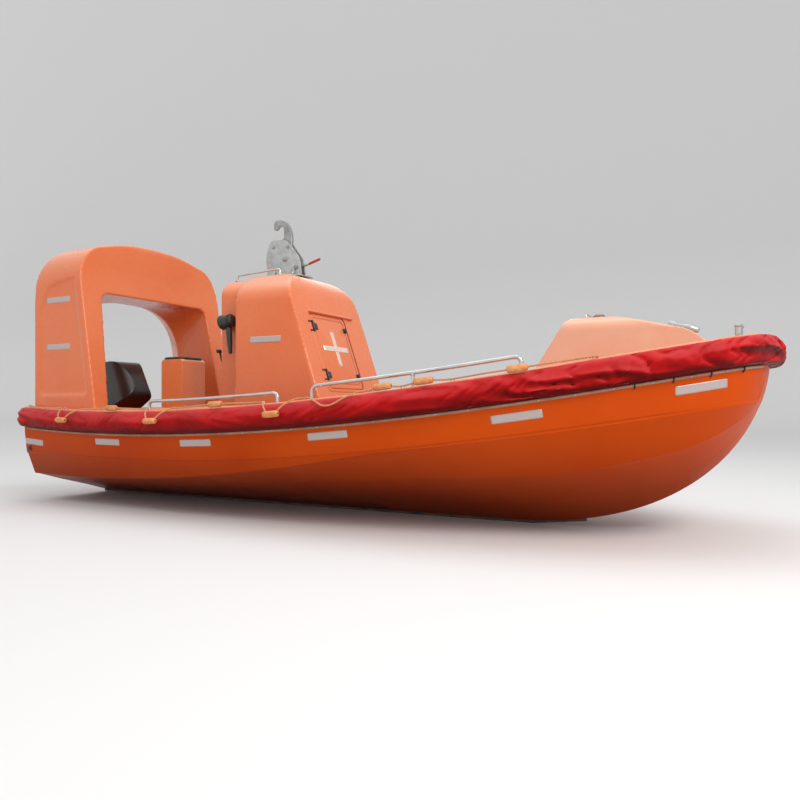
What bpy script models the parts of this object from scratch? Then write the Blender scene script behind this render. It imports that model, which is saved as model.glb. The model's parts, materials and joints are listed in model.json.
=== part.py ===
# Fast rescue boat, 6 m, of fibre-reinforced plastic, with a fabric-covered foam fender,
# a self-righting arch over the stern, a housing with the lifting hook and a tilted outboard motor.
# Metres. X runs forward, Y to port, Z up. The world origin is amidships on the waterline.
# Heights in this script are above the base line, and the empty "base_line" puts them in the world.
import math

import bmesh
import bpy
from mathutils import Matrix, Vector

# Driving dimensions of the boat
LENGTH = 6.00
BEAM = 2.30
DEPTH = 0.87
DRAUGHT = 0.33
GAP = 0.0003
FAR = LENGTH / 3
PAST = 0.1

# Fender, a D section round the gunwale
FENDER_THICK = 0.10
FENDER_HIGH = 0.165
BATTEN_THICK = 0.012
BATTEN_HIGH = 0.022

# Plan form of the gunwale, inside the fender
STERN_X = -(LENGTH / 2 - FENDER_THICK)
STEM_X = LENGTH / 2 - FENDER_THICK
HULL_HALF = BEAM / 2 - FENDER_THICK
STERN_HALF = 0.85
WIDEST_X = -0.16
BOW_JOIN_BACK = 0.60
BOW_JOIN_X = STEM_X - BOW_JOIN_BACK
FENDER_SPLIT_X = WIDEST_X - 0.05
CORNER_INSET = 0.02
BOW_LENGTHWAYS = 2.37
BOW_ACROSS = 3.13

# Sheer line, a parabola with its lowest point aft
SHEER_LOW_X = -1.61
SHEER_SPRING = 0.0219
COAMING = 0.02
SHEER_LOW = DEPTH - COAMING - SHEER_SPRING * SHEER_LOW_X ** 2

# Keel, chine and knuckle
KEEL_Z = 0.04
STEM_RUN = 1.70
FOREFOOT_X = STEM_X - STEM_RUN
CHINE_STERN_Z = 0.25
CHINE_RISE = 0.03
CHINE_FLAT_X = -2.4
CHINE_INSET = 0.10
KNUCKLE_Z = 0.44
KNUCKLE_RISE = 0.040
KNUCKLE_FLAT_X = -1.2
KNUCKLE_INSET = 0.02
STRAKE_SHARE = 0.68
STRAKE_BULGE = 0.06
KEEL_HALF = 0.004
BAND_HALF = 0.0035
BAND_THICK = 0.02
BAND_FORE_X = FOREFOOT_X + 0.6

# Stern arch
ARCH_STERN_GAP = 0.10
ARCH_AFT_X = STERN_X + ARCH_STERN_GAP
ARCH_FOOT_LONG = 0.77
ARCH_LEAN = 0.19
ARCH_FOOT_FORE_X = ARCH_AFT_X + ARCH_FOOT_LONG
ARCH_TOP_FORE_X = ARCH_FOOT_FORE_X - ARCH_LEAN
ARCH_TOP_Z = 2.30
ARCH_SHOULDER_DROP = 0.14
ARCH_SHOULDER_Z = ARCH_TOP_Z - ARCH_SHOULDER_DROP
ARCH_HALF = 0.83
ARCH_OPEN_HALF = 0.62
ARCH_OPEN_FOOT_HALF = 0.70
ARCH_OPEN_TOP_Z = 1.81
ARCH_NECK_X = ARCH_AFT_X + 0.20
ARCH_NECK_HALF = 0.67
ARCH_NECK_ROUND = 0.60
ARCH_FLARE = 0.12
ARCH_SHOULDER_ROUND = 0.34
ARCH_OPEN_ROUND = 0.08
ARCH_AFT_ROUND = 0.38
ARCH_FORE_ROUND = 0.12
ARCH_AFT_DROP = 0.16
ARCH_KNEE_DROP = 0.20
ARCH_CROWN_HALF = 0.30
ARCH_CROWN_ROUND = 0.50
ARCH_FLARE_RISE = 0.05

# Deck, cockpit and splash well
DECK_THICK = 0.04
DECK_DROP = 0.005
SOLE_Z = 0.45
COCKPIT_AFT_X = ARCH_FOOT_FORE_X + 0.01
FOREDECK_LONG = 1.42
COCKPIT_FORE_X = STEM_X - FOREDECK_LONG
COCKPIT_HALF = 0.80
COCKPIT_FORE_HALF = 0.52
COCKPIT_TAPER_X = 0.0
COCKPIT_CORNER = 0.16
COCKPIT_BEND = 0.5
COCKPIT_LIP = 0.012
WELL_HALF = 0.40
WELL_BULKHEAD = 0.18
WELL_FORE_X = COCKPIT_AFT_X - WELL_BULKHEAD
WELL_FLOOR_Z = 0.50
TRANSOM_THICK = 0.06
TRANSOM_TOP_Z = 0.64

# Main housing
HOUSE_AFT_X = -0.84
HOUSE_HALF = 0.50
HOUSE_FRONT_X = -0.04
HOUSE_FRONT_Z = 0.90
HOUSE_RAKE = 0.347
HOUSE_TOP_Z = 1.90
HOUSE_SIDE_Z = 1.74
HOUSE_WALL = 0.03
HOUSE_TUMBLE = 0.02
HOUSE_ROOF_HALF = 0.27
HOUSE_ROUND = 0.10
HOUSE_FRONT_ROUND = 0.16
HOUSE_AFT_ROUND = 0.05
DOOR_LOW = 0.97
DOOR_HIGH = 1.56
DOOR_HALF = 0.25
DOOR_MIDDLE_Y = -0.06
DOOR_THICK = 0.022
DOOR_CLEAR = 0.006
DOOR_CORNER = 0.04
LATCH_INSET = 0.03
LATCH_WIDE = 0.045
LATCH_HALF = 0.02
LATCH_OUT = 0.012
HINGE_OUT = 0.008
HINGE_IN = 0.014
HINGE_RADIUS = 0.011
KNUCKLE_HALF = 0.03
EAR_LONG = 0.015
EAR_HALF = 0.0065
EAR_REACH = 0.045

# Helm console, wheel, lever and searchlight
CONSOLE_DEEP = 0.27
CONSOLE_HALF = 0.35
CONSOLE_SIDE_Z = 1.78
CONSOLE_TOP_Z = 1.88
CONSOLE_ROOF_HALF = 0.25
CONSOLE_SIDE_ROUND = 0.06
CONSOLE_ROOF_ROUND = 0.10
WHEEL_Z = 1.22
WHEEL_RADIUS = 0.17
WHEEL_RIM = 0.014
WHEEL_STANDOFF = 0.11
WHEEL_SPOKES = 3
SPOKE_RADIUS = 0.009
HUB_RADIUS = 0.035
HUB_HALF = 0.015
BOSS_RADIUS = 0.03
BOSS_GAP = 0.03
THROTTLE_Y = -0.24
THROTTLE_LOW = 1.10
THROTTLE_HIGH = 1.22
THROTTLE_DEEP = 0.06
THROTTLE_HALF = 0.04
THROTTLE_PIVOT_Z = 1.15
THROTTLE_GRIP_Z = 1.30
THROTTLE_REACH = 0.11
THROTTLE_BAR_RADIUS = 0.008
THROTTLE_GRIP_RADIUS = 0.016
LAMP_Z = 1.52
LAMP_HALF_LONG = 0.06
LAMP_RADIUS = 0.060
LAMP_BACK_RADIUS = 0.045
LAMP_REACH = 0.066
LAMP_BRACKET_HALF = 0.03
LAMP_GRIP_LONG = 0.25

# Helm seat and crew benches
SEAT_X = COCKPIT_AFT_X + 0.15
SEAT_LONG = 0.26
SEAT_HALF = 0.14
SEAT_TOP_Z = 1.29
SEAT_ROUND = 0.03
BENCH_AFT_X = 0.45
BENCH_FORE_X = 1.22
BENCH_WIDE = 0.26
BENCH_HIGH = 0.28
BENCH_CLEAR = 0.004

# Lifting hook on the housing
HOOK_X = -0.70
HOOK_PIN_Z = 2.06
CHEEK_THICK = 0.010
CHEEK_CLEAR = 0.006
HOOK_THICK = 0.030
PIN_RADIUS = 0.014
PIN_CLEAR = 0.0007
PIN_PAST = 0.012
PAD_HALF_LONG = 0.20
PAD_HALF = 0.09
LEVER_BOSS_RADIUS = 0.026
LEVER_ARM_RADIUS = 0.009
LEVER_END_X = 0.33
LEVER_RISE = 0.05
LEVER_X = 0.115
LEVER_Z = 1.985
PAD_THICK = 0.012

# Handrails: gunwale rails and the roof rail
RAIL_RADIUS = 0.0125
RAIL_Y_INSET = 0.07
FLANGE_RADIUS = 0.032
FLANGE_THICK = 0.006
FOOT_SINK = 0.002
RAIL_BEND = 0.05
ROOF_RAIL_Y = -0.20
ROOF_RAIL_AFT_X = -1.06
ROOF_RAIL_FORE_X = -0.62
ROOF_RAIL_LIFT = 0.045
ROOF_RAIL_BEND = 0.02
ROOF_RAIL_RADIUS = 0.009

# Foredeck locker and fittings
LOCKER_AFT_X = COCKPIT_FORE_X + 0.06
LOCKER_TOP_AFT_X = LOCKER_AFT_X + 0.25
LOCKER_STEM_GAP = 0.28
LOCKER_FORE_X = STEM_X - LOCKER_STEM_GAP
LOCKER_FLAT_LONG = 0.22
LOCKER_BREAK_X = LOCKER_TOP_AFT_X + LOCKER_FLAT_LONG
LOCKER_TOP_FORE_X = LOCKER_FORE_X - 0.12
LOCKER_HALF = 0.45
LOCKER_TOP_Z = 1.40
LOCKER_NOSE_Z = 1.28
LOCKER_WALL = 0.025
LOCKER_DOOR_HALF = 0.24
LOCKER_DOOR_TALL = 0.30
LOCKER_HINGE_HEIGHT = 0.08
LOCKER_ROOF_HALF = 0.30
LOCKER_SIDE_DROP = 0.04
LOCKER_AFT_ROUND = 0.04
LOCKER_BREAK_ROUND = 0.30
LOCKER_NOSE_ROUND = 0.08
LAMP_BASE_RADIUS = 0.06
LAMP_BASE_HIGH = 0.02
LAMP_DOME_RADIUS = 0.055
LAMP_TOP_RADIUS = 0.03
LAMP_HIGH = 0.05
PAINTER_HALF = 0.06
PAINTER_PLATE = 0.010
PAINTER_BODY_RADIUS = 0.030
PAINTER_X = LOCKER_TOP_FORE_X - 0.10
BOLLARD_X = STEM_X - 0.17
BOLLARD_POST_Y = 0.05
BOLLARD_POST_RADIUS = 0.020
BOLLARD_CAP_PAST = 0.006
BOLLARD_CAP_HIGH = 0.01
BOLLARD_BASE_HALF_LONG = 0.05
BOLLARD_BASE_HALF = 0.10
BOLLARD_BASE_AFT_HIGH = 0.012
BOLLARD_BASE_FORE_HIGH = 0.020
BOLLARD_BAR_HIGH = 0.07
BOLLARD_BAR_RADIUS = 0.010
BOLLARD_POST_HIGH = 0.13

# Grab line and its floats
LINE_RADIUS = 0.006
FLOAT_RADIUS = 0.022
FLOAT_LONG = 0.12
LINE_CLEAR = 0.009
LINE_LIFT = 0.006
LINE_END = 0.02
SEIZED_ANGLE = 82
BIGHT_DROP = 80
LINE_AFT_X = STERN_X + 0.10
LINE_FORE_X = STEM_X - 0.85
BIGHT_STEPS = 7
# Each bight of the line: where it ends, how far it hangs, and whether it holds a float
BIGHTS = (
    (-2.28, 0.15, False), (-1.94, 1.0, True), (-1.22, 0.15, True), (-0.87, 1.0, True), (-0.12, 0.15, True),
    (0.23, 1.0, True), (0.71, 0.8, False), (0.93, 0.12, True), (1.25, 0.12, True), (LINE_FORE_X, 0.3, True),
)

# Outboard motor, parked tilted up
TILT_X = STERN_X - 0.08
TILT_Z = 0.70
PARK_TILT = math.radians(64)
TILT_TUBE_RADIUS = 0.017
CLAMP_HALF = 0.12
CLAMP_THICK = 0.022
CLAMP_REACH = 0.12
SWIVEL_HALF = 0.085
STEER_AXIS_AFT = 0.07
STEER_SHAFT_RADIUS = 0.014
PROP_AXIS_LOW = 0.74
PLATE_LOW = 0.57
SKEG_LOW = 0.93
COWL_BASE = 0.12
COWL_TOP = 0.66
COWL_HALF = 0.18
COWL_AFT = 0.40
COWL_FORE = 0.06
COWL_CHAMFER = 0.10
PROP_BLADES = 3
PROP_AFT = 0.405
PROP_HUB_RADIUS = 0.036
PROP_HUB_LONG = 0.095
PROP_TAIL_RADIUS = 0.026
CLAMP_LONG = 0.26
EAR_OVERLAP = 0.004
TILT_TUBE_PAST = 0.01
SWIVEL_CLEAR = 0.006
SWIVEL_BODY_HALF = 0.045
SWIVEL_BARREL_RADIUS = 0.033
COLUMN_HALF = 0.045
PLATE_THICK = 0.006
GEARCASE_RADIUS = 0.050
STRUT_HALF = 0.024
SKEG_HALF = 0.006

# Outlines of the motor about its tilt axis: forward, up (across for the plate and the front), corner radius
SWIVEL_OUTLINE = (
    (0.035, 0.035, 0.02), (0.035, -0.03, 0.02), (-0.03, -0.30, 0.02), (-0.105, -0.30, 0.02),
    (-0.105, 0.06, 0.02), (-0.02, 0.06, 0.02),
)
COLUMN_OUTLINE = (
    (-0.145, -PLATE_LOW - 0.05, 0.03), (-0.30, -PLATE_LOW - 0.05, 0.03), (-0.32, COWL_BASE - GAP, 0.0),
    (-0.13, COWL_BASE - GAP, 0.0),
)
PLATE_OUTLINE = ((-0.10, -0.05, 0.04), (-0.10, 0.05, 0.04), (-0.46, 0.09, 0.05), (-0.46, -0.09, 0.05))
STRUT_OUTLINE = (
    (-0.15, -PLATE_LOW - 0.02, 0), (-0.33, -PLATE_LOW - 0.02, 0), (-0.36, -PROP_AXIS_LOW, 0),
    (-0.13, -PROP_AXIS_LOW, 0),
)
SKEG_OUTLINE = (
    (-0.17, -PROP_AXIS_LOW - 0.02, 0), (-0.34, -PROP_AXIS_LOW - 0.02, 0), (-0.36, -SKEG_LOW, 0.02),
    (-0.29, -SKEG_LOW, 0.02),
)
COWL_SIDE = (
    (COWL_FORE, COWL_BASE + COWL_CHAMFER, 0.04), (COWL_FORE - 1.1 * COWL_CHAMFER, COWL_BASE, 0.03),
    (-COWL_AFT, COWL_BASE, 0.03), (-COWL_AFT + 0.02, COWL_TOP - 0.08, 0.14), (-0.20, COWL_TOP, 0.10),
    (COWL_FORE - 0.02, COWL_TOP, 0.08),
)
COWL_FRONT = (
    (-COWL_HALF, COWL_BASE - 0.01, 0), (COWL_HALF, COWL_BASE - 0.01, 0), (COWL_HALF, COWL_TOP - 0.12, 0.10),
    (0.10, COWL_TOP + 0.01, 0.05), (-0.10, COWL_TOP + 0.01, 0.05), (-COWL_HALF, COWL_TOP - 0.12, 0.10),
)
# Yokes of the steering shaft: name, low and high along the leg
YOKES = (("yoke_upper", 0.068, COWL_BASE - 0.004), ("yoke_lower", -0.36, -0.308))

COLOURS = {
    "hull_orange": ((0.78, 0.16, 0.03), 0.38, 0.0),
    "deck_orange": ((0.80, 0.24, 0.08), 0.45, 0.0),
    "fender_red": ((0.50, 0.01, 0.02), 0.62, 0.0),
    "stainless": ((0.62, 0.62, 0.60), 0.25, 1.0),
    "galvanised": ((0.42, 0.43, 0.42), 0.50, 1.0),
    "black_plastic": ((0.012, 0.012, 0.014), 0.40, 0.0),
    "motor_grey": ((0.05, 0.05, 0.055), 0.35, 0.3),
    "rope": ((0.75, 0.33, 0.08), 0.80, 0.0),
    "batten": ((0.55, 0.42, 0.34), 0.70, 0.0),
}


# Empty the scene and make its two collections
for old in list(bpy.data.objects):
    bpy.data.objects.remove(old, do_unlink=True)
PARTS = bpy.data.collections.new("fast_rescue_boat")
CUTTERS = bpy.data.collections.new("cutters")
bpy.context.scene.collection.children.link(PARTS)
bpy.context.scene.collection.children.link(CUTTERS)


def empty(name, place, turn=(0, 0, 0), parent=None):
    """An empty that carries pieces, at a place and turn in its parent's frame."""
    axis = bpy.data.objects.new(name, None)
    PARTS.objects.link(axis)
    axis.location = place
    axis.rotation_euler = turn
    axis.parent = parent
    return axis


BASE = empty("base_line", (0, 0, -DRAUGHT))


def material(slot):
    """The Principled material of a slot, made once."""
    found = bpy.data.materials.get(slot)
    if found:
        return found
    colour, roughness, metallic = COLOURS[slot]
    new = bpy.data.materials.new(slot)
    new.use_nodes = True
    shader = new.node_tree.nodes["Principled BSDF"]
    shader.inputs["Base Color"].default_value = (*colour, 1)
    shader.inputs["Roughness"].default_value = roughness
    shader.inputs["Metallic"].default_value = metallic
    return new


def finish(name, bm, slot=None, parent=BASE, smooth=None):
    """Turn a bmesh into a part with a material, or into a cutter where slot is None."""
    bmesh.ops.recalc_face_normals(bm, faces=bm.faces)
    mesh = bpy.data.meshes.new(name)
    bm.to_mesh(mesh)
    bm.free()
    piece = bpy.data.objects.new(name, mesh)
    piece.parent = parent
    if slot:
        PARTS.objects.link(piece)
        part_material = material(slot).copy()
        part_material.name = name + "_finish"
        mesh.materials.append(part_material)
    else:
        CUTTERS.objects.link(piece)
        piece.hide_render = True
        piece.display_type = "WIRE"
    if smooth:
        mesh.shade_smooth()
        mesh.set_sharp_from_angle(angle=math.radians(smooth))
    return piece


def combine(piece, tool, operation):
    """Add a boolean of a cutter to a part."""
    step = piece.modifiers.new(operation.lower(), "BOOLEAN")
    step.operation = operation
    step.solver = "EXACT"
    step.object = tool


def rounded(corners, steps=4):
    """Outline points from (a, b, radius) corners, each corner with a radius turned into an arc."""
    points = []
    count = len(corners)
    for index, (a, b, radius) in enumerate(corners):
        here = Vector((a, b))
        if radius <= 0:
            points.append(here)
            continue
        before = (Vector(corners[index - 1][:2]) - here).normalized()
        after = (Vector(corners[(index + 1) % count][:2]) - here).normalized()
        half = before.angle(after) / 2
        centre = here + (before + after).normalized() * radius / math.sin(half)
        first = here + before * radius / math.tan(half) - centre
        last = here + after * radius / math.tan(half) - centre
        sweep = first.angle_signed(last)
        for step in range(steps + 1):
            turn = Matrix.Rotation(-sweep * step / steps, 2)
            points.append(centre + turn @ first)
    return points


def prism(name, outline, across, low, high, slot=None, parent=BASE, smooth=None):
    """Extrude an outline between two distances along the axis that it lies across."""
    order = {"X": (2, 0, 1), "Y": (0, 2, 1), "Z": (0, 1, 2)}[across]

    def lift(*point):
        return tuple(point[index] for index in order)

    bm = bmesh.new()
    face = bm.faces.new([bm.verts.new(lift(a, b, low)) for a, b in outline])
    grown = bmesh.ops.extrude_face_region(bm, geom=[face])
    moved = [item for item in grown["geom"] if isinstance(item, bmesh.types.BMVert)]
    bmesh.ops.translate(bm, verts=moved, vec=Vector(lift(0, 0, high - low)))
    return finish(name, bm, slot, parent, smooth)


def box(name, low, high, slot=None, parent=BASE):
    """A box between two corners."""
    bm = bmesh.new()
    middle = (Vector(low) + Vector(high)) / 2
    size = Vector(high) - Vector(low)
    bmesh.ops.create_cube(bm, size=1, matrix=Matrix.Translation(middle) @ Matrix.Diagonal((*size, 1)))
    return finish(name, bm, slot, parent)


def cylinder(name, start, end, radius, slot=None, parent=BASE, end_radius=None, sides=16):
    """A cylinder or cone between two points."""
    bm = bmesh.new()
    along = Vector(end) - Vector(start)
    turn = along.to_track_quat("Z", "Y").to_matrix().to_4x4()
    place = Matrix.Translation((Vector(start) + Vector(end)) / 2) @ turn
    bmesh.ops.create_cone(bm, cap_ends=True, segments=sides, radius1=radius,
                          radius2=radius if end_radius is None else end_radius,
                          depth=along.length, matrix=place)
    return finish(name, bm, slot, parent, smooth=40)


def tube(name, points, radius, slot=None, parent=BASE, closed=False, resolution=2):
    """A round bar along points, made as a bevelled curve and turned into a closed mesh."""
    curve = bpy.data.curves.new(name, "CURVE")
    curve.dimensions = "3D"
    curve.bevel_depth = radius
    curve.bevel_resolution = resolution
    curve.use_fill_caps = True
    spline = curve.splines.new("POLY")
    spline.points.add(len(points) - 1)
    for point, place in zip(spline.points, points):
        point.co = (*place, 1)
    spline.use_cyclic_u = closed
    wire = bpy.data.objects.new(name + "_wire", curve)
    CUTTERS.objects.link(wire)
    seen = wire.evaluated_get(bpy.context.evaluated_depsgraph_get())
    mesh = bpy.data.meshes.new_from_object(seen)
    bm = bmesh.new()
    bm.from_mesh(mesh)
    bmesh.ops.remove_doubles(bm, verts=bm.verts, dist=0.00005)
    bpy.data.objects.remove(wire, do_unlink=True)
    bpy.data.meshes.remove(mesh)
    return finish(name, bm, slot, parent, smooth=50)


def loft(name, rings, slot=None, parent=BASE, smooth=None):
    """A closed body through rings of equally many points, with its two ends filled."""
    bm = bmesh.new()
    rows = [[bm.verts.new(point) for point in ring] for ring in rings]
    for one, two in zip(rows, rows[1:]):
        for index in range(len(one)):
            other = (index + 1) % len(one)
            bm.faces.new((one[index], one[other], two[other], two[index]))
    bm.faces.new(rows[0])
    bm.faces.new(rows[-1])
    bmesh.ops.triangulate(bm, faces=bm.faces)
    return finish(name, bm, slot, parent, smooth)


# Lines of the hull
def sheer(x):
    """Height of the gunwale."""
    return SHEER_LOW + SHEER_SPRING * (x - SHEER_LOW_X) ** 2


def plan_half(x, half=HULL_HALF, stern=STERN_HALF, stem=STEM_X):
    """Half breadth of a waterline with a superellipse bow and a parabola aft."""
    if x <= WIDEST_X:
        return half - (half - stern) * ((WIDEST_X - x) / (WIDEST_X - STERN_X)) ** 2
    share = min((x - WIDEST_X) / (stem - WIDEST_X), 1)
    return half * (1 - share ** BOW_LENGTHWAYS) ** (1 / BOW_ACROSS)


def keel(x):
    """Height of the keel, which sweeps up into the stem."""
    if x <= FOREFOOT_X:
        return KEEL_Z
    share = min((x - FOREFOOT_X) / (STEM_X - FOREFOOT_X), 1)
    return KEEL_Z + (sheer(STEM_X) - FENDER_HIGH / 2 - KEEL_Z) * (1 - math.sqrt(1 - share ** 2.5))


def stem_at(height):
    """How far forward the stem is at a height."""
    low, high = FOREFOOT_X, STEM_X
    for _ in range(30):
        middle = (low + high) / 2
        low, high = (middle, high) if keel(middle) < height else (low, middle)
    return low


def knuckle_height(x):
    """Height of the knuckle, flat aft and rising towards the stem."""
    return KNUCKLE_Z + KNUCKLE_RISE * max(x - KNUCKLE_FLAT_X, 0) ** 1.7


def chine_height(x):
    """Height of the chine, which stays under the knuckle."""
    low = CHINE_STERN_Z + CHINE_RISE * max(x - CHINE_FLAT_X, 0) ** 2
    return min(low, knuckle_height(x) - 0.02)


# Stations from the transom to the stem, closer together where the bow turns
STATION_SHARES = (0, 0.09, 0.19, 0.29, 0.39, 0.49, 0.58, 0.67, 0.745, 0.81, 0.865, 0.91, 0.945, 0.97, 0.988,
                  0.997, 0.9995)
STATIONS = [STERN_X + (STEM_X - STERN_X) * share for share in STATION_SHARES]


def along_stations(x, values):
    """A value at x on the straight runs between stations, as the lofted meshes have it."""
    for (x0, v0), (x1, v1) in zip(zip(STATIONS, values), zip(STATIONS[1:], values[1:])):
        if x <= x1:
            return v0 + (v1 - v0) * (x - x0) / (x1 - x0)
    return values[-1]


def deck_height(x):
    """Top of the deck at x."""
    return along_stations(x, [sheer(s) for s in STATIONS]) - DECK_DROP


def seat_height(x, reach):
    """Height at which a flat foot of a given reach stands on the sloping deck."""
    return max(deck_height(x - reach), deck_height(x + reach)) + GAP


def gunwale_half(x):
    """Half breadth of the deck edge at x."""
    return along_stations(x, [plan_half(s) for s in STATIONS])


def hull_section(x):
    """Half a section from the keel up: keel, strake, chine, knuckle, gunwale and deck underside."""
    low = keel(x)
    knuckle_z = max(knuckle_height(x), low + 0.030)
    chine_z = max(min(chine_height(x), knuckle_z - 0.012), low + 0.016)
    top = sheer(x) - DECK_DROP - DECK_THICK
    knuckle_y = plan_half(x, HULL_HALF - KNUCKLE_INSET, STERN_HALF - KNUCKLE_INSET, stem_at(knuckle_z))
    knuckle_y = max(knuckle_y, plan_half(x) * 0.35)
    merge = min(max((x - CHINE_FLAT_X) / 3.4, 0), 1)
    chine_y = max(knuckle_y - CHINE_INSET * (1 - merge) - 0.015, knuckle_y * 0.9)
    bulge = STRAKE_BULGE * min(max(x / 1.8, 0), 1) * min(1, (chine_z - low) / 0.4)
    strake = (STRAKE_SHARE * chine_y, max(low + (chine_z - low) * STRAKE_SHARE - bulge, low + 0.008))
    rub = max(top - FENDER_HIGH, knuckle_z + 0.02)
    return [(KEEL_HALF, low), strake, (chine_y, chine_z), (knuckle_y, knuckle_z), (plan_half(x), rub),
            (plan_half(x), top)]


def hull_ring(x):
    """The whole section at x, from the starboard gunwale round the keel to the port one."""
    half = hull_section(x)
    return [(x, -y, z) for y, z in reversed(half)] + [(x, y, z) for y, z in half]


def cockpit_outline(inset):
    """Plan of the cockpit opening, which narrows forward, moved in by a lip."""
    aft, fore = COCKPIT_AFT_X + inset, COCKPIT_FORE_X - inset
    half, fore_half = COCKPIT_HALF - inset, COCKPIT_FORE_HALF - inset
    corner = COCKPIT_CORNER - inset
    return rounded([(aft, -half, corner), (COCKPIT_TAPER_X, -half, COCKPIT_BEND), (fore, -fore_half, corner),
                    (fore, fore_half, corner), (COCKPIT_TAPER_X, half, COCKPIT_BEND), (aft, half, corner)])


def cockpit_half(x):
    """Half breadth of the cockpit forward of where it starts to narrow."""
    share = (x - COCKPIT_TAPER_X) / (COCKPIT_FORE_X - COCKPIT_TAPER_X)
    return COCKPIT_HALF + (COCKPIT_FORE_HALF - COCKPIT_HALF) * max(share, 0)


def build_hull():
    """Foam-filled hull with a keel, two chines, the cockpit recess and the splash well."""
    hull = loft("hull", [hull_ring(x) for x in STATIONS], "hull_orange")
    combine(hull, prism("cockpit_recess", cockpit_outline(0), "Z", SOLE_Z, FAR), "DIFFERENCE")
    well = box("well_recess", (STERN_X + TRANSOM_THICK, -WELL_HALF, WELL_FLOOR_Z),
               (WELL_FORE_X, WELL_HALF, FAR))
    combine(hull, well, "DIFFERENCE")
    notch = box("transom_notch", (STERN_X - PAST, -WELL_HALF, TRANSOM_TOP_Z),
                (STERN_X + TRANSOM_THICK + PAST, WELL_HALF, FAR))
    combine(hull, notch, "DIFFERENCE")


def build_deck():
    """Deck moulding on the hull, with openings over the cockpit and the splash well."""
    rings = []
    for x in STATIONS:
        top = sheer(x) - DECK_DROP
        low = top - DECK_THICK + GAP
        half = plan_half(x)
        rings.append([(x, -half, low), (x, half, low), (x, half, top), (x, -half, top)])
    deck = loft("deck", rings, "deck_orange")
    combine(deck, prism("deck_opening", cockpit_outline(COCKPIT_LIP), "Z", SOLE_Z, FAR), "DIFFERENCE")
    well = box("deck_well", (STERN_X - PAST, -WELL_HALF + COCKPIT_LIP, SOLE_Z),
               (WELL_FORE_X - COCKPIT_LIP, WELL_HALF - COCKPIT_LIP, FAR))
    combine(deck, well, "DIFFERENCE")


def build_keel_band():
    """Stainless rubbing band under the keel."""
    rings = []
    for x in STATIONS:
        if x < BAND_FORE_X:
            top, low = keel(x) - GAP, keel(x) - BAND_THICK
            rings.append([(x, -BAND_HALF, top), (x, BAND_HALF, top), (x, BAND_HALF, low), (x, -BAND_HALF, low)])
    loft("keel_band", rings, "stainless")


def offset_path(points):
    """Points of a plan path with their outward mitre vectors, one unit wide."""
    picked = []
    for index, point in enumerate(points):
        normals = []
        for one, two in ((index - 1, index), (index, index + 1)):
            if one >= 0 and two < len(points):
                along = (Vector(points[two]) - Vector(points[one])).normalized()
                normals.append(Vector((along.y, -along.x)))
        mitre = (normals[0] + normals[-1]).normalized()
        picked.append((Vector(point), mitre / mitre.dot(normals[0])))
    return picked


# Plan path of the gunwale, from the notch round the starboard quarter to the stem and back to port
STARBOARD = [(STERN_X, -(WELL_HALF + CORNER_INSET))] + [(x, -plan_half(x)) for x in STATIONS]
GUNWALE = offset_path(STARBOARD + [(x, -y) for x, y in reversed(STARBOARD)])
HALF_COUNT = len(STARBOARD)
FENDER_JOIN = next(i for i, (x, y) in enumerate(STARBOARD) if x > BOW_JOIN_X)
FENDER_SPLIT = next(i for i, (x, y) in enumerate(STARBOARD) if x > FENDER_SPLIT_X)

# D section of the fender: share of its thickness outwards, share of its height upwards
FENDER_PROFILE = ((0, 0), (0.5, 0.02), (0.86, 0.2), (1, 0.5), (0.86, 0.82), (0.5, 0.98), (0, 1))


def fender_ring(point, mitre):
    """The fender's section at a point of the gunwale."""
    ring = []
    for out, up in FENDER_PROFILE:
        spot = point + mitre * (2 * GAP + out * (FENDER_THICK - 2 * GAP))
        ring.append((spot.x, spot.y, sheer(point.x) - FENDER_HIGH + up * FENDER_HIGH))
    return ring


def mirrored(rings, flip):
    """Rings of points with Y turned over for the port side."""
    return [[(x, y * flip, z) for x, y, z in ring] for ring in rings]


def build_fenders():
    """Fabric-covered foam fender: two lengths on each side, the aft one round the quarter, and the bow."""
    rings = [fender_ring(*spot) for spot in GUNWALE]
    for side, flip in (("starboard", 1), ("port", -1)):
        loft(f"fender_aft_{side}", mirrored(rings[:FENDER_SPLIT + 1], flip), "fender_red", smooth=60)
        fore = rings[FENDER_SPLIT:FENDER_JOIN + 1]
        fore[0] = [(x + GAP, y, z) for x, y, z in fore[0]]
        loft(f"fender_fore_{side}", mirrored(fore, flip), "fender_red", smooth=60)
    bow = rings[FENDER_JOIN:2 * HALF_COUNT - FENDER_JOIN]
    bow[0] = [(x + GAP, y, z) for x, y, z in bow[0]]
    bow[-1] = [(x + GAP, y, z) for x, y, z in bow[-1]]
    loft("fender_bow", bow, "fender_red", smooth=60)


def build_battens():
    """Light battens that clamp the fender cover's lower hem to the hull."""
    for name, flip in (("batten_starboard", 1), ("batten_port", -1)):
        rings = []
        for point, mitre in GUNWALE[1:HALF_COUNT - 1]:
            top = sheer(point.x) - FENDER_HIGH - GAP
            near = point + mitre * GAP
            far = point + mitre * BATTEN_THICK
            rings.append([(near.x, near.y, top), (near.x, near.y, top - BATTEN_HIGH),
                          (far.x, far.y, top - BATTEN_HIGH), (far.x, far.y, top)])
        loft(name, mirrored(rings, flip), "batten")


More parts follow.
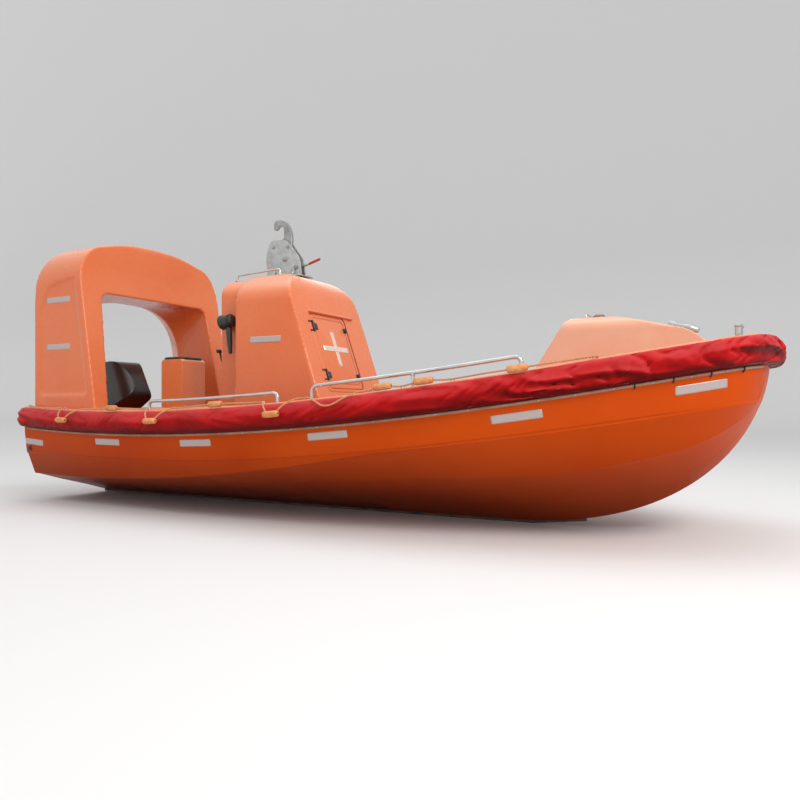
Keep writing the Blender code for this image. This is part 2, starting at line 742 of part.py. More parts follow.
def build_arch():
    """Self-righting arch: a front outline and a side outline that cut each other, with its opening."""
    foot = deck_height(STERN_X) - PAST
    front = rounded([(-ARCH_HALF, foot, 0), (ARCH_HALF, foot, 0),
                     (ARCH_HALF, ARCH_SHOULDER_Z, ARCH_SHOULDER_ROUND),
                     (ARCH_CROWN_HALF, ARCH_TOP_Z, ARCH_CROWN_ROUND),
                     (-ARCH_CROWN_HALF, ARCH_TOP_Z, ARCH_CROWN_ROUND),
                     (-ARCH_HALF, ARCH_SHOULDER_Z, ARCH_SHOULDER_ROUND)], 5)
    arch = prism("stern_arch", front, "X", ARCH_AFT_X - PAST, ARCH_FOOT_FORE_X + PAST, "deck_orange")
    foot_line = [(x, deck_height(x) + GAP) for x in STATIONS if ARCH_AFT_X < x < ARCH_FOOT_FORE_X]
    foot_line = [(ARCH_AFT_X, deck_height(ARCH_AFT_X) + GAP)] + foot_line
    foot_line.append((ARCH_FOOT_FORE_X, deck_height(ARCH_FOOT_FORE_X) + GAP))
    side = [(x, z, 0) for x, z in foot_line]
    side += [(ARCH_TOP_FORE_X, ARCH_SHOULDER_Z - ARCH_KNEE_DROP, 0),
             (ARCH_TOP_FORE_X - 0.02, ARCH_TOP_Z + 0.05, ARCH_FORE_ROUND),
             (ARCH_AFT_X, ARCH_TOP_Z - ARCH_AFT_DROP, ARCH_AFT_ROUND)]
    combine(arch, prism("arch_side", rounded(side, 5), "Y", -1, 1), "INTERSECT")
    mouth_half, mouth_top = ARCH_NECK_HALF + ARCH_FLARE, ARCH_OPEN_TOP_Z + ARCH_FLARE_RISE
    # Sections of the opening: X, half breadth at the foot, half breadth at the top, height, corner
    sections = (
        (ARCH_AFT_X - 0.01, mouth_half, mouth_half, mouth_top, ARCH_NECK_ROUND),
        (ARCH_NECK_X, ARCH_NECK_HALF, ARCH_NECK_HALF, ARCH_OPEN_TOP_Z, ARCH_NECK_ROUND),
        (ARCH_TOP_FORE_X, ARCH_OPEN_FOOT_HALF, ARCH_OPEN_HALF, ARCH_OPEN_TOP_Z, ARCH_OPEN_ROUND),
        (ARCH_FOOT_FORE_X + PAST, ARCH_OPEN_FOOT_HALF, ARCH_OPEN_HALF, ARCH_OPEN_TOP_Z, ARCH_OPEN_ROUND),
    )
    rings = []
    for x, foot_half, half, top, corner in sections:
        ring = rounded([(-foot_half, foot - PAST, 0), (foot_half, foot - PAST, 0), (half, top, corner),
                        (-half, top, corner)], 8)
        rings.append([(x, y, z) for y, z in ring])
    combine(arch, loft("arch_opening", rings), "DIFFERENCE")


def rake_x(z, inset=0.0):
    """X of the housing's raked front face at a height."""
    return HOUSE_FRONT_X - HOUSE_RAKE * (z - HOUSE_FRONT_Z) - inset * math.hypot(1, HOUSE_RAKE)


def house_outlines(inset, floor):
    """Front and side outlines of the housing, moved in by a wall."""
    half = HOUSE_HALF - inset
    top = HOUSE_TOP_Z - inset
    side_z = HOUSE_SIDE_Z - inset
    shoulder = half - HOUSE_TUMBLE
    front = rounded([(-half, floor, 0), (half, floor, 0), (shoulder, side_z, HOUSE_ROUND),
                     (HOUSE_ROOF_HALF, top, HOUSE_ROUND), (-HOUSE_ROOF_HALF, top, HOUSE_ROUND),
                     (-shoulder, side_z, HOUSE_ROUND)], 4)
    aft = HOUSE_AFT_X + inset
    brow = top - 0.02
    side = rounded([(aft, floor, 0), (rake_x(floor, inset), floor, 0),
                    (rake_x(brow, inset), brow, HOUSE_FRONT_ROUND),
                    (aft, top + 0.01, HOUSE_AFT_ROUND)], 4)
    return front, side


def build_housing():
    """Hollow housing under the hook, open below to the sole, with its raked access opening."""
    front, side = house_outlines(0, SOLE_Z + GAP)
    housing = prism("housing", front, "X", HOUSE_AFT_X - PAST, HOUSE_FRONT_X + FAR, "deck_orange")
    combine(housing, prism("housing_side", side, "Y", -BEAM, BEAM), "INTERSECT")
    front, side = house_outlines(HOUSE_WALL, SOLE_Z - PAST)
    room = prism("housing_room", front, "X", HOUSE_AFT_X - PAST, HOUSE_FRONT_X + FAR)
    combine(room, prism("housing_room_side", side, "Y", -BEAM, BEAM), "INTERSECT")
    combine(housing, room, "DIFFERENCE")
    way = leaf_block("hatch_way", HATCH, 2 * DOOR_HALF, HATCH_TALL, 0, -PAST, PAST)
    combine(housing, way, "DIFFERENCE")
    add_ears(housing, HATCH, HATCH_HINGE_HEIGHT)


def face_frame(name, place, normal, up):
    """An empty at a hinge, its X along a face's normal and its Z up the face."""
    normal = Vector(normal).normalized()
    up = (Vector(up) - normal * Vector(up).dot(normal)).normalized()
    turn = Matrix((normal, up.cross(normal), up)).transposed()
    return empty(name, place, turn.to_euler(), BASE)


def leaf_block(name, frame, width, tall, inset, low, high, slot=None):
    """A round-cornered block on a hinge's frame, as wide and tall as a door way less an inset."""
    first = -HINGE_IN + inset
    last = -HINGE_IN + width - inset
    corners = rounded([(first, -tall / 2 + inset, DOOR_CORNER), (last, -tall / 2 + inset, DOOR_CORNER),
                       (last, tall / 2 - inset, DOOR_CORNER), (first, tall / 2 - inset, DOOR_CORNER)], 3)
    return prism(name, corners, "X", low - HINGE_OUT, high - HINGE_OUT, slot, frame)


def build_leaf(name, frame, width, tall, hinge_height):
    """A door leaf hung on a frame's Z axis, with two hinge knuckles and two latches."""
    door = leaf_block(name, frame, width, tall, DOOR_CLEAR, -DOOR_THICK, 0.0, "deck_orange")
    for side in (-1, 1):
        height = side * hinge_height
        knuckle = cylinder(f"{name}_knuckle_{side}", (0, 0, height - KNUCKLE_HALF),
                           (0, 0, height + KNUCKLE_HALF), HINGE_RADIUS, None, frame, sides=10)
        combine(door, knuckle, "UNION")
        latch_y = width - LATCH_INSET
        latch = box(f"{name}_latch_{side}", (-HINGE_OUT - 0.005, latch_y - LATCH_WIDE, height - LATCH_HALF),
                    (LATCH_OUT, latch_y, height + LATCH_HALF), None, frame)
        combine(door, latch, "UNION")


def add_ears(carrier, frame, hinge_height):
    """Fixed hinge ears on a door's carrier, a gap above and below each of the leaf's knuckles."""
    ear = [(-HINGE_OUT - FOOT_SINK, -EAR_REACH), (-HINGE_OUT - FOOT_SINK, -HINGE_IN - FOOT_SINK),
           (-EAR_HALF, -HINGE_IN - FOOT_SINK)]
    ear += [(-EAR_HALF * math.cos(turn), EAR_HALF * math.sin(turn)) for turn in (0, math.pi / 4, math.pi / 2)]
    ear += [(EAR_HALF * math.cos(turn), EAR_HALF * math.sin(turn)) for turn in (math.pi / 4, 0)]
    ear.append((EAR_HALF, -EAR_REACH))
    for side in (-1, 1):
        for end in (-1, 1):
            near = side * hinge_height + end * (KNUCKLE_HALF + GAP)
            low, high = sorted((near, near + end * EAR_LONG))
            name = f"{carrier.name}_ear_{side}_{end}"
            combine(carrier, prism(name, ear, "Z", low, high, None, frame), "UNION")


HATCH_MIDDLE_Z = (DOOR_LOW + DOOR_HIGH) / 2
HATCH_HINGE_HEIGHT = 0.20
HATCH_TALL = (DOOR_HIGH - DOOR_LOW) * math.hypot(1, HOUSE_RAKE)
HATCH_NORMAL = Vector((1, 0, HOUSE_RAKE)).normalized()
HATCH_EDGE = Vector((rake_x(HATCH_MIDDLE_Z), DOOR_MIDDLE_Y - DOOR_HALF + HINGE_IN, HATCH_MIDDLE_Z))
HATCH = face_frame("hatch_hinge", HATCH_EDGE + HATCH_NORMAL * HINGE_OUT, HATCH_NORMAL, (0, 0, 1))


def build_hatch():
    """Access hatch door in the housing's raked face, hung on its starboard edge."""
    build_leaf("hatch_door", HATCH, 2 * DOOR_HALF, HATCH_TALL, HATCH_HINGE_HEIGHT)


def build_console():
    """Helm console on the housing's aft wall, with its wheel, throttle lever and searchlight."""
    aft = HOUSE_AFT_X - GAP
    low = SOLE_Z + GAP
    front = rounded([(-CONSOLE_HALF, low, 0), (CONSOLE_HALF, low, 0),
                     (CONSOLE_HALF, CONSOLE_SIDE_Z, CONSOLE_SIDE_ROUND),
                     (CONSOLE_ROOF_HALF, CONSOLE_TOP_Z, CONSOLE_ROOF_ROUND),
                     (-CONSOLE_ROOF_HALF, CONSOLE_TOP_Z, CONSOLE_ROOF_ROUND),
                     (-CONSOLE_HALF, CONSOLE_SIDE_Z, CONSOLE_SIDE_ROUND)], 3)
    console = prism("helm_console", front, "X", aft - CONSOLE_DEEP, aft, "deck_orange")
    face = aft - CONSOLE_DEEP
    wheel_x = face - WHEEL_STANDOFF
    boss = cylinder("wheel_boss", (face + 0.02, 0, WHEEL_Z), (wheel_x + BOSS_GAP, 0, WHEEL_Z), BOSS_RADIUS)
    combine(console, boss, "UNION")
    rim = []
    for step in range(24):
        angle = 2 * math.pi * (step + 0.5) / 24
        rim.append((wheel_x, WHEEL_RADIUS * math.cos(angle), WHEEL_Z + WHEEL_RADIUS * math.sin(angle)))
    wheel = tube("steering_wheel", rim, WHEEL_RIM, "black_plastic", closed=True)
    centre = (wheel_x, 0, WHEEL_Z)
    for index in range(WHEEL_SPOKES):
        angle = math.pi / 2 + 2 * math.pi * index / WHEEL_SPOKES
        end = (wheel_x, WHEEL_RADIUS * math.cos(angle), WHEEL_Z + WHEEL_RADIUS * math.sin(angle))
        combine(wheel, cylinder(f"spoke_{index}", centre, end, SPOKE_RADIUS, sides=8), "UNION")
    hub = cylinder("wheel_hub", (wheel_x - HUB_HALF, 0, WHEEL_Z), (wheel_x + BOSS_GAP - GAP, 0, WHEEL_Z),
                   HUB_RADIUS)
    combine(wheel, hub, "UNION")
    build_throttle(face)
    build_searchlight(aft - CONSOLE_DEEP / 2)


def build_throttle(face):
    """Throttle lever in its box on the console's aft face."""
    y, grip_x = THROTTLE_Y, face - THROTTLE_REACH
    lever = box("throttle_lever", (face - THROTTLE_DEEP, y - THROTTLE_HALF, THROTTLE_LOW),
                (face - GAP, y + THROTTLE_HALF, THROTTLE_HIGH), "black_plastic")
    bar = cylinder("lever_bar", (face - 0.05, y, THROTTLE_PIVOT_Z), (grip_x, y, THROTTLE_GRIP_Z),
                   THROTTLE_BAR_RADIUS, sides=8)
    combine(lever, bar, "UNION")
    grip = cylinder("lever_grip", (grip_x, y - 0.03, THROTTLE_GRIP_Z), (grip_x, y + 0.03, THROTTLE_GRIP_Z),
                    THROTTLE_GRIP_RADIUS, sides=10)
    combine(lever, grip, "UNION")


def build_searchlight(x):
    """Searchlight with a pistol grip, on its bracket on the console's starboard side."""
    mount = -CONSOLE_HALF - GAP
    y = mount - LAMP_REACH
    back, front = (x + LAMP_HALF_LONG, y, LAMP_Z - 0.01), (x - LAMP_HALF_LONG, y, LAMP_Z + 0.01)
    lamp = cylinder("searchlight", back, front, LAMP_BACK_RADIUS, "black_plastic", end_radius=LAMP_RADIUS)
    bracket = box("lamp_bracket", (x - LAMP_BRACKET_HALF, y, LAMP_Z - LAMP_BRACKET_HALF),
                  (x + LAMP_BRACKET_HALF, mount, LAMP_Z + LAMP_BRACKET_HALF))
    combine(lamp, bracket, "UNION")
    grip = cylinder("lamp_grip", (x, y, LAMP_Z - 0.03), (x + 0.02, y + 0.01, LAMP_Z - LAMP_GRIP_LONG),
                    0.024, end_radius=0.014, sides=10)
    combine(lamp, grip, "UNION")


def build_seats():
    """Helm seat pillar and the crew benches along the cockpit's sides."""
    low = SOLE_Z + GAP
    aft, fore = SEAT_X - SEAT_LONG / 2, SEAT_X + SEAT_LONG / 2
    side = rounded([(aft, low, 0), (fore, low, 0), (fore, SEAT_TOP_Z, SEAT_ROUND),
                    (aft, SEAT_TOP_Z, SEAT_ROUND)], 3)
    prism("helm_seat", side, "Y", -SEAT_HALF, SEAT_HALF, "deck_orange")
    for name, flip in (("crew_bench_starboard", -1), ("crew_bench_port", 1)):
        outer = [(x, cockpit_half(x) - BENCH_CLEAR) for x in (BENCH_AFT_X, BENCH_FORE_X)]
        plan = outer + [(x, y - BENCH_WIDE) for x, y in reversed(outer)]
        prism(name, [(x, y * flip) for x, y in plan], "Z", low, low + BENCH_HIGH, "deck_orange")


# Side view of the hook: forward of its pin, above its pin, corner radius
HOOK_OUTLINE = (
    (0.05, -0.05, 0.04), (0.060, 0.22, 0.06), (-0.01, 0.335, 0.06), (-0.13, 0.335, 0.03),
    (-0.125, 0.255, 0.010), (-0.095, 0.255, 0.010), (-0.070, 0.290, 0.020), (-0.022, 0.270, 0.020),
    (-0.022, 0.175, 0.025), (-0.10, 0.150, 0.015), (-0.10, 0.105, 0.02), (-0.05, 0.09, 0.03),
    (-0.05, -0.05, 0.04),
)


def build_hook():
    """Release hook and release lever between two side plates on a foundation pad."""
    base = HOUSE_TOP_Z + GAP
    pad = box("hook_foundation", (HOOK_X - PAD_HALF_LONG, -PAD_HALF, base),
              (HOOK_X + PAD_HALF_LONG, PAD_HALF, base + PAD_THICK), "galvanised")
    plate_low = base + PAD_THICK - 0.002
    inner = HOOK_THICK / 2 + CHEEK_CLEAR
    outline = rounded([(HOOK_X - 0.18, plate_low, 0), (HOOK_X + 0.17, plate_low, 0),
                       (HOOK_X + 0.15, LEVER_Z + 0.07, 0.04), (HOOK_X + 0.02, HOOK_PIN_Z + 0.16, 0.05),
                       (HOOK_X - 0.15, HOOK_PIN_Z + 0.17, 0.05), (HOOK_X - 0.20, HOOK_PIN_Z + 0.04, 0.05)], 3)
    for name, flip in (("cheek_starboard", -1), ("cheek_port", 1)):
        low, high = sorted((flip * inner, flip * (inner + CHEEK_THICK)))
        combine(pad, prism(name, outline, "Y", low, high), "UNION")
    pins = ((HOOK_X, HOOK_PIN_Z), (HOOK_X + LEVER_X, LEVER_Z))
    for index, (x, z) in enumerate(pins):
        reach = inner + CHEEK_THICK + PIN_PAST
        pin = cylinder(f"hook_pin_{index}", (x, -reach, z), (x, reach, z), PIN_RADIUS, sides=12)
        combine(pad, pin, "UNION")
    shape = rounded([(HOOK_X + x, HOOK_PIN_Z + z, r) for x, z, r in HOOK_OUTLINE], 3)
    hook = prism("release_hook", shape, "Y", -HOOK_THICK / 2, HOOK_THICK / 2, "galvanised")
    boss_x = HOOK_X + LEVER_X
    lever = cylinder("release_lever", (boss_x, -HOOK_THICK / 2, LEVER_Z), (boss_x, HOOK_THICK / 2, LEVER_Z),
                     LEVER_BOSS_RADIUS, "galvanised")
    bar = cylinder("lever_arm", (boss_x + 0.02, 0, LEVER_Z), (HOOK_X + LEVER_END_X, 0, LEVER_Z + LEVER_RISE),
                   LEVER_ARM_RADIUS, sides=8)
    combine(lever, bar, "UNION")
    for piece, (x, z) in zip((hook, lever), pins):
        bore = cylinder(piece.name + "_bore", (x, -PAST, z), (x, PAST, z), PIN_RADIUS + PIN_CLEAR, sides=12)
        combine(piece, bore, "DIFFERENCE")


def rail(name, points, flip, posts=()):
    """A handrail tube with a flange at each foot and under each post between them."""
    spots = [(x, y * flip, z) for x, y, z in points]
    bar = tube(name, spots, RAIL_RADIUS, "stainless", resolution=1)
    feet = [spots[0], spots[-1]]
    for low, high in posts:
        post = cylinder(name + "_post", (low[0], low[1] * flip, low[2] + FOOT_SINK / 2),
                        (high[0], high[1] * flip, high[2]), RAIL_RADIUS, sides=8)
        combine(bar, post, "UNION")
        feet.append((low[0], low[1] * flip, low[2] + FOOT_SINK))
    for x, y, z in feet:
        low = z - FOOT_SINK
        flange = cylinder(name + "_flange", (x, y, low), (x, y, low + FLANGE_THICK), FLANGE_RADIUS, sides=12)
        combine(bar, flange, "UNION")


def bent(start, end, height, bend):
    """Points of a rail from one foot up, along and down to the other, with bends of three points."""
    (x0, y0, z0), (x1, y1, z1) = start, end
    low0, low1 = z0 + FOOT_SINK, z1 + FOOT_SINK
    points = [(x0, y0, low0), (x0, y0, z0 + height - bend)]
    points += [(x0 + bend * 0.3, y0, z0 + height - bend * 0.3), (x0 + bend, y0, z0 + height)]
    for share in (0.25, 0.5, 0.75):
        x = x0 + (x1 - x0) * share
        points.append((x, -gunwale_half(x) + RAIL_Y_INSET, deck_height(x) + height))
    points += [(x1 - bend, y1, z1 + height), (x1 - bend * 0.3, y1, z1 + height - bend * 0.3),
               (x1, y1, z1 + height - bend), (x1, y1, low1)]
    return points


# Gunwale rails: name, aft foot, fore foot, height over the deck, posts between the feet
GUNWALE_RAILS = (
    ("handrail_aft", -1.28, -0.04, 0.085, ()),
    ("handrail_fore", 0.24, LOCKER_AFT_X + 0.10, 0.105, (0.97,)),
)


def build_rails():
    """Handrails along both gunwales."""
    for name, aft, fore, height, middles in GUNWALE_RAILS:
        feet = []
        for x in (aft, fore):
            feet.append((x, -gunwale_half(x) + RAIL_Y_INSET, seat_height(x, FLANGE_RADIUS)))
        points = bent(feet[0], feet[1], height, RAIL_BEND)
        posts = []
        for x in middles:
            ahead = next(index for index, point in enumerate(points) if point[0] > x)
            (x0, y0, z0), (x1, y1, z1) = points[ahead - 1], points[ahead]
            share = (x - x0) / (x1 - x0)
            y = y0 + (y1 - y0) * share
            posts.append(((x, y, seat_height(x, FLANGE_RADIUS)), (x, y, z0 + (z1 - z0) * share)))
        for side, flip in (("starboard", 1), ("port", -1)):
            rail(f"{name}_{side}", points, flip, posts)


LOCKER_SLOPE = (LOCKER_TOP_AFT_X - LOCKER_AFT_X) / (LOCKER_TOP_Z - deck_height(LOCKER_AFT_X))


def locker_outlines(inset, sink):
    """Side and front outlines of the foredeck locker, moved in by a wall."""
    top = LOCKER_TOP_Z - inset
    shift = inset * math.hypot(1, LOCKER_SLOPE)
    aft, fore = LOCKER_AFT_X + shift, LOCKER_FORE_X - inset * 1.5
    between = [x for x in STATIONS if aft < x < fore]
    side = [(x, deck_height(x) + GAP - sink, 0) for x in [aft] + between + [fore]]
    side += [(LOCKER_TOP_FORE_X - inset, LOCKER_NOSE_Z - inset, LOCKER_NOSE_ROUND),
             (LOCKER_BREAK_X, top, LOCKER_BREAK_ROUND),
             (LOCKER_TOP_AFT_X + shift - inset * LOCKER_SLOPE, top, LOCKER_AFT_ROUND)]
    half = LOCKER_HALF - inset
    shoulder = top - LOCKER_SIDE_DROP
    front = [(-half, SOLE_Z, 0), (half, SOLE_Z, 0), (half, shoulder, 0.05), (LOCKER_ROOF_HALF, top, 0.1),
             (-LOCKER_ROOF_HALF, top, 0.1), (-half, shoulder, 0.05)]
    return rounded(side, 3), rounded(front, 3)


LOCKER_NORMAL = Vector((-1, 0, LOCKER_SLOPE)).normalized()
LOCKER_MIDDLE_Z = (LOCKER_TOP_Z + deck_height(LOCKER_AFT_X)) / 2
LOCKER_EDGE = Vector((LOCKER_AFT_X + (LOCKER_MIDDLE_Z - deck_height(LOCKER_AFT_X)) * LOCKER_SLOPE,
                      LOCKER_DOOR_HALF - HINGE_IN, LOCKER_MIDDLE_Z))
LOCKER = face_frame("locker_hinge", LOCKER_EDGE + LOCKER_NORMAL * HINGE_OUT, LOCKER_NORMAL, (0, 0, 1))


def build_locker():
    """Hollow foredeck locker, open below to the deck, with a door in its raked aft face."""
    side, front = locker_outlines(0, 0)
    locker = prism("foredeck_locker", side, "Y", -BEAM, BEAM, "deck_orange")
    combine(locker, prism("locker_front", front, "X", 0, STEM_X), "INTERSECT")
    side, front = locker_outlines(LOCKER_WALL, 0.05)
    room = prism("locker_room", side, "Y", -BEAM, BEAM)
    combine(room, prism("locker_room_front", front, "X", 0, STEM_X), "INTERSECT")
    combine(locker, room, "DIFFERENCE")
    way = leaf_block("locker_way", LOCKER, 2 * LOCKER_DOOR_HALF, LOCKER_DOOR_TALL, 0, -PAST, PAST)
    combine(locker, way, "DIFFERENCE")
    add_ears(locker, LOCKER, LOCKER_HINGE_HEIGHT)
    build_leaf("locker_door", LOCKER, 2 * LOCKER_DOOR_HALF, LOCKER_DOOR_TALL, LOCKER_HINGE_HEIGHT)


def build_fittings():
    """Bow lamp and painter release on the locker, and the bollard ahead of it."""
    top = LOCKER_TOP_Z + GAP
    lamp_x = LOCKER_TOP_AFT_X + 0.09
    lamp = cylinder("bow_lamp", (lamp_x, 0, top), (lamp_x, 0, top + LAMP_BASE_HIGH), LAMP_BASE_RADIUS,
                    "stainless")
    dome = cylinder("lamp_dome", (lamp_x, 0, top + LAMP_BASE_HIGH - FOOT_SINK), (lamp_x, 0, top + LAMP_HIGH),
                    LAMP_DOME_RADIUS, end_radius=LAMP_TOP_RADIUS)
    combine(lamp, dome, "UNION")
    fall = (LOCKER_TOP_Z - LOCKER_NOSE_Z) / (LOCKER_TOP_FORE_X - LOCKER_BREAK_X)
    spot = Vector((PAINTER_X, 0, LOCKER_TOP_Z - fall * (PAINTER_X - LOCKER_BREAK_X)))
    seat = empty("painter_seat", spot + Vector((fall, 0, 1)).normalized() * GAP, (0, math.atan(fall), 0), BASE)
    painter = box("painter_release", (-0.09, -PAINTER_HALF, 0), (0.03, PAINTER_HALF, PAINTER_PLATE),
                  "galvanised", seat)
    body = cylinder("painter_body", (-0.09, 0, 0.035), (0.10, 0, 0.030), PAINTER_BODY_RADIUS, parent=seat)
    combine(painter, body, "UNION")
    build_bollard()


def build_bollard():
    """Double bollard on the deck ahead of the locker, with a cross bar."""
    deck = deck_height(BOLLARD_X)
    aft, fore = BOLLARD_X - BOLLARD_BASE_HALF_LONG, BOLLARD_X + BOLLARD_BASE_HALF_LONG
    base = [(aft, deck_height(aft) + 2 * GAP), (fore, deck_height(fore) + 2 * GAP),
            (fore, deck + BOLLARD_BASE_FORE_HIGH), (aft, deck + BOLLARD_BASE_AFT_HIGH)]
    bollard = prism("bollard", base, "Y", -BOLLARD_BASE_HALF, BOLLARD_BASE_HALF, "galvanised")
    top = deck + BOLLARD_POST_HIGH
    for flip in (-1, 1):
        y = flip * BOLLARD_POST_Y
        post = cylinder(f"post_{flip}", (BOLLARD_X, y, deck + 0.005), (BOLLARD_X, y, top), BOLLARD_POST_RADIUS,
                        sides=12)
        combine(bollard, post, "UNION")
        cap = cylinder(f"post_cap_{flip}", (BOLLARD_X, y, top - BOLLARD_CAP_HIGH), (BOLLARD_X, y, top),
                       BOLLARD_POST_RADIUS + BOLLARD_CAP_PAST, sides=12)
        combine(bollard, cap, "UNION")
    bar_z = deck + BOLLARD_BAR_HIGH
    bar = cylinder("bollard_bar", (BOLLARD_X, -BOLLARD_BASE_HALF, bar_z), (BOLLARD_X, BOLLARD_BASE_HALF, bar_z),
                   BOLLARD_BAR_RADIUS, sides=8)
    combine(bollard, bar, "UNION")


def over_fender(x, out, up):
    """A point out from the gunwale at x and up from the fender's middle, on the starboard side."""
    index = max(i for i, station in enumerate(STATIONS) if station <= x)
    (p0, m0), (p1, m1) = GUNWALE[index + 1:index + 3]
    share = (x - p0.x) / (p1.x - p0.x)
    spot = p0.lerp(p1, share) + m0.lerp(m1, share) * out
    return (spot.x, spot.y, sheer(p0.x) * (1 - share) + sheer(p1.x) * share - FENDER_HIGH / 2 + up)


def line_spot(x, swing, reach):
    """A point of the line round the fender's section: seized at its top, or swung down in a bight."""
    angle = math.radians(SEIZED_ANGLE - BIGHT_DROP * swing)
    return over_fender(x, (FENDER_THICK + reach) * math.cos(angle),
                       (FENDER_HIGH / 2 + reach + LINE_LIFT) * math.sin(angle))


def build_grab_lines():
    """Grab lines that lie in bights over the fender, with foam floats, fast to the deck at both ends."""
    slack = LINE_RADIUS + LINE_CLEAR
    for name, flip in (("grab_line_starboard", 1), ("grab_line_port", -1)):
        points = []
        start_x = LINE_AFT_X
        for end_x, hang, has_float in BIGHTS:
            for step in range(BIGHT_STEPS):
                swing = math.sin(math.pi * step / BIGHT_STEPS) ** 2
                reach = slack + (FLOAT_RADIUS - LINE_RADIUS) * swing * has_float
                points.append(line_spot(start_x + (end_x - start_x) * step / BIGHT_STEPS, swing * hang, reach))
            start_x = end_x
        points.append(line_spot(LINE_FORE_X, 0, slack))
        for x, place in ((LINE_AFT_X - LINE_END, 0), (LINE_FORE_X + LINE_END, len(points) + 2)):
            near, foot = over_fender(x, -LINE_END, 0), points[0 if place == 0 else -1]
            pair = [(x, near[1], seat_height(x, LINE_RADIUS)), (x, near[1], foot[2])]
            points[place:place] = pair if place == 0 else pair[::-1]
        points = [(x, y * flip, z) for x, y, z in points]
        line = tube(name, points, LINE_RADIUS, "rope", resolution=1)
        for bight, (end_x, hang, has_float) in enumerate(BIGHTS):
            if not has_float:
                continue
            # The two foot points come first, then the steps of the bights before this one
            middle_step = 2 + bight * BIGHT_STEPS + BIGHT_STEPS // 2
            before, after = (Vector(point) for point in points[middle_step:middle_step + 2])
            middle = (before + after) / 2
            along = (after - before).normalized() * FLOAT_LONG / 2
            body = cylinder(f"{name}_float_{bight}", middle - along, middle + along, FLOAT_RADIUS, sides=10)
            combine(line, body, "UNION")


TILT = empty("tilt_axis", (TILT_X, 0, TILT_Z), (0, PARK_TILT, 0), BASE)


def build_motor():
    """Outboard motor on the transom, parked tilted up: clamp, swivel bracket, leg, cowl and propeller."""
    build_clamp()
    build_swivel()
    build_leg()
    build_cowl()
    hub = cylinder("propeller", (-PROP_AFT, 0, -PROP_AXIS_LOW), (-PROP_AFT - PROP_HUB_LONG, 0, -PROP_AXIS_LOW),
                   PROP_HUB_RADIUS, "stainless", TILT, end_radius=PROP_TAIL_RADIUS)
    for blade in range(PROP_BLADES):
        spin = 2 * math.pi * blade / PROP_BLADES
        combine(hub, build_blade(f"blade_{blade}", spin), "UNION")


def build_clamp():
    """Clamp bracket over the transom, with two ears that carry the tilt tube."""
    out = STERN_X - GAP
    inside = STERN_X + TRANSOM_THICK + GAP
    top = TRANSOM_TOP_Z + GAP
    low = TRANSOM_TOP_Z - CLAMP_LONG
    plate = out - CLAMP_THICK
    hook = [(out, low), (out, top), (inside, top), (inside, top - CLAMP_REACH),
            (inside + CLAMP_THICK, top - CLAMP_REACH), (inside + CLAMP_THICK, top + CLAMP_THICK),
            (plate, top + CLAMP_THICK), (plate, low)]
    clamp = prism("transom_clamp", hook, "Y", -CLAMP_HALF, CLAMP_HALF, "motor_grey")
    reach = CLAMP_HALF + TILT_TUBE_PAST
    tilt_tube = cylinder("tilt_tube", (TILT_X, -reach, TILT_Z), (TILT_X, reach, TILT_Z), TILT_TUBE_RADIUS,
                         sides=14)
    combine(clamp, tilt_tube, "UNION")
    near = plate + EAR_OVERLAP
    for flip in (-1, 1):
        low, high = sorted((flip * (SWIVEL_HALF + SWIVEL_CLEAR), flip * (CLAMP_HALF - 0.002)))
        ear = rounded([(near, TILT_Z - 0.12, 0), (near, TILT_Z + 0.035, 0.02),
                       (TILT_X - 0.03, TILT_Z + 0.035, 0.02), (TILT_X - 0.03, TILT_Z - 0.035, 0.02)], 3)
        combine(clamp, prism(f"clamp_ear_{flip}", ear, "Y", low, high), "UNION")


def build_swivel():
    """Swivel bracket that turns on the tilt tube and holds the steering shaft."""
    body = rounded(SWIVEL_OUTLINE, 2)
    swivel = prism("swivel_bracket", body, "Y", -SWIVEL_BODY_HALF, SWIVEL_BODY_HALF, "motor_grey", TILT)
    barrel = cylinder("swivel_barrel", (0, -SWIVEL_HALF, 0), (0, SWIVEL_HALF, 0), SWIVEL_BARREL_RADIUS,
                      parent=TILT)
    combine(swivel, barrel, "UNION")
    bore = cylinder("tilt_bore", (0, -CLAMP_HALF, 0), (0, CLAMP_HALF, 0), TILT_TUBE_RADIUS + PIN_CLEAR,
                    parent=TILT)
    combine(swivel, bore, "DIFFERENCE")
    steer = -STEER_AXIS_AFT
    bore = cylinder("steer_bore", (steer, 0, -0.5), (steer, 0, 0.2), STEER_SHAFT_RADIUS + PIN_CLEAR,
                    parent=TILT, sides=12)
    combine(swivel, bore, "DIFFERENCE")


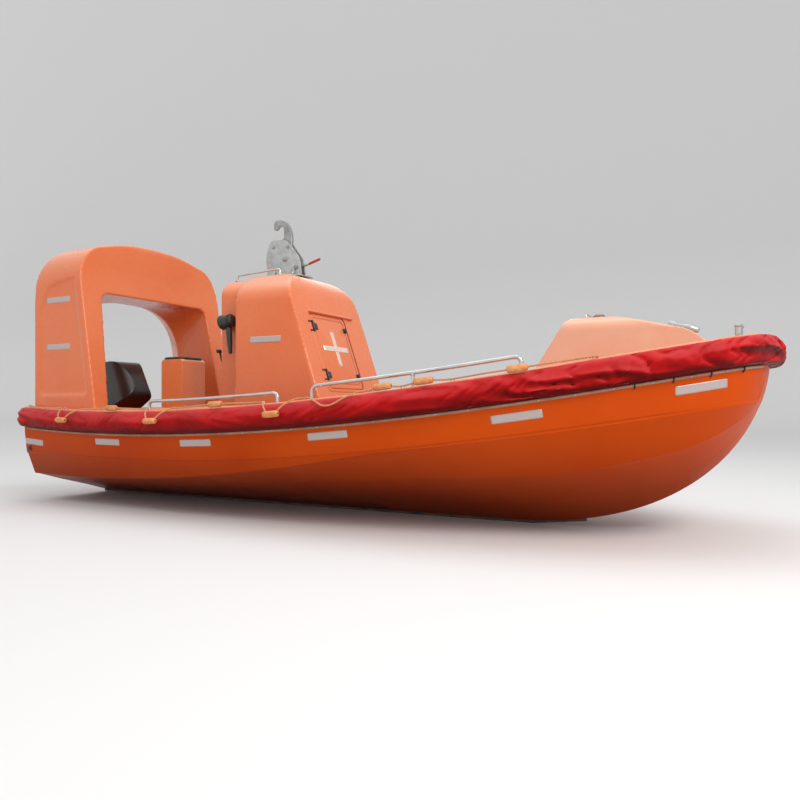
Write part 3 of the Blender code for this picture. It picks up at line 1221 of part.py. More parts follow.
def build_leg():
    """Leg under the cowl, with its steering shaft and yokes, cavitation plate, gearcase and skeg."""
    leg = prism("motor_leg", rounded(COLUMN_OUTLINE, 3), "Y", -COLUMN_HALF, COLUMN_HALF, "motor_grey", TILT)
    steer = -STEER_AXIS_AFT
    for name, low, high in YOKES:
        arm = box(name, (-0.20, -0.04, low), (steer + 0.035, 0.04, high), None, TILT)
        combine(leg, arm, "UNION")
    shaft = cylinder("steer_shaft", (steer, 0, -0.34), (steer, 0, COWL_BASE - 0.01), STEER_SHAFT_RADIUS,
                     parent=TILT, sides=12)
    combine(leg, shaft, "UNION")
    plate = prism("cavitation_plate", rounded(PLATE_OUTLINE, 3), "Z", -PLATE_LOW - PLATE_THICK, -PLATE_LOW,
                  None, TILT)
    combine(leg, plate, "UNION")
    bullet = cylinder("gearcase", (-0.14, 0, -PROP_AXIS_LOW), (-PROP_AFT + GAP, 0, -PROP_AXIS_LOW),
                      GEARCASE_RADIUS, parent=TILT)
    combine(leg, bullet, "UNION")
    nose = cylinder("gearcase_nose", (-0.05, 0, -PROP_AXIS_LOW), (-0.150, 0, -PROP_AXIS_LOW), 0.012,
                    parent=TILT, end_radius=GEARCASE_RADIUS - 0.002)
    combine(leg, nose, "UNION")
    fins = (("gearcase_strut", STRUT_OUTLINE, STRUT_HALF), ("skeg", SKEG_OUTLINE, SKEG_HALF))
    for name, outline, half in fins:
        combine(leg, prism(name, rounded(outline, 2), "Y", -half, half, None, TILT), "UNION")


def build_cowl():
    """Cowl over the powerhead: a side outline cut by a front one."""
    cowl = prism("motor_cowl", rounded(COWL_SIDE, 5), "Y", -COWL_HALF, COWL_HALF, "black_plastic", TILT)
    combine(cowl, prism("cowl_front", rounded(COWL_FRONT, 4), "X", -FAR, FAR, None, TILT), "INTERSECT")


# Sections of a propeller blade: radius, chord, pitch angle in degrees
BLADE_SECTIONS = ((0.024, 0.050, 62), (0.070, 0.105, 42), (0.115, 0.095, 30), (0.140, 0.040, 25))


def build_blade(name, spin):
    """One twisted blade, lofted through a few thin sections."""
    rings = []
    for radius, chord, pitch in BLADE_SECTIONS:
        ring = []
        for along, thick in ((-0.5, 0), (0, 0.5), (0.5, 0), (0, -0.5)):
            run = along * chord
            lift = thick * 0.007
            x = run * math.sin(math.radians(pitch)) + lift * math.cos(math.radians(pitch))
            y = run * math.cos(math.radians(pitch)) - lift * math.sin(math.radians(pitch))
            ring.append((-PROP_AFT - 0.045 + x, y * math.cos(spin) - radius * math.sin(spin),
                         -PROP_AXIS_LOW + y * math.sin(spin) + radius * math.cos(spin)))
        rings.append(ring)
    return loft(name, rings, None, TILT)


def build_roof_rail():
    """Low grab rail along the starboard side of the roof."""
    y, bend = ROOF_RAIL_Y, ROOF_RAIL_BEND
    aft, fore = ROOF_RAIL_AFT_X, ROOF_RAIL_FORE_X
    aft_top, fore_top = CONSOLE_TOP_Z + ROOF_RAIL_LIFT, HOUSE_TOP_Z + ROOF_RAIL_LIFT
    points = [(aft, y, CONSOLE_TOP_Z + 2 * GAP), (aft, y, aft_top - bend), (aft + bend, y, aft_top),
              (fore - bend, y, fore_top), (fore, y, fore_top - bend), (fore, y, HOUSE_TOP_Z + 2 * GAP)]
    tube("roof_rail", points, ROOF_RAIL_RADIUS, "stainless", resolution=1)


build_hull()
build_deck()
build_keel_band()
build_fenders()
build_battens()
build_arch()
build_housing()
build_hatch()
build_console()
build_seats()
build_hook()
build_rails()
build_locker()
build_fittings()
build_grab_lines()
build_motor()
build_roof_rail()
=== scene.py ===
# Fast rescue boat of fibre-reinforced plastic, six metres, dressed in the order in which it is put together.
# Heights are written above the base line of the hull, and the frame's origin is at the waterline.
import json
import math

import bmesh
import bpy
from mathutils import Matrix, Vector, noise
from mathutils.bvhtree import BVHTree

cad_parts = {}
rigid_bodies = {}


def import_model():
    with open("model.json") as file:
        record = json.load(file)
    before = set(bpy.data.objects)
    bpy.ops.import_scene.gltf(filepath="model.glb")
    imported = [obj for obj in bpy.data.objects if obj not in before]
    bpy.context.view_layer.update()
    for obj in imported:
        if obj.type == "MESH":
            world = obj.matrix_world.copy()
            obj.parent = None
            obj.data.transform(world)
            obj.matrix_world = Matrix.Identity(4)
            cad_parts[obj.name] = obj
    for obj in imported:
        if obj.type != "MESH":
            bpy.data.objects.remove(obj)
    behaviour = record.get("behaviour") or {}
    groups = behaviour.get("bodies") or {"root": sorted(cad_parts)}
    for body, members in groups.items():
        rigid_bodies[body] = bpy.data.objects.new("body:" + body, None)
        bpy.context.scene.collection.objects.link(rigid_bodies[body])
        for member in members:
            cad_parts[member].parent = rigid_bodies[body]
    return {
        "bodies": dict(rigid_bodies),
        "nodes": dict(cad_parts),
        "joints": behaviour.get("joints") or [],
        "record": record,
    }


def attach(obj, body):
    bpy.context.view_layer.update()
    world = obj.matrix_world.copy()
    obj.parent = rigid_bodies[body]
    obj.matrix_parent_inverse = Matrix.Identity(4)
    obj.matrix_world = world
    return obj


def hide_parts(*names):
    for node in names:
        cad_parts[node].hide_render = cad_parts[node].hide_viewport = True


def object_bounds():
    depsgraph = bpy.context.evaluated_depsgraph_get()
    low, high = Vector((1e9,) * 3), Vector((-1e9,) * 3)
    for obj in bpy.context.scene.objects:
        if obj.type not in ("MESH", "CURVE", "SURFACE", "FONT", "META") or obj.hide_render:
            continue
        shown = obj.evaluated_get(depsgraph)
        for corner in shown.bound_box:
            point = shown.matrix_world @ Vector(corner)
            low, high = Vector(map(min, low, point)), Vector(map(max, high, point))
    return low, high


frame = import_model()
cad_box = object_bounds()


# Studio
# A pale seamless floor that curves up behind the boat, just under the keel, with soft boxes
# overhead, ahead and to starboard, as the boat is lit from over its bow.
KEEL_REST = cad_box[0][2]
FLOOR_DROP = 0.004
SWEEP_BACK = 22.0
SWEEP_RADIUS = 8.0
SWEEP_HALF = 60.0
SWEEP_FRONT = 60.0
SWEEP_TOP = 40.0
SWEEP_STEPS = 12
FLOOR_COLOUR = (0.68, 0.68, 0.68)


def standing(name, bm):
    """A shape as an object in the scene."""
    mesh = bpy.data.meshes.new(name)
    bm.to_mesh(mesh)
    bm.free()
    piece = bpy.data.objects.new(name, mesh)
    bpy.context.scene.collection.objects.link(piece)
    return piece


def new_paint(name, fixed):
    """A new material with its nodes, links and shader, and the shader's own fixed values."""
    made = bpy.data.materials.new(name)
    made.use_nodes = True
    nodes, links = made.node_tree.nodes, made.node_tree.links
    shader = nodes["Principled BSDF"]
    for socket, value in fixed.items():
        shader.inputs[socket].default_value = value
    return made, nodes, links, shader


sweep = [(-SWEEP_FRONT, 0.0)]
for step in range(SWEEP_STEPS + 1):
    turn = math.pi / 2 * step / SWEEP_STEPS
    sweep.append((SWEEP_BACK + SWEEP_RADIUS * math.sin(turn), SWEEP_RADIUS * (1 - math.cos(turn))))
sweep.append((SWEEP_BACK + SWEEP_RADIUS, SWEEP_TOP))
ground = bmesh.new()
rows = [[ground.verts.new((side, y, z + KEEL_REST - FLOOR_DROP)) for side in (-SWEEP_HALF, SWEEP_HALF)]
        for y, z in sweep]
for one, two in zip(rows, rows[1:]):
    ground.faces.new((one[0], one[1], two[1], two[0]))
floor = standing("studio_floor", ground)
floor.data.shade_smooth()
floor.data.materials.append(new_paint("studio_floor", {"Base Color": (*FLOOR_COLOUR, 1), "Roughness": 0.85,
                                                       "Specular IOR Level": 0.15})[0])

world = bpy.context.scene.world or bpy.data.worlds.new("studio")
bpy.context.scene.world = world
world.use_nodes = True
world.node_tree.nodes["Background"].inputs["Color"].default_value = (1.0, 1.0, 1.0, 1)
world.node_tree.nodes["Background"].inputs["Strength"].default_value = 0.95

bpy.context.scene.view_settings.view_transform = "Standard"

# Soft boxes: name, place, aim, size, power, colour
SOFT_BOXES = (
    ("bow_box", (6.5, -3.6, 5.2), (0.0, 0.0, 0.5), (4.0, 3.0), 360, (1.0, 0.97, 0.93)),
    ("sky_box", (-0.5, 0.0, 7.0), (-0.5, 0.0, 0.0), (8.0, 5.0), 150, (0.97, 0.98, 1.0)),
    ("side_box", (0.5, -8.5, 1.6), (0.0, 0.0, 0.6), (6.0, 2.5), 10, (1.0, 0.98, 0.96)),
    ("back_box", (-3.0, 7.0, 5.0), (-0.5, 0.0, 0.6), (5.0, 3.0), 60, (1.0, 1.0, 1.0)),
)
for name, place, aim, size, power, colour in SOFT_BOXES:
    lamp = bpy.data.lights.new(name, "AREA")
    lamp.shape = "RECTANGLE"
    lamp.size, lamp.size_y = size
    lamp.energy = power
    lamp.color = colour
    holder = bpy.data.objects.new(name, lamp)
    holder.location = place
    holder.rotation_euler = (Vector(aim) - Vector(place)).to_track_quat("-Z", "Y").to_euler()
    bpy.context.scene.collection.objects.link(holder)


# Camera
# It stands off the starboard bow at the height of the fender, level, at the angle of the photograph.
CAMERA_PLACE = (3.046, -4.960, 0.490)
CAMERA_YAW = math.radians(28.355)
CAMERA_LENS = 33.15
HORIZON_SHIFT = 0.0106

camera_data = bpy.data.cameras.new("photo_camera")
camera_data.lens = CAMERA_LENS
camera_data.sensor_width = 36.0
camera_data.shift_y = HORIZON_SHIFT
camera_data.clip_end = 200.0
camera = bpy.data.objects.new("photo_camera", camera_data)
camera.location = CAMERA_PLACE
camera.rotation_euler = (math.pi / 2, 0, CAMERA_YAW)
bpy.context.scene.collection.objects.link(camera)
bpy.context.scene.camera = camera


# Hull
# One glossy orange moulding over foam: a deep vee with spray rails and a knuckle, laid up in a
# mould in one piece. The cockpit recess and the splash well under the motor are part of it.
DRAUGHT = 0.33
LENGTH, BEAM, DEPTH = 6.00, 2.30, 0.87
FENDER_THICK, FENDER_HIGH = 0.10, 0.165
STEM_X = LENGTH / 2 - FENDER_THICK
STERN_X = -STEM_X
HULL_HALF = BEAM / 2 - FENDER_THICK
STERN_HALF = 0.85
WIDEST_X = -0.16
BOW_LENGTHWAYS, BOW_ACROSS = 2.37, 3.13
SHEER_LOW_X, SHEER_SPRING, COAMING = -1.61, 0.0219, 0.02
SHEER_LOW = DEPTH - COAMING - SHEER_SPRING * SHEER_LOW_X ** 2
KEEL_Z, FOREFOOT_X = 0.04, STEM_X - 1.70
DECK_DROP, DECK_THICK = 0.005, 0.04
SOLE_Z, WELL_FLOOR_Z, TRANSOM_TOP_Z = 0.45, 0.50, 0.64
COCKPIT_AFT_X, COCKPIT_FORE_X = STERN_X + 0.88, STEM_X - 1.42
COCKPIT_HALF, COCKPIT_FORE_HALF, COCKPIT_CORNER = 0.80, 0.52, 0.16
WELL_FORE_X, WELL_HALF, TRANSOM_THICK = COCKPIT_AFT_X - 0.18, 0.40, 0.06
HULL_STATIONS = 120
BASE = Matrix.Translation((0, 0, -DRAUGHT))


def sheer(x):
    """Height of the gunwale at x."""
    return SHEER_LOW + SHEER_SPRING * (x - SHEER_LOW_X) ** 2


def deck_height(x):
    """Height of the deck's edge at x."""
    return sheer(x) - DECK_DROP


def plan_half(x, half=HULL_HALF, stern=STERN_HALF, stem=STEM_X):
    """Half breadth of a waterline: a parabola aft and a superellipse in the bow."""
    if x <= WIDEST_X:
        return half - (half - stern) * ((WIDEST_X - x) / (WIDEST_X - STERN_X)) ** 2
    share = min((x - WIDEST_X) / (stem - WIDEST_X), 1)
    return half * (1 - share ** BOW_LENGTHWAYS) ** (1 / BOW_ACROSS)


def keel(x):
    """Height of the keel, which sweeps up into the stem."""
    share = min(max(x - FOREFOOT_X, 0) / (STEM_X - FOREFOOT_X), 1)
    return KEEL_Z + (sheer(STEM_X) - FENDER_HIGH / 2 - KEEL_Z) * (1 - math.sqrt(1 - share ** 2.5))


def stem_at(height):
    """How far forward the stem is at a height."""
    low, high = FOREFOOT_X, STEM_X
    for _ in range(30):
        middle = (low + high) / 2
        low, high = (middle, high) if keel(middle) < height else (low, middle)
    return low


def softened(points, radius, steps=3, closed=False):
    """A polyline with each corner turned into a small curve that starts a radius before it."""
    picked = []
    points = [Vector(point) for point in points]
    count = len(points)
    for index, here in enumerate(points):
        if not closed and index in (0, count - 1):
            picked.append(here)
            continue
        before, after = points[index - 1] - here, points[(index + 1) % count] - here
        reach = radius[index] if isinstance(radius, (list, tuple)) else radius
        start = before * min(reach / max(before.length, 1e-6), 0.46)
        end = after * min(reach / max(after.length, 1e-6), 0.46)
        for step in range(steps + 1):
            t = step / steps
            picked.append(here + start * (1 - t) ** 2 + end * t ** 2)
    return picked


def hull_section(x):
    """Half a section from the keel to the deck, with a spray rail, a chine flat and a knuckle step."""
    low = keel(x)
    knuckle_z = max(0.44 + 0.040 * max(x + 1.2, 0) ** 1.7, low + 0.030)
    chine_z = max(min(0.25 + 0.03 * max(x + 2.4, 0) ** 2, knuckle_z - 0.02), low + 0.016)
    top = sheer(x) - DECK_DROP - DECK_THICK
    knuckle_y = plan_half(x, HULL_HALF - 0.02, STERN_HALF - 0.02, stem_at(knuckle_z))
    knuckle_y = max(knuckle_y, plan_half(x) * 0.35)
    merge = min(max((x + 2.4) / 3.4, 0), 1)
    chine_y = max(knuckle_y - 0.10 * (1 - merge) - 0.015, knuckle_y * 0.9)
    bulge = 0.06 * min(max(x / 1.8, 0), 1) * min(1, (chine_z - low) / 0.4)
    rail_y = 0.68 * chine_y
    rail_z = max(low + (chine_z - low) * 0.68 - bulge, low + 0.008)
    rub = max(top - FENDER_HIGH, knuckle_z + 0.02)
    fade = min(max((2.45 - x) / 0.25, 0), 1) * min(max((x - 0.7) / 0.5, 0), 1)
    inner_y, inner_z = 0.38 * rail_y, low + (rail_z - low) * 0.40
    flat = 0.028 * min(max((1.9 - x) / 1.5, 0.1), 1)
    step = 0.012 * min(max((2.75 - x) / 0.4, 0), 1)
    return [(0.004, low), (inner_y, inner_z), (rail_y, rail_z - 0.006 * fade),
            (rail_y + 0.020 * fade + 0.001, rail_z + 0.001), (chine_y - flat, chine_z - 0.004),
            (chine_y + 0.003, chine_z), (knuckle_y - step, knuckle_z - 0.008), (knuckle_y, knuckle_z),
            (plan_half(x), rub), (plan_half(x), top)]


def bow_shares(count):
    """Shares of the length from transom to stem, closer together where the bow turns."""
    return [1 - (1 - step / (count - 1)) ** 2.2 for step in range(count - 1)] + [0.9995]


def skin(rings, caps=(0, -1)):
    """Quads through rings of equally many points, with the first and the last ring filled."""
    bm = bmesh.new()
    rows = [[bm.verts.new(point) for point in ring] for ring in rings]
    count = len(rows[0])
    for one, two in zip(rows, rows[1:]):
        for index in range(count):
            other = (index + 1) % count
            bm.faces.new((one[index], one[other], two[other], two[index]))
    for end in caps:
        bm.faces.new(rows[end])
    return bm


def prism(outline, across, low, high, bevel=0.0, segments=3):
    """A flat outline carried along X, Y or Z, with its edges rounded over."""
    lift = {"X": lambda a, b, c: (c, a, b), "Y": lambda a, b, c: (a, c, b),
            "Z": lambda a, b, c: (a, b, c)}[across]
    bm = bmesh.new()
    face = bm.faces.new([bm.verts.new(lift(point[0], point[1], low)) for point in outline])
    grown = bmesh.ops.extrude_face_region(bm, geom=[face])
    moved = [item for item in grown["geom"] if isinstance(item, bmesh.types.BMVert)]
    bmesh.ops.translate(bm, verts=moved, vec=Vector(lift(0, 0, high - low)))
    if bevel:
        rims = [edge for edge in bm.edges if edge.calc_face_angle(0) > math.radians(50)]
        bmesh.ops.bevel(bm, geom=rims, offset=bevel, segments=segments, profile=0.5, affect="EDGES")
    return bm


def block(low, high, bevel=0.0):
    """A box between two corners, with rounded edges."""
    bm = bmesh.new()
    size = Vector(high) - Vector(low)
    middle = (Vector(low) + Vector(high)) / 2
    bmesh.ops.create_cube(bm, size=1, matrix=Matrix.Translation(middle) @ Matrix.Diagonal((*size, 1)))
    if bevel:
        bmesh.ops.bevel(bm, geom=bm.edges[:], offset=bevel, segments=3, profile=0.5, affect="EDGES")
    return bm


def settled(piece):
    """A piece's shape once its modifiers are applied."""
    mesh = bpy.data.meshes.new_from_object(piece.evaluated_get(bpy.context.evaluated_depsgraph_get()))
    shape = bmesh.new()
    shape.from_mesh(mesh)
    return shape


def carved(bm, *tools, how="DIFFERENCE"):
    """A body with other bodies cut out of it or joined to it."""
    made = []
    for index, each in enumerate((bm, *tools)):
        bmesh.ops.recalc_face_normals(each, faces=each.faces)
        made.append(standing(f"carving_{index}", each))
    for tool in made[1:]:
        step = made[0].modifiers.new("cut", "BOOLEAN")
        step.operation = how
        step.solver = "EXACT"
        step.object = tool
    result = settled(made[0])
    for old in made:
        bpy.data.objects.remove(old, do_unlink=True)
    return result


def merged(*shapes):
    """Several shapes as one bmesh."""
    whole = bmesh.new()
    for shape in shapes:
        mesh = bpy.data.meshes.new("part")
        shape.to_mesh(mesh)
        shape.free()
        whole.from_mesh(mesh)
        bpy.data.meshes.remove(mesh)
    return whole


def fit_out(name, bm, paint, body="boat", stands_for=(), angle=32, place=BASE):
    """Put a finished shape in place on its body, with its finish and how far each corner faces up."""
    bm.transform(place)
    bmesh.ops.recalc_face_normals(bm, faces=bm.faces)
    piece = standing(name, bm)
    mesh = piece.data
    mesh.materials.append(paint)
    mesh.shade_smooth()
    mesh.set_sharp_from_angle(angle=math.radians(angle))
    upward = mesh.attributes.new("upward", "FLOAT", "CORNER")
    upward.data.foreach_set("value", [normal.vector.z for normal in mesh.corner_normals])
    if stands_for:
        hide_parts(*stands_for)
    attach(piece, body)
    return piece


def add(nodes, kind, fixed=None, **settings):
    """A new node with its settings and fixed inputs: a shader's, unless its kind says what else."""
    made = nodes.new(kind if kind.startswith(("Geometry", "Function", "NodeGroup")) else "ShaderNode" + kind)
    for name, value in settings.items():
        setattr(made, name, value)
    for socket, value in (fixed or {}).items():
        made.inputs[socket].default_value = value
    return made


def wire(links, *runs):
    """Links, each from a node's output to another's input."""
    for source, out, target, into in runs:
        links.new(source.outputs[out], target.inputs[into])


def finish(name, colour, faded, rough, metal=0.0, coat=0.0, patch=1.6, grain=240.0, grain_high=0.0004,
           scuff=0.08, shine=0.5):
    """A surface whose colour drifts to a faded one in patches, with a fine grain and uneven gloss."""
    made, nodes, links, shader = new_paint(name, {"Metallic": metal, "Coat Weight": coat,
                                                  "Coat Roughness": 0.12, "Specular IOR Level": shine})
    spot = add(nodes, "TexCoord")
    drift = add(nodes, "TexNoise", {"Scale": patch, "Detail": 5, "Roughness": 0.6})
    spread = add(nodes, "MapRange", {"From Min": 0.35, "From Max": 0.70})
    blend = add(nodes, "Mix", {"A": (*colour, 1), "B": (*faded, 1)}, data_type="RGBA")
    wear = add(nodes, "TexNoise", {"Scale": patch * 7, "Detail": 6})
    gloss = add(nodes, "MapRange", {"To Min": max(rough - scuff, 0.02), "To Max": rough + scuff})
    fine = add(nodes, "TexNoise", {"Scale": grain, "Detail": 2})
    bump = add(nodes, "Bump", {"Strength": 0.5, "Distance": grain_high})
    wire(links, *((spot, "Object", texture, "Vector") for texture in (drift, wear, fine)),
         (drift, "Fac", spread, "Value"), (spread, "Result", blend, "Factor"),
         (blend, "Result", shader, "Base Color"), (wear, "Fac", gloss, "Value"),
         (gloss, "Result", shader, "Roughness"), (fine, "Fac", bump, "Height"),
         (bump, "Normal", shader, "Normal"))
    return made


def cockpit_outline(inset):
    """Plan of the cockpit opening, which narrows forward of amidships, moved in by a lip."""
    aft, fore = COCKPIT_AFT_X + inset, COCKPIT_FORE_X - inset
    half, fore_half = COCKPIT_HALF - inset, COCKPIT_FORE_HALF - inset
    corners = [COCKPIT_CORNER, 0.2, COCKPIT_CORNER] * 2
    return softened([(aft, -half), (0.0, -half), (fore, -fore_half), (fore, fore_half), (0.0, half), (aft, half)],
                    corners, 8, closed=True)


def shaded_low(paint, low, high, share):
    """Paint shade on a surface towards its foot, darker low down, with an uneven edge."""
    nodes, links = paint.node_tree.nodes, paint.node_tree.links
    shader = nodes["Principled BSDF"]
    unshaded = shader.inputs["Base Color"].links[0].from_socket
    spot = add(nodes, "TexCoord")
    height = add(nodes, "SeparateXYZ")
    waver = add(nodes, "TexNoise", {"Scale": 2.2, "Detail": 4})
    edge = add(nodes, "Math", {1: 0.10}, operation="MULTIPLY_ADD")
    rise = add(nodes, "MapRange", {"From Min": low, "From Max": high, "To Min": share, "To Max": 1.0},
               interpolation_type="SMOOTHSTEP")
    shade = add(nodes, "VectorMath", operation="SCALE")
    wire(links, (spot, "Object", height, "Vector"), (spot, "Object", waver, "Vector"), (waver, "Fac", edge, 0),
         (height, "Z", edge, 2), (edge, "Value", rise, "Value"))
    links.new(unshaded, shade.inputs[0])
    wire(links, (rise, "Result", shade, "Scale"), (shade, "Vector", shader, "Base Color"))


HULL_PAINT = finish("hull_gelcoat", (0.50, 0.052, 0.002), (0.55, 0.068, 0.004), 0.36, coat=0.0, patch=0.9,
                    grain=60, grain_high=0.0003, shine=0.05)
# painted shade: the hull's colour darkens towards the keel, standing for the shade low on the hull
shaded_low(HULL_PAINT, -0.20, 0.42, 0.42)
stations = [STERN_X + (STEM_X - STERN_X) * share for share in bow_shares(HULL_STATIONS)]
hull_rings = []
for x in stations:
    half = softened(hull_section(x), 0.006, 2)
    hull_rings.append([(x, -y, z) for y, z in reversed(half)] + [(x, y, z) for y, z in half])
cutters = [
    prism(cockpit_outline(0), "Z", SOLE_Z, LENGTH),
    block((STERN_X + TRANSOM_THICK, -WELL_HALF, WELL_FLOOR_Z), (WELL_FORE_X, WELL_HALF, LENGTH), 0.03),
    block((STERN_X - 0.1, -WELL_HALF, TRANSOM_TOP_Z), (STERN_X + 0.2, WELL_HALF, LENGTH)),
]
fit_out("hull_moulding", carved(skin(hull_rings), *cutters), HULL_PAINT, stands_for=["hull"],
        angle=24)

keel_strip = bpy.context.scene.objects["keel_band"]
KEEL_STEEL = finish("keel_steel", (0.035, 0.028, 0.025), (0.11, 0.06, 0.045), 0.55, metal=0.6, patch=9,
                    grain=220, scuff=0.15)
keel_strip.data.materials.clear()
keel_strip.data.materials.append(KEEL_STEEL)


# Deck
# A second glossy moulding dropped on the hull, with a rounded gunwale, a raised rim round the
# cockpit against water, and moulded anti-slip panels where people step.
def sheen_on_top(paint, pale, share):
    """Paint a paler colour where a surface faces up: a painted sheen of the light from above."""
    nodes, links = paint.node_tree.nodes, paint.node_tree.links
    shader = nodes["Principled BSDF"]
    fresh = shader.inputs["Base Color"].links[0].from_socket
    # painted sheen: corners that face up are mixed towards the pale colour
    upward = add(nodes, "Attribute", attribute_name="upward")
    amount = add(nodes, "Math", {1: share}, operation="MULTIPLY", use_clamp=True)
    top_sheen = add(nodes, "Mix", {"B": (*pale, 1)}, data_type="RGBA")
    wire(links, (upward, "Fac", amount, 0), (amount, "Value", top_sheen, "Factor"))
    links.new(fresh, top_sheen.inputs["A"])
    wire(links, (top_sheen, "Result", shader, "Base Color"))
    return paint


# painted sheen: the deck's gelcoat is mixed towards a paler colour where it faces up
DECK_PAINT = sheen_on_top(finish("deck_gelcoat", (0.66, 0.135, 0.034), (0.69, 0.170, 0.055), 0.28, coat=0.25,
                                 patch=1.1, shine=0.35, grain=70, grain_high=0.0005), (0.74, 0.36, 0.22), 0.60)
deck_rings = []
for x in stations:
    edge = plan_half(x) + 0.002
    top = deck_height(x)
    low = top - DECK_THICK
    lip = 0.020 * min(edge / 0.35, 1)
    half = [(edge, low), (edge, top + 0.006), (edge - lip * 0.35, top + 0.016), (edge - lip, top + 0.016),
            (edge - lip * 1.7, top + 0.002), (edge * 0.5, top)]
    if edge < 0.12:
        half = [(edge, low), (edge, top + 0.006), (edge * 0.8, top + 0.016), (edge * 0.6, top + 0.016),
                (edge * 0.4, top + 0.012), (edge * 0.2, top + 0.010)]
    half = softened(half, 0.008, 3)
    deck_rings.append([(x, y, z) for y, z in half] + [(x, -y, z) for y, z in reversed(half)])
deck_cutters = [
    prism(cockpit_outline(0), "Z", 0, LENGTH),
    block((STERN_X - 0.1, -WELL_HALF, 0), (WELL_FORE_X, WELL_HALF, LENGTH)),
]
fit_out("deck_moulding", carved(skin(deck_rings), *deck_cutters), DECK_PAINT,
        stands_for=["deck"], angle=30)

rows = []
for inset, lift in ((-0.030, 0.000), (-0.027, 0.012), (-0.018, COAMING - 0.003), (-0.010, COAMING),
                    (-0.003, COAMING - 0.003), (0.0005, 0.010), (0.0005, -DECK_THICK)):
    rows.append([(point.x, point.y, deck_height(point.x) + lift) for point in cockpit_outline(inset)])
fit_out("cockpit_rim", skin(rows, caps=()), DECK_PAINT, angle=50)

TREAD = finish("deck_tread", (0.62, 0.105, 0.025), (0.66, 0.14, 0.045), 0.62, patch=3.0, grain=420,
               grain_high=0.0012)
TREAD_LIFT, TREAD_THICK = 0.0012, 0.004
TREADS = [
    # kind, aft and fore end, inner and outer edge
    ("side", -1.96, -1.30, 0.835, 0.905), ("side", -1.22, -0.60, 0.835, 0.945),
    ("side", -0.52, 0.10, 0.835, 0.955), ("side", 0.22, 0.85, 0.790, 0.930),
    ("side", 0.95, 1.44, 0.700, 0.880), ("quarter", -2.78, -2.10, 0.46, 0.52),
]
for kind, aft, fore, inner, outer in TREADS:
    for side in (-1, 1):
        corners = softened([(aft, side * inner), (fore, side * inner), (fore, side * outer),
                            (aft, side * outer)], 0.03, 4, closed=True)
        loops = []
        for inset, lift in ((0, TREAD_LIFT), (0, TREAD_THICK * 0.7), (0.003, TREAD_THICK)):
            middle = Vector(((aft + fore) / 2, side * (inner + outer) / 2))
            ring = []
            for point in corners:
                spot = point + (middle - point).normalized() * inset
                ring.append((spot.x, spot.y, deck_height(spot.x) + lift))
            loops.append(ring)
        where = "port" if side > 0 else "starboard"
        name = f"tread_{kind}_{where}_{int(round(fore * 100))}".replace("-", "m")
        fit_out(name, skin(loops, caps=(-1,)), TREAD, angle=40)


# Fenders
# A crimson vinyl-coated fabric cover pulled over soft foam along each side and round the
# quarters. It is laced down along its lower edge, so the cover wrinkles, most at the bow.
FENDER_NODES = ["fender_aft_port", "fender_fore_port", "fender_bow", "fender_fore_starboard",
                "fender_aft_starboard"]
QUARTER_CORNER = 0.11


def fender_cloth():
    """Coated fabric: a woven grain in the cover's own length and girth, dull, with painted shade where it faces
    down.
    """
    made, nodes, links, shader = new_paint("fender_cloth", {"Roughness": 0.46, "Specular IOR Level": 0.06,
                                                            "Sheen Weight": 0.02})
    cover = add(nodes, "UVMap", uv_map="cover")
    weave = add(nodes, "TexWave", {"Scale": 180}, wave_type="BANDS", bands_direction="X")
    weft = add(nodes, "TexWave", {"Scale": 180}, wave_type="BANDS", bands_direction="Y")
    cloth = add(nodes, "Math", operation="MULTIPLY")
    spot = add(nodes, "TexCoord")
    creases = add(nodes, "TexNoise", {"Scale": 26, "Detail": 5})
    stretched = add(nodes, "Mapping", {"Scale": (1.0, 1.0, 0.45)})
    sum_up = add(nodes, "Math", {1: 0.06}, operation="MULTIPLY_ADD")
    bump = add(nodes, "Bump", {"Strength": 0.55, "Distance": 0.004})
    drift = add(nodes, "TexNoise", {"Scale": 4, "Detail": 6})
    shade = add(nodes, "ValToRGB")
    shade.color_ramp.elements[0].position = 0.32
    shade.color_ramp.elements[0].color = (0.30, 0.0025, 0.003, 1)
    shade.color_ramp.elements[1].position = 0.70
    shade.color_ramp.elements[1].color = (0.47, 0.007, 0.008, 1)
    # painted shade: the cover's colour darkens where it faces down, under the fender's belly
    facing = add(nodes, "Attribute", attribute_name="upward")
    unshaded = add(nodes, "MapRange", {"From Min": -0.70, "From Max": 0.10})
    underside_shade = add(nodes, "Mix", {"A": (0.11, 0.0015, 0.0018, 1)}, data_type="RGBA")
    wire(links, (facing, "Fac", unshaded, "Value"), (unshaded, "Result", underside_shade, "Factor"),
         (shade, "Color", underside_shade, "B"), (underside_shade, "Result", shader, "Base Color"), (cover, "UV", weave, "Vector"),
         (cover, "UV", weft, "Vector"), (weave, "Fac", cloth, 0), (weft, "Fac", cloth, 1),
         (spot, "Object", stretched, "Vector"), (stretched, "Vector", creases, "Vector"),
         (spot, "Object", drift, "Vector"), (cloth, "Value", sum_up, 0), (creases, "Fac", sum_up, 2),
         (sum_up, "Value", bump, "Height"), (bump, "Normal", shader, "Normal"), (drift, "Fac", shade, "Fac"))
    return made


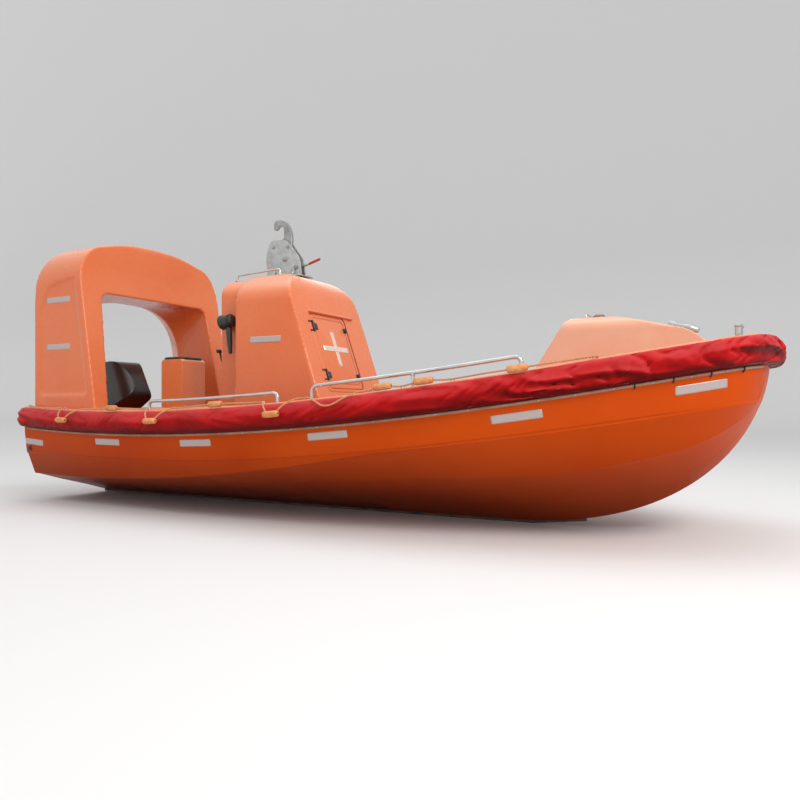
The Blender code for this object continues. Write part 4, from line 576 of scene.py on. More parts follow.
def gunwale_path(step):
    """The gunwale from the well round the starboard quarter to the stem, in even steps, with normals."""
    side = [Vector((x, -plan_half(x), 0)) for x in stations if x > STERN_X + QUARTER_CORNER]
    start = [Vector((STERN_X, -(WELL_HALF + 0.02), 0)), Vector((STERN_X, -STERN_HALF, 0))]
    rough = softened([*start, side[0]], QUARTER_CORNER, 12)[:-1] + side + [Vector((STEM_X, 0, 0))]
    lengths = [0.0]
    for one, two in zip(rough, rough[1:]):
        lengths.append(lengths[-1] + (two - one).length)
    count = int(lengths[-1] / step)
    picked = []
    place = 0
    for index in range(count + 1):
        reach = lengths[-1] * index / count
        while place < len(rough) - 2 and lengths[place + 1] < reach:
            place += 1
        share = (reach - lengths[place]) / max(lengths[place + 1] - lengths[place], 1e-9)
        picked.append(rough[place].lerp(rough[place + 1], min(share, 1)))
    spots = []
    for index, here in enumerate(picked):
        along = (picked[min(index + 1, count)] - picked[max(index - 1, 0)]).normalized()
        spots.append((here, Vector((along.y, -along.x, 0)), lengths[-1] * index / count))
    spots[-1] = (spots[-1][0], Vector((1, 0, 0)), spots[-1][2])
    return spots


# Points of the profile, out and up as shares of the fender's thickness and height
FENDER_PROFILE = softened([(0, 0.0, 0), (0.42, 0.0, 0), (0.80, 0.10, 0), (0.99, 0.42, 0), (0.93, 0.72, 0),
                           (0.62, 0.985, 0), (0, 1.0, 0)], 0.22, 4)


def creased(along, around, depth):
    """How far the slack cover stands in: slanting folds with sharp backs, tucks across and fine buckles."""
    bend = noise.noise(Vector((along * 2.1, around * 1.1, 8.0)))
    folds = abs(noise.noise(Vector((along * 2.9 + around * 1.0 + bend, around * 0.7 - along * 0.8, 3.0))))
    tuck = max(1 - abs(noise.noise(Vector((along * 7.0 + bend * 2, around * 0.7, 14.0)))) * 5.0, 0)
    fine = abs(noise.noise(Vector((along * 21 + bend * 3, around * 3.4, 11.0))))
    return -depth * (1.50 * folds + 0.34 * tuck ** 2 + 0.16 * fine)


FENDER_STEP = 0.012
cover_path = gunwale_path(FENDER_STEP)
girth = [0.0]
for one, two in zip(FENDER_PROFILE, FENDER_PROFILE[1:]):
    girth.append(girth[-1] + math.hypot((two.x - one.x) * FENDER_THICK, (two.y - one.y) * FENDER_HIGH))
SIDE_SLACK, BOW_SLACK, QUARTER_SLACK = 0.018, 0.048, 0.022


def fender_ring(spot, outward, along, flip):
    """One girth of the cover, slack where the bow turns."""
    ring = []
    slack = SIDE_SLACK + (BOW_SLACK - SIDE_SLACK) * min(max((spot.x - 0.8) / 1.5, 0), 1)
    slack = max(slack, QUARTER_SLACK * min(max((-2.5 - spot.x) / 0.3, 0), 1))
    for profile, around in zip(FENDER_PROFILE, girth):
        free = math.sin(math.pi * min(around / girth[-1], 1)) ** 0.6
        inward = creased(along * flip + 40, around * 7, slack) * free
        out = 0.001 + profile.x * (FENDER_THICK - 0.003) + inward
        up = profile.y * FENDER_HIGH
        if profile.x < 0.45:
            out, up = out - inward, up + inward * 0.5 * (1 if profile.y > 0.5 else -1)
        here = spot + outward * max(out, 0.0012)
        ring.append((here.x, here.y * flip, sheer(min(here.x, STEM_X)) - FENDER_HIGH + up))
    return ring


def cover_mesh(rings, lengths):
    """The cover as a closed shape, with its length and girth as the UV map of the weave."""
    bm = skin(rings)
    layer = bm.loops.layers.uv.new("cover")
    count = len(rings[0])
    bm.verts.ensure_lookup_table()
    for face in bm.faces:
        for loop in face.loops:
            row, column = divmod(loop.vert.index, count)
            loop[layer].uv = (lengths[row], girth[column])
    return bm


# painted sheen: the cover is mixed towards pink where it faces up
CLOTH = sheen_on_top(fender_cloth(), (0.56, 0.080, 0.085), 0.48)
reach = [spot[2] for spot in cover_path]
reach += [2 * reach[-1] - each for each in reversed(reach[:-1])]
rows = [fender_ring(*spot, 1) for spot in cover_path]
rows += [fender_ring(*spot, -1) for spot in reversed(cover_path[:-1])]
cover = fit_out("fender_cover", cover_mesh(rows, reach), CLOTH, stands_for=FENDER_NODES, angle=75)


# Fender lacing
# The cover's lower hem lies under a pale plastic batten, screwed to the hull every 20 cm, with a
# dark cord lashed through eyelets at the bow.
BATTEN_THICK, BATTEN_HIGH = 0.012, 0.019
# painted shade: the pale batten is given a dark colour for the shade under the fender's overhang
SHADED_BATTEN_PAINT = finish("batten_plastic_shaded", (0.30, 0.14, 0.09), (0.42, 0.25, 0.18), 0.60, patch=6, grain=300,
                      shine=0.3)
# Pitches and first places of the screws and lashings, counted in steps of the cover's path
SCREW_PITCH, FIRST_SCREW, LASHING_PITCH, FIRST_LASHING = 17, 14, 17, 6
LASHING_FROM_X = STEM_X - 0.75
spots = []
for name, flip in (("starboard", 1), ("port", -1)):
    rings = []
    for spot, outward, along in cover_path[::2]:
        if spot.x < STERN_X + 0.02 or spot.x > STEM_X - 0.03:
            continue
        top = sheer(spot.x) - FENDER_HIGH - 0.001
        ring = softened([(0.0006, top - BATTEN_HIGH), (BATTEN_THICK, top - BATTEN_HIGH + 0.004),
                         (BATTEN_THICK, top - 0.003), (0.0006, top)], 0.004, 2)
        rings.append([(spot.x + outward.x * out, (spot.y + outward.y * out) * flip, up)
                      for out, up in ((point.x, point.y) for point in ring)])
    fit_out(f"batten_strip_{name}", skin(rings), SHADED_BATTEN_PAINT, stands_for=[f"batten_{name}"],
            angle=40)
    for spot, outward, along in cover_path[FIRST_SCREW::SCREW_PITCH]:
        if STERN_X + 0.05 < spot.x < STEM_X - 0.05:
            middle = spot + outward * BATTEN_THICK
            spots.append((Vector((middle.x, middle.y * flip, sheer(spot.x) - FENDER_HIGH - 0.011)),
                          Vector((outward.x, outward.y * flip, 0))))


def heads_on_points(name, spots, radius, high, paint):
    """Pan heads at points, each turned to its own outward direction, by Geometry Nodes."""
    tree = bpy.data.node_groups.new(name + "_tree", "GeometryNodeTree")
    face = tree.interface
    face.new_socket("Geometry", in_out="INPUT", socket_type="NodeSocketGeometry")
    wide = face.new_socket("Head Radius", in_out="INPUT", socket_type="NodeSocketFloat")
    tall = face.new_socket("Head Height", in_out="INPUT", socket_type="NodeSocketFloat")
    face.new_socket("Geometry", in_out="OUTPUT", socket_type="NodeSocketGeometry")
    nodes, links = tree.nodes, tree.links
    way_in, way_out = add(nodes, "NodeGroupInput"), add(nodes, "NodeGroupOutput")
    dome = add(nodes, "GeometryNodeMeshUVSphere", {"Segments": 14, "Rings": 8})
    size = add(nodes, "CombineXYZ")
    outward = add(nodes, "GeometryNodeInputNamedAttribute", {"Name": "outward"}, data_type="FLOAT_VECTOR")
    aim = add(nodes, "FunctionNodeAlignRotationToVector", axis="Z")
    scatter = add(nodes, "GeometryNodeInstanceOnPoints")
    solid = add(nodes, "GeometryNodeRealizeInstances")
    dress = add(nodes, "GeometryNodeSetMaterial", {"Material": paint})
    wire(links, (way_in, "Geometry", scatter, "Points"), (dome, "Mesh", scatter, "Instance"),
         (outward, "Attribute", aim, "Vector"), (aim, "Rotation", scatter, "Rotation"),
         (way_in, "Head Radius", size, "X"), (way_in, "Head Radius", size, "Y"),
         (way_in, "Head Height", size, "Z"), (size, "Vector", scatter, "Scale"),
         (scatter, "Instances", solid, "Geometry"), (solid, "Geometry", dress, "Geometry"),
         (dress, "Geometry", way_out, "Geometry"))
    mesh = bpy.data.meshes.new(name + "_points")
    mesh.from_pydata([place for place, aim_at in spots], [], [])
    turned_to = mesh.attributes.new("outward", "FLOAT_VECTOR", "POINT")
    turned_to.data.foreach_set("vector", [value for place, aim_at in spots for value in aim_at])
    holder = bpy.data.objects.new(name + "_points", mesh)
    bpy.context.scene.collection.objects.link(holder)
    grown = holder.modifiers.new("heads", "NODES")
    grown.node_group = tree
    grown[wide.identifier] = radius
    grown[tall.identifier] = high
    shape = settled(holder)
    holder.modifiers.remove(grown)
    bpy.data.objects.remove(holder, do_unlink=True)
    return shape


SCREW_STEEL = finish("screw_steel", (0.42, 0.41, 0.40), (0.50, 0.49, 0.47), 0.35, metal=1.0, patch=30,
                     grain=700)
fit_out("batten_screws", heads_on_points("batten_screws", spots, 0.0045, 0.002, SCREW_STEEL), SCREW_STEEL,
        body="boat", angle=60)


def pipe(points, radius, sides=16, closed=False):
    """A bar of one radius swept along a path, turning no more than the path does."""
    points = [Vector(point) for point in points]
    count = len(points)
    rings = []
    side = None
    for index, here in enumerate(points):
        if closed:
            along = (points[(index + 1) % count] - points[index - 1]).normalized()
        else:
            along = (points[min(index + 1, count - 1)] - points[max(index - 1, 0)]).normalized()
        if side is None:
            side = along.orthogonal().normalized()
        side = (side - along * side.dot(along)).normalized()
        up = along.cross(side)
        rings.append([here + side * radius * math.cos(2 * math.pi * step / sides)
                      + up * radius * math.sin(2 * math.pi * step / sides) for step in range(sides)])
    if closed:
        rings.append(rings[0])
    made = skin(rings, caps=() if closed else (0, -1))
    bmesh.ops.remove_doubles(made, verts=made.verts, dist=1e-6)
    return made


lashings = []
for flip in (1, -1):
    for spot, outward, along in cover_path[FIRST_LASHING::LASHING_PITCH]:
        if spot.x < LASHING_FROM_X or spot.x > STEM_X - 0.04:
            continue
        hem = sheer(spot.x) - FENDER_HIGH
        line = [(spot.x + outward.x * out, (spot.y + outward.y * out) * flip, hem + up)
                for out, up in ((0.020, 0.012), (0.0165, -0.002), (0.0165, -0.018), (0.004, -0.030))]
        lashings.append(pipe(softened(line, 0.006, 3), 0.0038, 8))
LASHING_CORD = finish("lashing_cord", (0.020, 0.012, 0.010), (0.05, 0.03, 0.025), 0.85, patch=40, grain=900,
                      shine=0.2)
fit_out("hem_lashings", merged(*lashings), LASHING_CORD, angle=60)


# Stern arch
# A hollow fibreglass arch bolted to the deck, which rights the boat if it capsizes. Its edges are
# rounded over in the mould and each leg has a shallow panel with a rim on its outer face.
ARCH_AFT_X, ARCH_FOOT_FORE_X, ARCH_TOP_FORE_X = STERN_X + 0.10, STERN_X + 0.87, STERN_X + 0.68
ARCH_TOP_Z, ARCH_SHOULDER_Z, ARCH_HALF, ARCH_CROWN_HALF, ARCH_FOOT_Z = 2.30, 2.16, 0.83, 0.30, 0.70
FLANGE_OUT, FLANGE_IN, FLANGE_LOW_Z, FLANGE_TOP_Z = 0.86, 0.665, 0.79, 0.812
ARCH_OPEN_HALF, ARCH_OPEN_FOOT_HALF, ARCH_OPEN_TOP_Z, ARCH_OPEN_ROUND = 0.62, 0.70, 1.81, 0.09
ARCH_NECK_X, ARCH_NECK_HALF, ARCH_NECK_ROUND, ARCH_FLARE = ARCH_AFT_X + 0.20, 0.67, 0.62, 0.12
PANEL_SUNK = 0.009


def moulded(bm, grain, rounds):
    """A body with all its edges rounded over as they leave a mould: remeshed evenly and relaxed."""
    bmesh.ops.recalc_face_normals(bm, faces=bm.faces)
    body = standing("moulding", bm)
    even = body.modifiers.new("even", "REMESH")
    even.mode = "VOXEL"
    even.voxel_size = grain
    relax = body.modifiers.new("relax", "SMOOTH")
    relax.factor = 0.5
    relax.iterations = rounds
    flat = body.modifiers.new("flat", "DECIMATE")
    flat.decimate_type = "DISSOLVE"
    flat.angle_limit = math.radians(0.6)
    result = settled(body)
    bpy.data.objects.remove(body, do_unlink=True)
    return result


arch_front = softened([(-ARCH_HALF, ARCH_FOOT_Z), (ARCH_HALF, ARCH_FOOT_Z), (ARCH_HALF, ARCH_SHOULDER_Z),
                       (ARCH_CROWN_HALF, ARCH_TOP_Z), (-ARCH_CROWN_HALF, ARCH_TOP_Z),
                       (-ARCH_HALF, ARCH_SHOULDER_Z)], [0, 0, 0.30, 0.25, 0.25, 0.30], 10, closed=True)
arch_side = softened([(ARCH_AFT_X, ARCH_FOOT_Z), (ARCH_FOOT_FORE_X, ARCH_FOOT_Z),
                      (ARCH_FOOT_FORE_X, ARCH_FOOT_Z + 0.10), (ARCH_TOP_FORE_X, ARCH_SHOULDER_Z - 0.20),
                      (ARCH_TOP_FORE_X - 0.02, ARCH_TOP_Z + 0.05), (ARCH_AFT_X, ARCH_TOP_Z - 0.16)],
                     [0, 0, 0.02, 0.10, 0.10, 0.45], 12, closed=True)
arch_rings = []
mouth_half = ARCH_NECK_HALF + ARCH_FLARE
for x, foot_half, half, top, turn in (
        (ARCH_AFT_X - 0.01, mouth_half, mouth_half, ARCH_OPEN_TOP_Z + 0.05, ARCH_NECK_ROUND),
        (ARCH_NECK_X, ARCH_NECK_HALF, ARCH_NECK_HALF, ARCH_OPEN_TOP_Z, ARCH_NECK_ROUND),
        (ARCH_TOP_FORE_X, ARCH_OPEN_FOOT_HALF, ARCH_OPEN_HALF, ARCH_OPEN_TOP_Z, ARCH_OPEN_ROUND),
        (ARCH_FOOT_FORE_X + 0.1, ARCH_OPEN_FOOT_HALF, ARCH_OPEN_HALF, ARCH_OPEN_TOP_Z, ARCH_OPEN_ROUND)):
    outline = softened([(-foot_half, 0.60), (foot_half, 0.60), (half, top), (-half, top)], [0, 0, turn, turn], 16,
                       closed=True)
    arch_rings.append([(x, y, z) for y, z in outline])
arch_way = skin(arch_rings)
bmesh.ops.triangulate(arch_way, faces=arch_way.faces)
panel = softened([(ARCH_AFT_X + 0.07, 0.93), (ARCH_FOOT_FORE_X - 0.10, 0.93), (ARCH_TOP_FORE_X - 0.06, 1.93),
                  (ARCH_AFT_X + 0.19, 1.87), (ARCH_AFT_X + 0.07, 1.66)], 0.05, 6, closed=True)
tools = [arch_way]
for side in (-1, 1):
    low, high = sorted((side * (ARCH_HALF - PANEL_SUNK), side * (ARCH_HALF + 0.1)))
    tools.append(prism(panel, "Y", low, high))
hump = carved(prism(arch_front, "X", ARCH_AFT_X - 0.2, ARCH_FOOT_FORE_X + 0.2), prism(arch_side, "Y", -1, 1),
              how="INTERSECT")
arch = moulded(carved(hump, *tools), 0.011, 5)
bmesh.ops.bisect_plane(arch, geom=arch.verts[:] + arch.edges[:] + arch.faces[:],
                       plane_co=(0, 0, deck_height(-2.2) - 0.002), plane_no=(0, 0, 1), clear_inner=True)
fit_out("arch_moulding", arch, DECK_PAINT, stands_for=["stern_arch"], angle=60)

FLANGE_AFT_X, FLANGE_FORE_X = ARCH_AFT_X - 0.02, ARCH_FOOT_FORE_X + 0.015
foot_flange = merged(*[
    prism(softened([(FLANGE_AFT_X, side * FLANGE_OUT), (FLANGE_FORE_X, side * FLANGE_OUT),
                    (FLANGE_FORE_X, side * FLANGE_IN), (FLANGE_AFT_X, side * FLANGE_IN)], 0.03, 4, closed=True),
          "Z", FLANGE_LOW_Z, FLANGE_TOP_Z, 0.004) for side in (-1, 1)])
for vert in foot_flange.verts:
    vert.co.z += deck_height(vert.co.x) - FLANGE_LOW_Z - 0.007
fit_out("arch_flanges", foot_flange, DECK_PAINT, angle=40)


# Housing
# A hollow fibreglass tower over the boat's middle that carries the lifting hook. Its front is
# raked, with a hatch way under a rain lip, and its shoulders and edges are rounded.
HOUSE_AFT_X, HOUSE_FRONT_X, HOUSE_FRONT_Z, HOUSE_RAKE = -0.84, -0.04, 0.90, 0.347
HOUSE_HALF, HOUSE_CROWN_HALF, HOUSE_TOP_Z, HOUSE_SIDE_Z, HOUSE_WALL = 0.50, 0.27, 1.90, 1.74, 0.03
DOOR_LOW, DOOR_HIGH, DOOR_HALF, DOOR_MIDDLE_Y = 0.97, 1.56, 0.25, -0.06
HINGE_OUT, HINGE_IN = 0.008, 0.014
LIP_Z, LIP_HALF = 1.585, 0.31


def rake_x(z, inset=0.0):
    """X of the housing's raked front face at a height."""
    return HOUSE_FRONT_X - HOUSE_RAKE * (z - HOUSE_FRONT_Z) - inset * math.hypot(1, HOUSE_RAKE)


def house_body(inset, floor):
    """The housing's solid, moved in by a wall."""
    half, top, side_z, aft = HOUSE_HALF - inset, HOUSE_TOP_Z - inset, HOUSE_SIDE_Z - inset, HOUSE_AFT_X + inset
    front = softened([(-half, floor), (half, floor), (half - 0.02, side_z), (HOUSE_CROWN_HALF, top),
                      (-HOUSE_CROWN_HALF, top), (-half + 0.02, side_z)],
                     [0, 0, 0.09, 0.09, 0.09, 0.09], 8, closed=True)
    side = softened([(aft, floor), (rake_x(floor, inset), floor), (rake_x(top - 0.02, inset), top - 0.02),
                     (aft, top + 0.01)], [0, 0, 0.15, 0.05], 8, closed=True)
    return carved(prism(front, "X", HOUSE_AFT_X - 0.1, HOUSE_FRONT_X + 0.4), prism(side, "Y", -0.8, 0.8),
                  how="INTERSECT")


def hinge_frame(place, normal, up):
    """A hinge's frame: X along a face's normal, Z up the face."""
    normal = Vector(normal).normalized()
    up = (Vector(up) - normal * Vector(up).dot(normal)).normalized()
    turn = Matrix((normal, up.cross(normal), up)).transposed().to_4x4()
    return Matrix.Translation(place) @ turn


def leaf_outline(width, tall, inset, radius=0.04):
    """A door's outline on its hinge frame."""
    first, last = -HINGE_IN + inset, -HINGE_IN + width - inset
    low, high = -tall / 2 + inset, tall / 2 - inset
    return softened([(first, low), (last, low), (last, high), (first, high)], radius, 6, closed=True)


HATCH_MIDDLE_Z = (DOOR_LOW + DOOR_HIGH) / 2
HATCH_TALL = (DOOR_HIGH - DOOR_LOW) * math.hypot(1, HOUSE_RAKE)
HATCH_NORMAL = Vector((1, 0, HOUSE_RAKE)).normalized()
HATCH = hinge_frame(Vector((rake_x(HATCH_MIDDLE_Z), DOOR_MIDDLE_Y - DOOR_HALF + HINGE_IN, HATCH_MIDDLE_Z))
                    + HATCH_NORMAL * HINGE_OUT, HATCH_NORMAL, (0, 0, 1))
shell = moulded(carved(house_body(0, SOLE_Z + 0.001), house_body(HOUSE_WALL, 0.3)), 0.012, 4)
way = prism(leaf_outline(2 * DOOR_HALF, HATCH_TALL, 0), "X", -0.1, 0.1)
way.transform(HATCH)
fit_out("housing_moulding", carved(shell, way), DECK_PAINT, stands_for=["housing"], angle=40)

# the rain lip over the hatch and the frame moulded round the hatch way
lip = prism(softened([(-0.008, 0), (0.020, 0.004), (0.024, 0.012), (0.020, 0.020), (-0.008, 0.030)], 0.004, 3,
                     closed=True), "Y", -LIP_HALF, LIP_HALF, 0.006)
for vert in lip.verts:
    vert.co.z -= 0.035 * max(abs(vert.co.y) - 0.24, 0) / 0.07
lip.transform(Matrix.Translation((0, DOOR_MIDDLE_Y + 0.06, 0)))
lip.transform(hinge_frame(Vector((rake_x(LIP_Z), 0, LIP_Z)), HATCH_NORMAL, (0, 0, 1)))
fit_out("housing_rain_lip", lip, DECK_PAINT, angle=50)
frame_outer = prism(leaf_outline(2 * DOOR_HALF + 0.05, HATCH_TALL + 0.05, 0, 0.05), "X", -HINGE_OUT - 0.004,
                    -HINGE_OUT + 0.0035, 0.003)
frame_outer.transform(Matrix.Translation((0, -0.025, 0)))
frame_inner = prism(leaf_outline(2 * DOOR_HALF, HATCH_TALL, 0), "X", -0.1, 0.1)
border = carved(frame_outer, frame_inner)
fit_out("hatch_frame", border, DECK_PAINT, angle=40, place=BASE @ HATCH)


# Hatch door
# A moulded leaf on two black hinges at its starboard edge, held shut by two black toggle
# latches, with a soft seal behind it.
DOOR_THICK, DOOR_CLEAR = 0.022, 0.006
HINGE_RADIUS, KNUCKLE_HALF, EAR_LONG = 0.011, 0.03, 0.0142
BLACK_PLASTIC = finish("black_fittings", (0.016, 0.016, 0.018), (0.035, 0.034, 0.034), 0.38, patch=8, grain=500)


def aimed(place, axis):
    """A frame at a place, its Z along an axis."""
    return Matrix.Translation(place) @ Vector(axis).to_track_quat("Z", "Y").to_matrix().to_4x4()


def rod(start, end, radius, end_radius=None, sides=24, bevel=0.0):
    """A round bar or cone between two points, with eased rims."""
    start, end = Vector(start), Vector(end)
    along = end - start
    end_radius = radius if end_radius is None else end_radius
    profile = [(0, 0), (radius - bevel, 0), (radius, bevel), (end_radius, along.length - bevel),
               (end_radius - bevel, along.length), (0, along.length)]
    if not bevel:
        profile = [(0, 0), (radius, 0), (end_radius, along.length), (0, along.length)]
    return turned(profile, aimed(start, along), sides)


def turned(profile, place=Matrix(), sides=24):
    """A shape turned about Z from points of radius and height, from the bottom up."""
    bm = bmesh.new()
    rows = []
    for radius, height in profile:
        if radius < 1e-6:
            rows.append([bm.verts.new(place @ Vector((0, 0, height)))])
            continue
        rows.append([bm.verts.new(place @ Vector((radius * math.cos(2 * math.pi * step / sides),
                                                  radius * math.sin(2 * math.pi * step / sides), height)))
                     for step in range(sides)])
    for one, two in zip(rows, rows[1:]):
        for step in range(sides):
            other = (step + 1) % sides
            if len(one) == 1 and len(two) > 1:
                bm.faces.new((one[0], two[other], two[step]))
            elif len(two) == 1 and len(one) > 1:
                bm.faces.new((one[step], one[other], two[0]))
            elif len(one) > 1:
                bm.faces.new((one[step], one[other], two[other], two[step]))
    return bm


def door_leaf(width, tall):
    """A leaf with a raised rim and a slightly crowned middle, on its hinge frame."""
    slab = prism(leaf_outline(width, tall, DOOR_CLEAR), "X", -DOOR_THICK - HINGE_OUT, -HINGE_OUT - 0.004, 0.003)
    rim = prism(leaf_outline(width, tall, DOOR_CLEAR), "X", -HINGE_OUT - 0.006, -HINGE_OUT, 0.0025)
    sunk = prism(leaf_outline(width, tall, DOOR_CLEAR + 0.028, 0.03), "X", -HINGE_OUT - 0.02, -HINGE_OUT + 0.02)
    crown = prism(leaf_outline(width, tall, DOOR_CLEAR + 0.040, 0.03), "X", -HINGE_OUT - 0.008,
                  -HINGE_OUT - 0.0008, 0.0025)
    return merged(slab, carved(rim, sunk), crown)


def hinge_set(frame, heights, body, name):
    """Knuckles and straps on the leaf's body, and the fixed ears that the pin runs through on the boat's."""
    leaf, fixed = [], []
    for height in heights:
        leaf.append(rod((0, 0, height - KNUCKLE_HALF), (0, 0, height + KNUCKLE_HALF), HINGE_RADIUS,
                        bevel=0.002))
        leaf.append(block((-HINGE_OUT - 0.001, 0.004, height - 0.026),
                          (-HINGE_OUT + 0.005, 0.058, height + 0.026), 0.0015))
        for end in (-1, 1):
            near = height + end * (KNUCKLE_HALF + 0.0008)
            far = near + end * EAR_LONG
            fixed.append(rod((0, 0, near), (0, 0, far), HINGE_RADIUS * 0.6, bevel=0.001))
            low, high = sorted((near, far))
            fixed.append(block((-HINGE_OUT - 0.001, -0.045, low), (-HINGE_OUT + 0.005, -0.002, high), 0.0012))
        fixed.append(rod((0, 0, height + KNUCKLE_HALF + 0.015), (0, 0, height + KNUCKLE_HALF + 0.018), 0.005,
                         sides=12))
    fit_out(f"{name}_hinge_leaves", merged(*leaf), BLACK_PLASTIC, body=body,
            place=BASE @ frame)
    fit_out(f"{name}_hinge_ears", merged(*fixed), BLACK_PLASTIC, place=BASE @ frame)


def toggle_latches(frame, heights, width, body, name):
    """Quarter-turn toggles at a leaf's free edge: a base plate, a boss and a raised grip."""
    shapes = []
    for height in heights:
        shapes.append(block((-HINGE_OUT - 0.002, width - 0.073, height - 0.019),
                            (-HINGE_OUT + 0.004, width - 0.033, height + 0.019), 0.002))
        shapes.append(rod((-HINGE_OUT + 0.003, width - 0.053, height), (0.004, width - 0.053, height), 0.015,
                          bevel=0.0015))
        shapes.append(block((0.001, width - 0.060, height - 0.0185), (0.0115, width - 0.046, height + 0.0185),
                            0.0035))
    fit_out(f"{name}_latches", merged(*shapes), BLACK_PLASTIC, body=body, place=BASE @ frame)


def door_seal(frame, width, tall, body, name):
    """A soft black strip behind the leaf's edge."""
    ring = leaf_outline(width, tall, DOOR_CLEAR + 0.008, 0.035)
    strip = pipe([(-DOOR_THICK - HINGE_OUT - 0.0005, point.x, point.y) for point in ring], 0.003, 8,
                 closed=True)
    fit_out(f"{name}_seal", strip, BLACK_PLASTIC, body=body, place=BASE @ frame)


fit_out("hatch_leaf", door_leaf(2 * DOOR_HALF, HATCH_TALL), DECK_PAINT, body="hatch_door",
        stands_for=["hatch_door"], angle=35, place=BASE @ HATCH)
hinge_set(HATCH, (-0.20, 0.20), "hatch_door", "hatch")
toggle_latches(HATCH, (-0.20, 0.20), 2 * DOOR_HALF, "hatch_door", "hatch")
door_seal(HATCH, 2 * DOOR_HALF, HATCH_TALL, "hatch_door", "hatch")


# Helm console
# A fibreglass pod bonded to the tower's aft wall, with a black instrument panel, a wheel on a
# boss, a throttle box and a searchlight on a bracket at its starboard side.
CONSOLE_DEEP, CONSOLE_HALF, CONSOLE_CROWN_HALF, CONSOLE_SIDE_Z, CONSOLE_TOP_Z = 0.27, 0.35, 0.25, 1.78, 1.88
WHEEL_Z, WHEEL_RADIUS, WHEEL_RIM, WHEEL_STANDOFF, WHEEL_SPOKES, RIM_SIDES = 1.22, 0.17, 0.014, 0.11, 3, 72
LAMP_Z = 1.52
console_aft = HOUSE_AFT_X - 0.0003
FACE_X = console_aft - CONSOLE_DEEP


def tipped(place, angle=-math.pi / 2):
    """A frame at a place, turned about Y: its Z looks aft if no angle is given."""
    return Matrix.Translation(place) @ Matrix.Rotation(angle, 4, "Y")


STEEL = finish("polished_steel", (0.60, 0.60, 0.59), (0.50, 0.50, 0.49), 0.20, metal=1.0, patch=10, grain=700,
               grain_high=0.0001, scuff=0.05)
pod_front = softened([(-CONSOLE_HALF, SOLE_Z), (CONSOLE_HALF, SOLE_Z), (CONSOLE_HALF, CONSOLE_SIDE_Z),
                      (CONSOLE_CROWN_HALF, CONSOLE_TOP_Z), (-CONSOLE_CROWN_HALF, CONSOLE_TOP_Z),
                      (-CONSOLE_HALF, CONSOLE_SIDE_Z)], [0, 0, 0.05, 0.08, 0.08, 0.05], 6, closed=True)
pod = prism(pod_front, "X", FACE_X, console_aft + 0.012)
foot_well = block((FACE_X - 0.1, -0.24, SOLE_Z - 0.1), (FACE_X + 0.11, 0.24, 0.86), 0.03)
recess = block((FACE_X - 0.1, -0.29, 1.42), (FACE_X + 0.010, 0.29, 1.72), 0.006)
pod = moulded(carved(pod, foot_well, recess), 0.011, 4)
bmesh.ops.bisect_plane(pod, geom=pod.verts[:] + pod.edges[:] + pod.faces[:], plane_co=(0, 0, SOLE_Z + 0.001),
                       plane_no=(0, 0, 1), clear_inner=True)
fit_out("console_pod", pod, DECK_PAINT, stands_for=["helm_console"], angle=60)
boss = turned([(0, 0.0), (0.075, 0.0), (0.075, 0.010), (0.052, 0.014), (0.034, 0.045), (0.030, 0.082),
               (0, 0.082)], tipped((FACE_X + 0.002, 0, WHEEL_Z)), 40)
fit_out("wheel_boss", boss, BLACK_PLASTIC, angle=35)

panel_board = block((FACE_X + 0.003, -0.272, 1.435), (FACE_X + 0.012, 0.272, 1.705), 0.002)
dials = []
glasses = []
# each dial's place across and up the panel, and its radius
for y, z, radius in ((-0.20, 1.63, 0.042), (-0.09, 1.63, 0.042), (0.14, 1.60, 0.062)):
    dials.append(turned([(0, 0), (radius + 0.006, 0), (radius + 0.006, 0.004), (radius, 0.0065),
                         (radius - 0.005, 0.0065), (radius - 0.006, 0.003), (0, 0.003)],
                        tipped((FACE_X + 0.003, y, z)), 40))
    glasses.append((y, z, radius - 0.006))
switches = []
for index in range(6):
    y = -0.225 + index * 0.045
    switches.append(block((FACE_X - 0.0005, y - 0.013, 1.475), (FACE_X + 0.004, y + 0.013, 1.515), 0.0015))
    switches.append(block((FACE_X - 0.006, y - 0.009, 1.482), (FACE_X + 0.001, y + 0.009, 1.508), 0.002))
key = rod((FACE_X + 0.004, 0.20, 1.49), (FACE_X - 0.006, 0.20, 1.49), 0.014, bevel=0.001)
fit_out("instrument_panel", merged(panel_board, *dials, *switches, key), BLACK_PLASTIC,
        angle=35)

DIAL_FACE = finish("dial_face", (0.72, 0.72, 0.68), (0.60, 0.60, 0.57), 0.35, coat=0.8, patch=12, grain=900,
                   grain_high=0.0001)
faces, marks = [], []
for y, z, radius in glasses:
    faces.append(turned([(0, -0.002), (radius, -0.002), (radius, 0.0), (0, 0.0)],
                        tipped((FACE_X + 0.0002, y, z)), 36))
    for tick in range(11):
        turn = math.radians(-130 + 26 * tick)
        line = block((-0.0008, -0.0012, radius * 0.74), (0.0, 0.0012, radius * 0.95))
        line.transform(Matrix.Translation((FACE_X - 0.0002, y, z)) @ Matrix.Rotation(turn, 4, "X"))
        marks.append(line)
    needle = block((-0.0016, -0.0014, -0.006), (-0.0008, 0.0014, radius * 0.8))
    needle.transform(Matrix.Translation((FACE_X, y, z)) @ Matrix.Rotation(math.radians(-105), 4, "X"))
    marks.append(needle)
fit_out("dial_faces", merged(*faces), DIAL_FACE, angle=35)
fit_out("dial_marks", merged(*marks), BLACK_PLASTIC, angle=35)

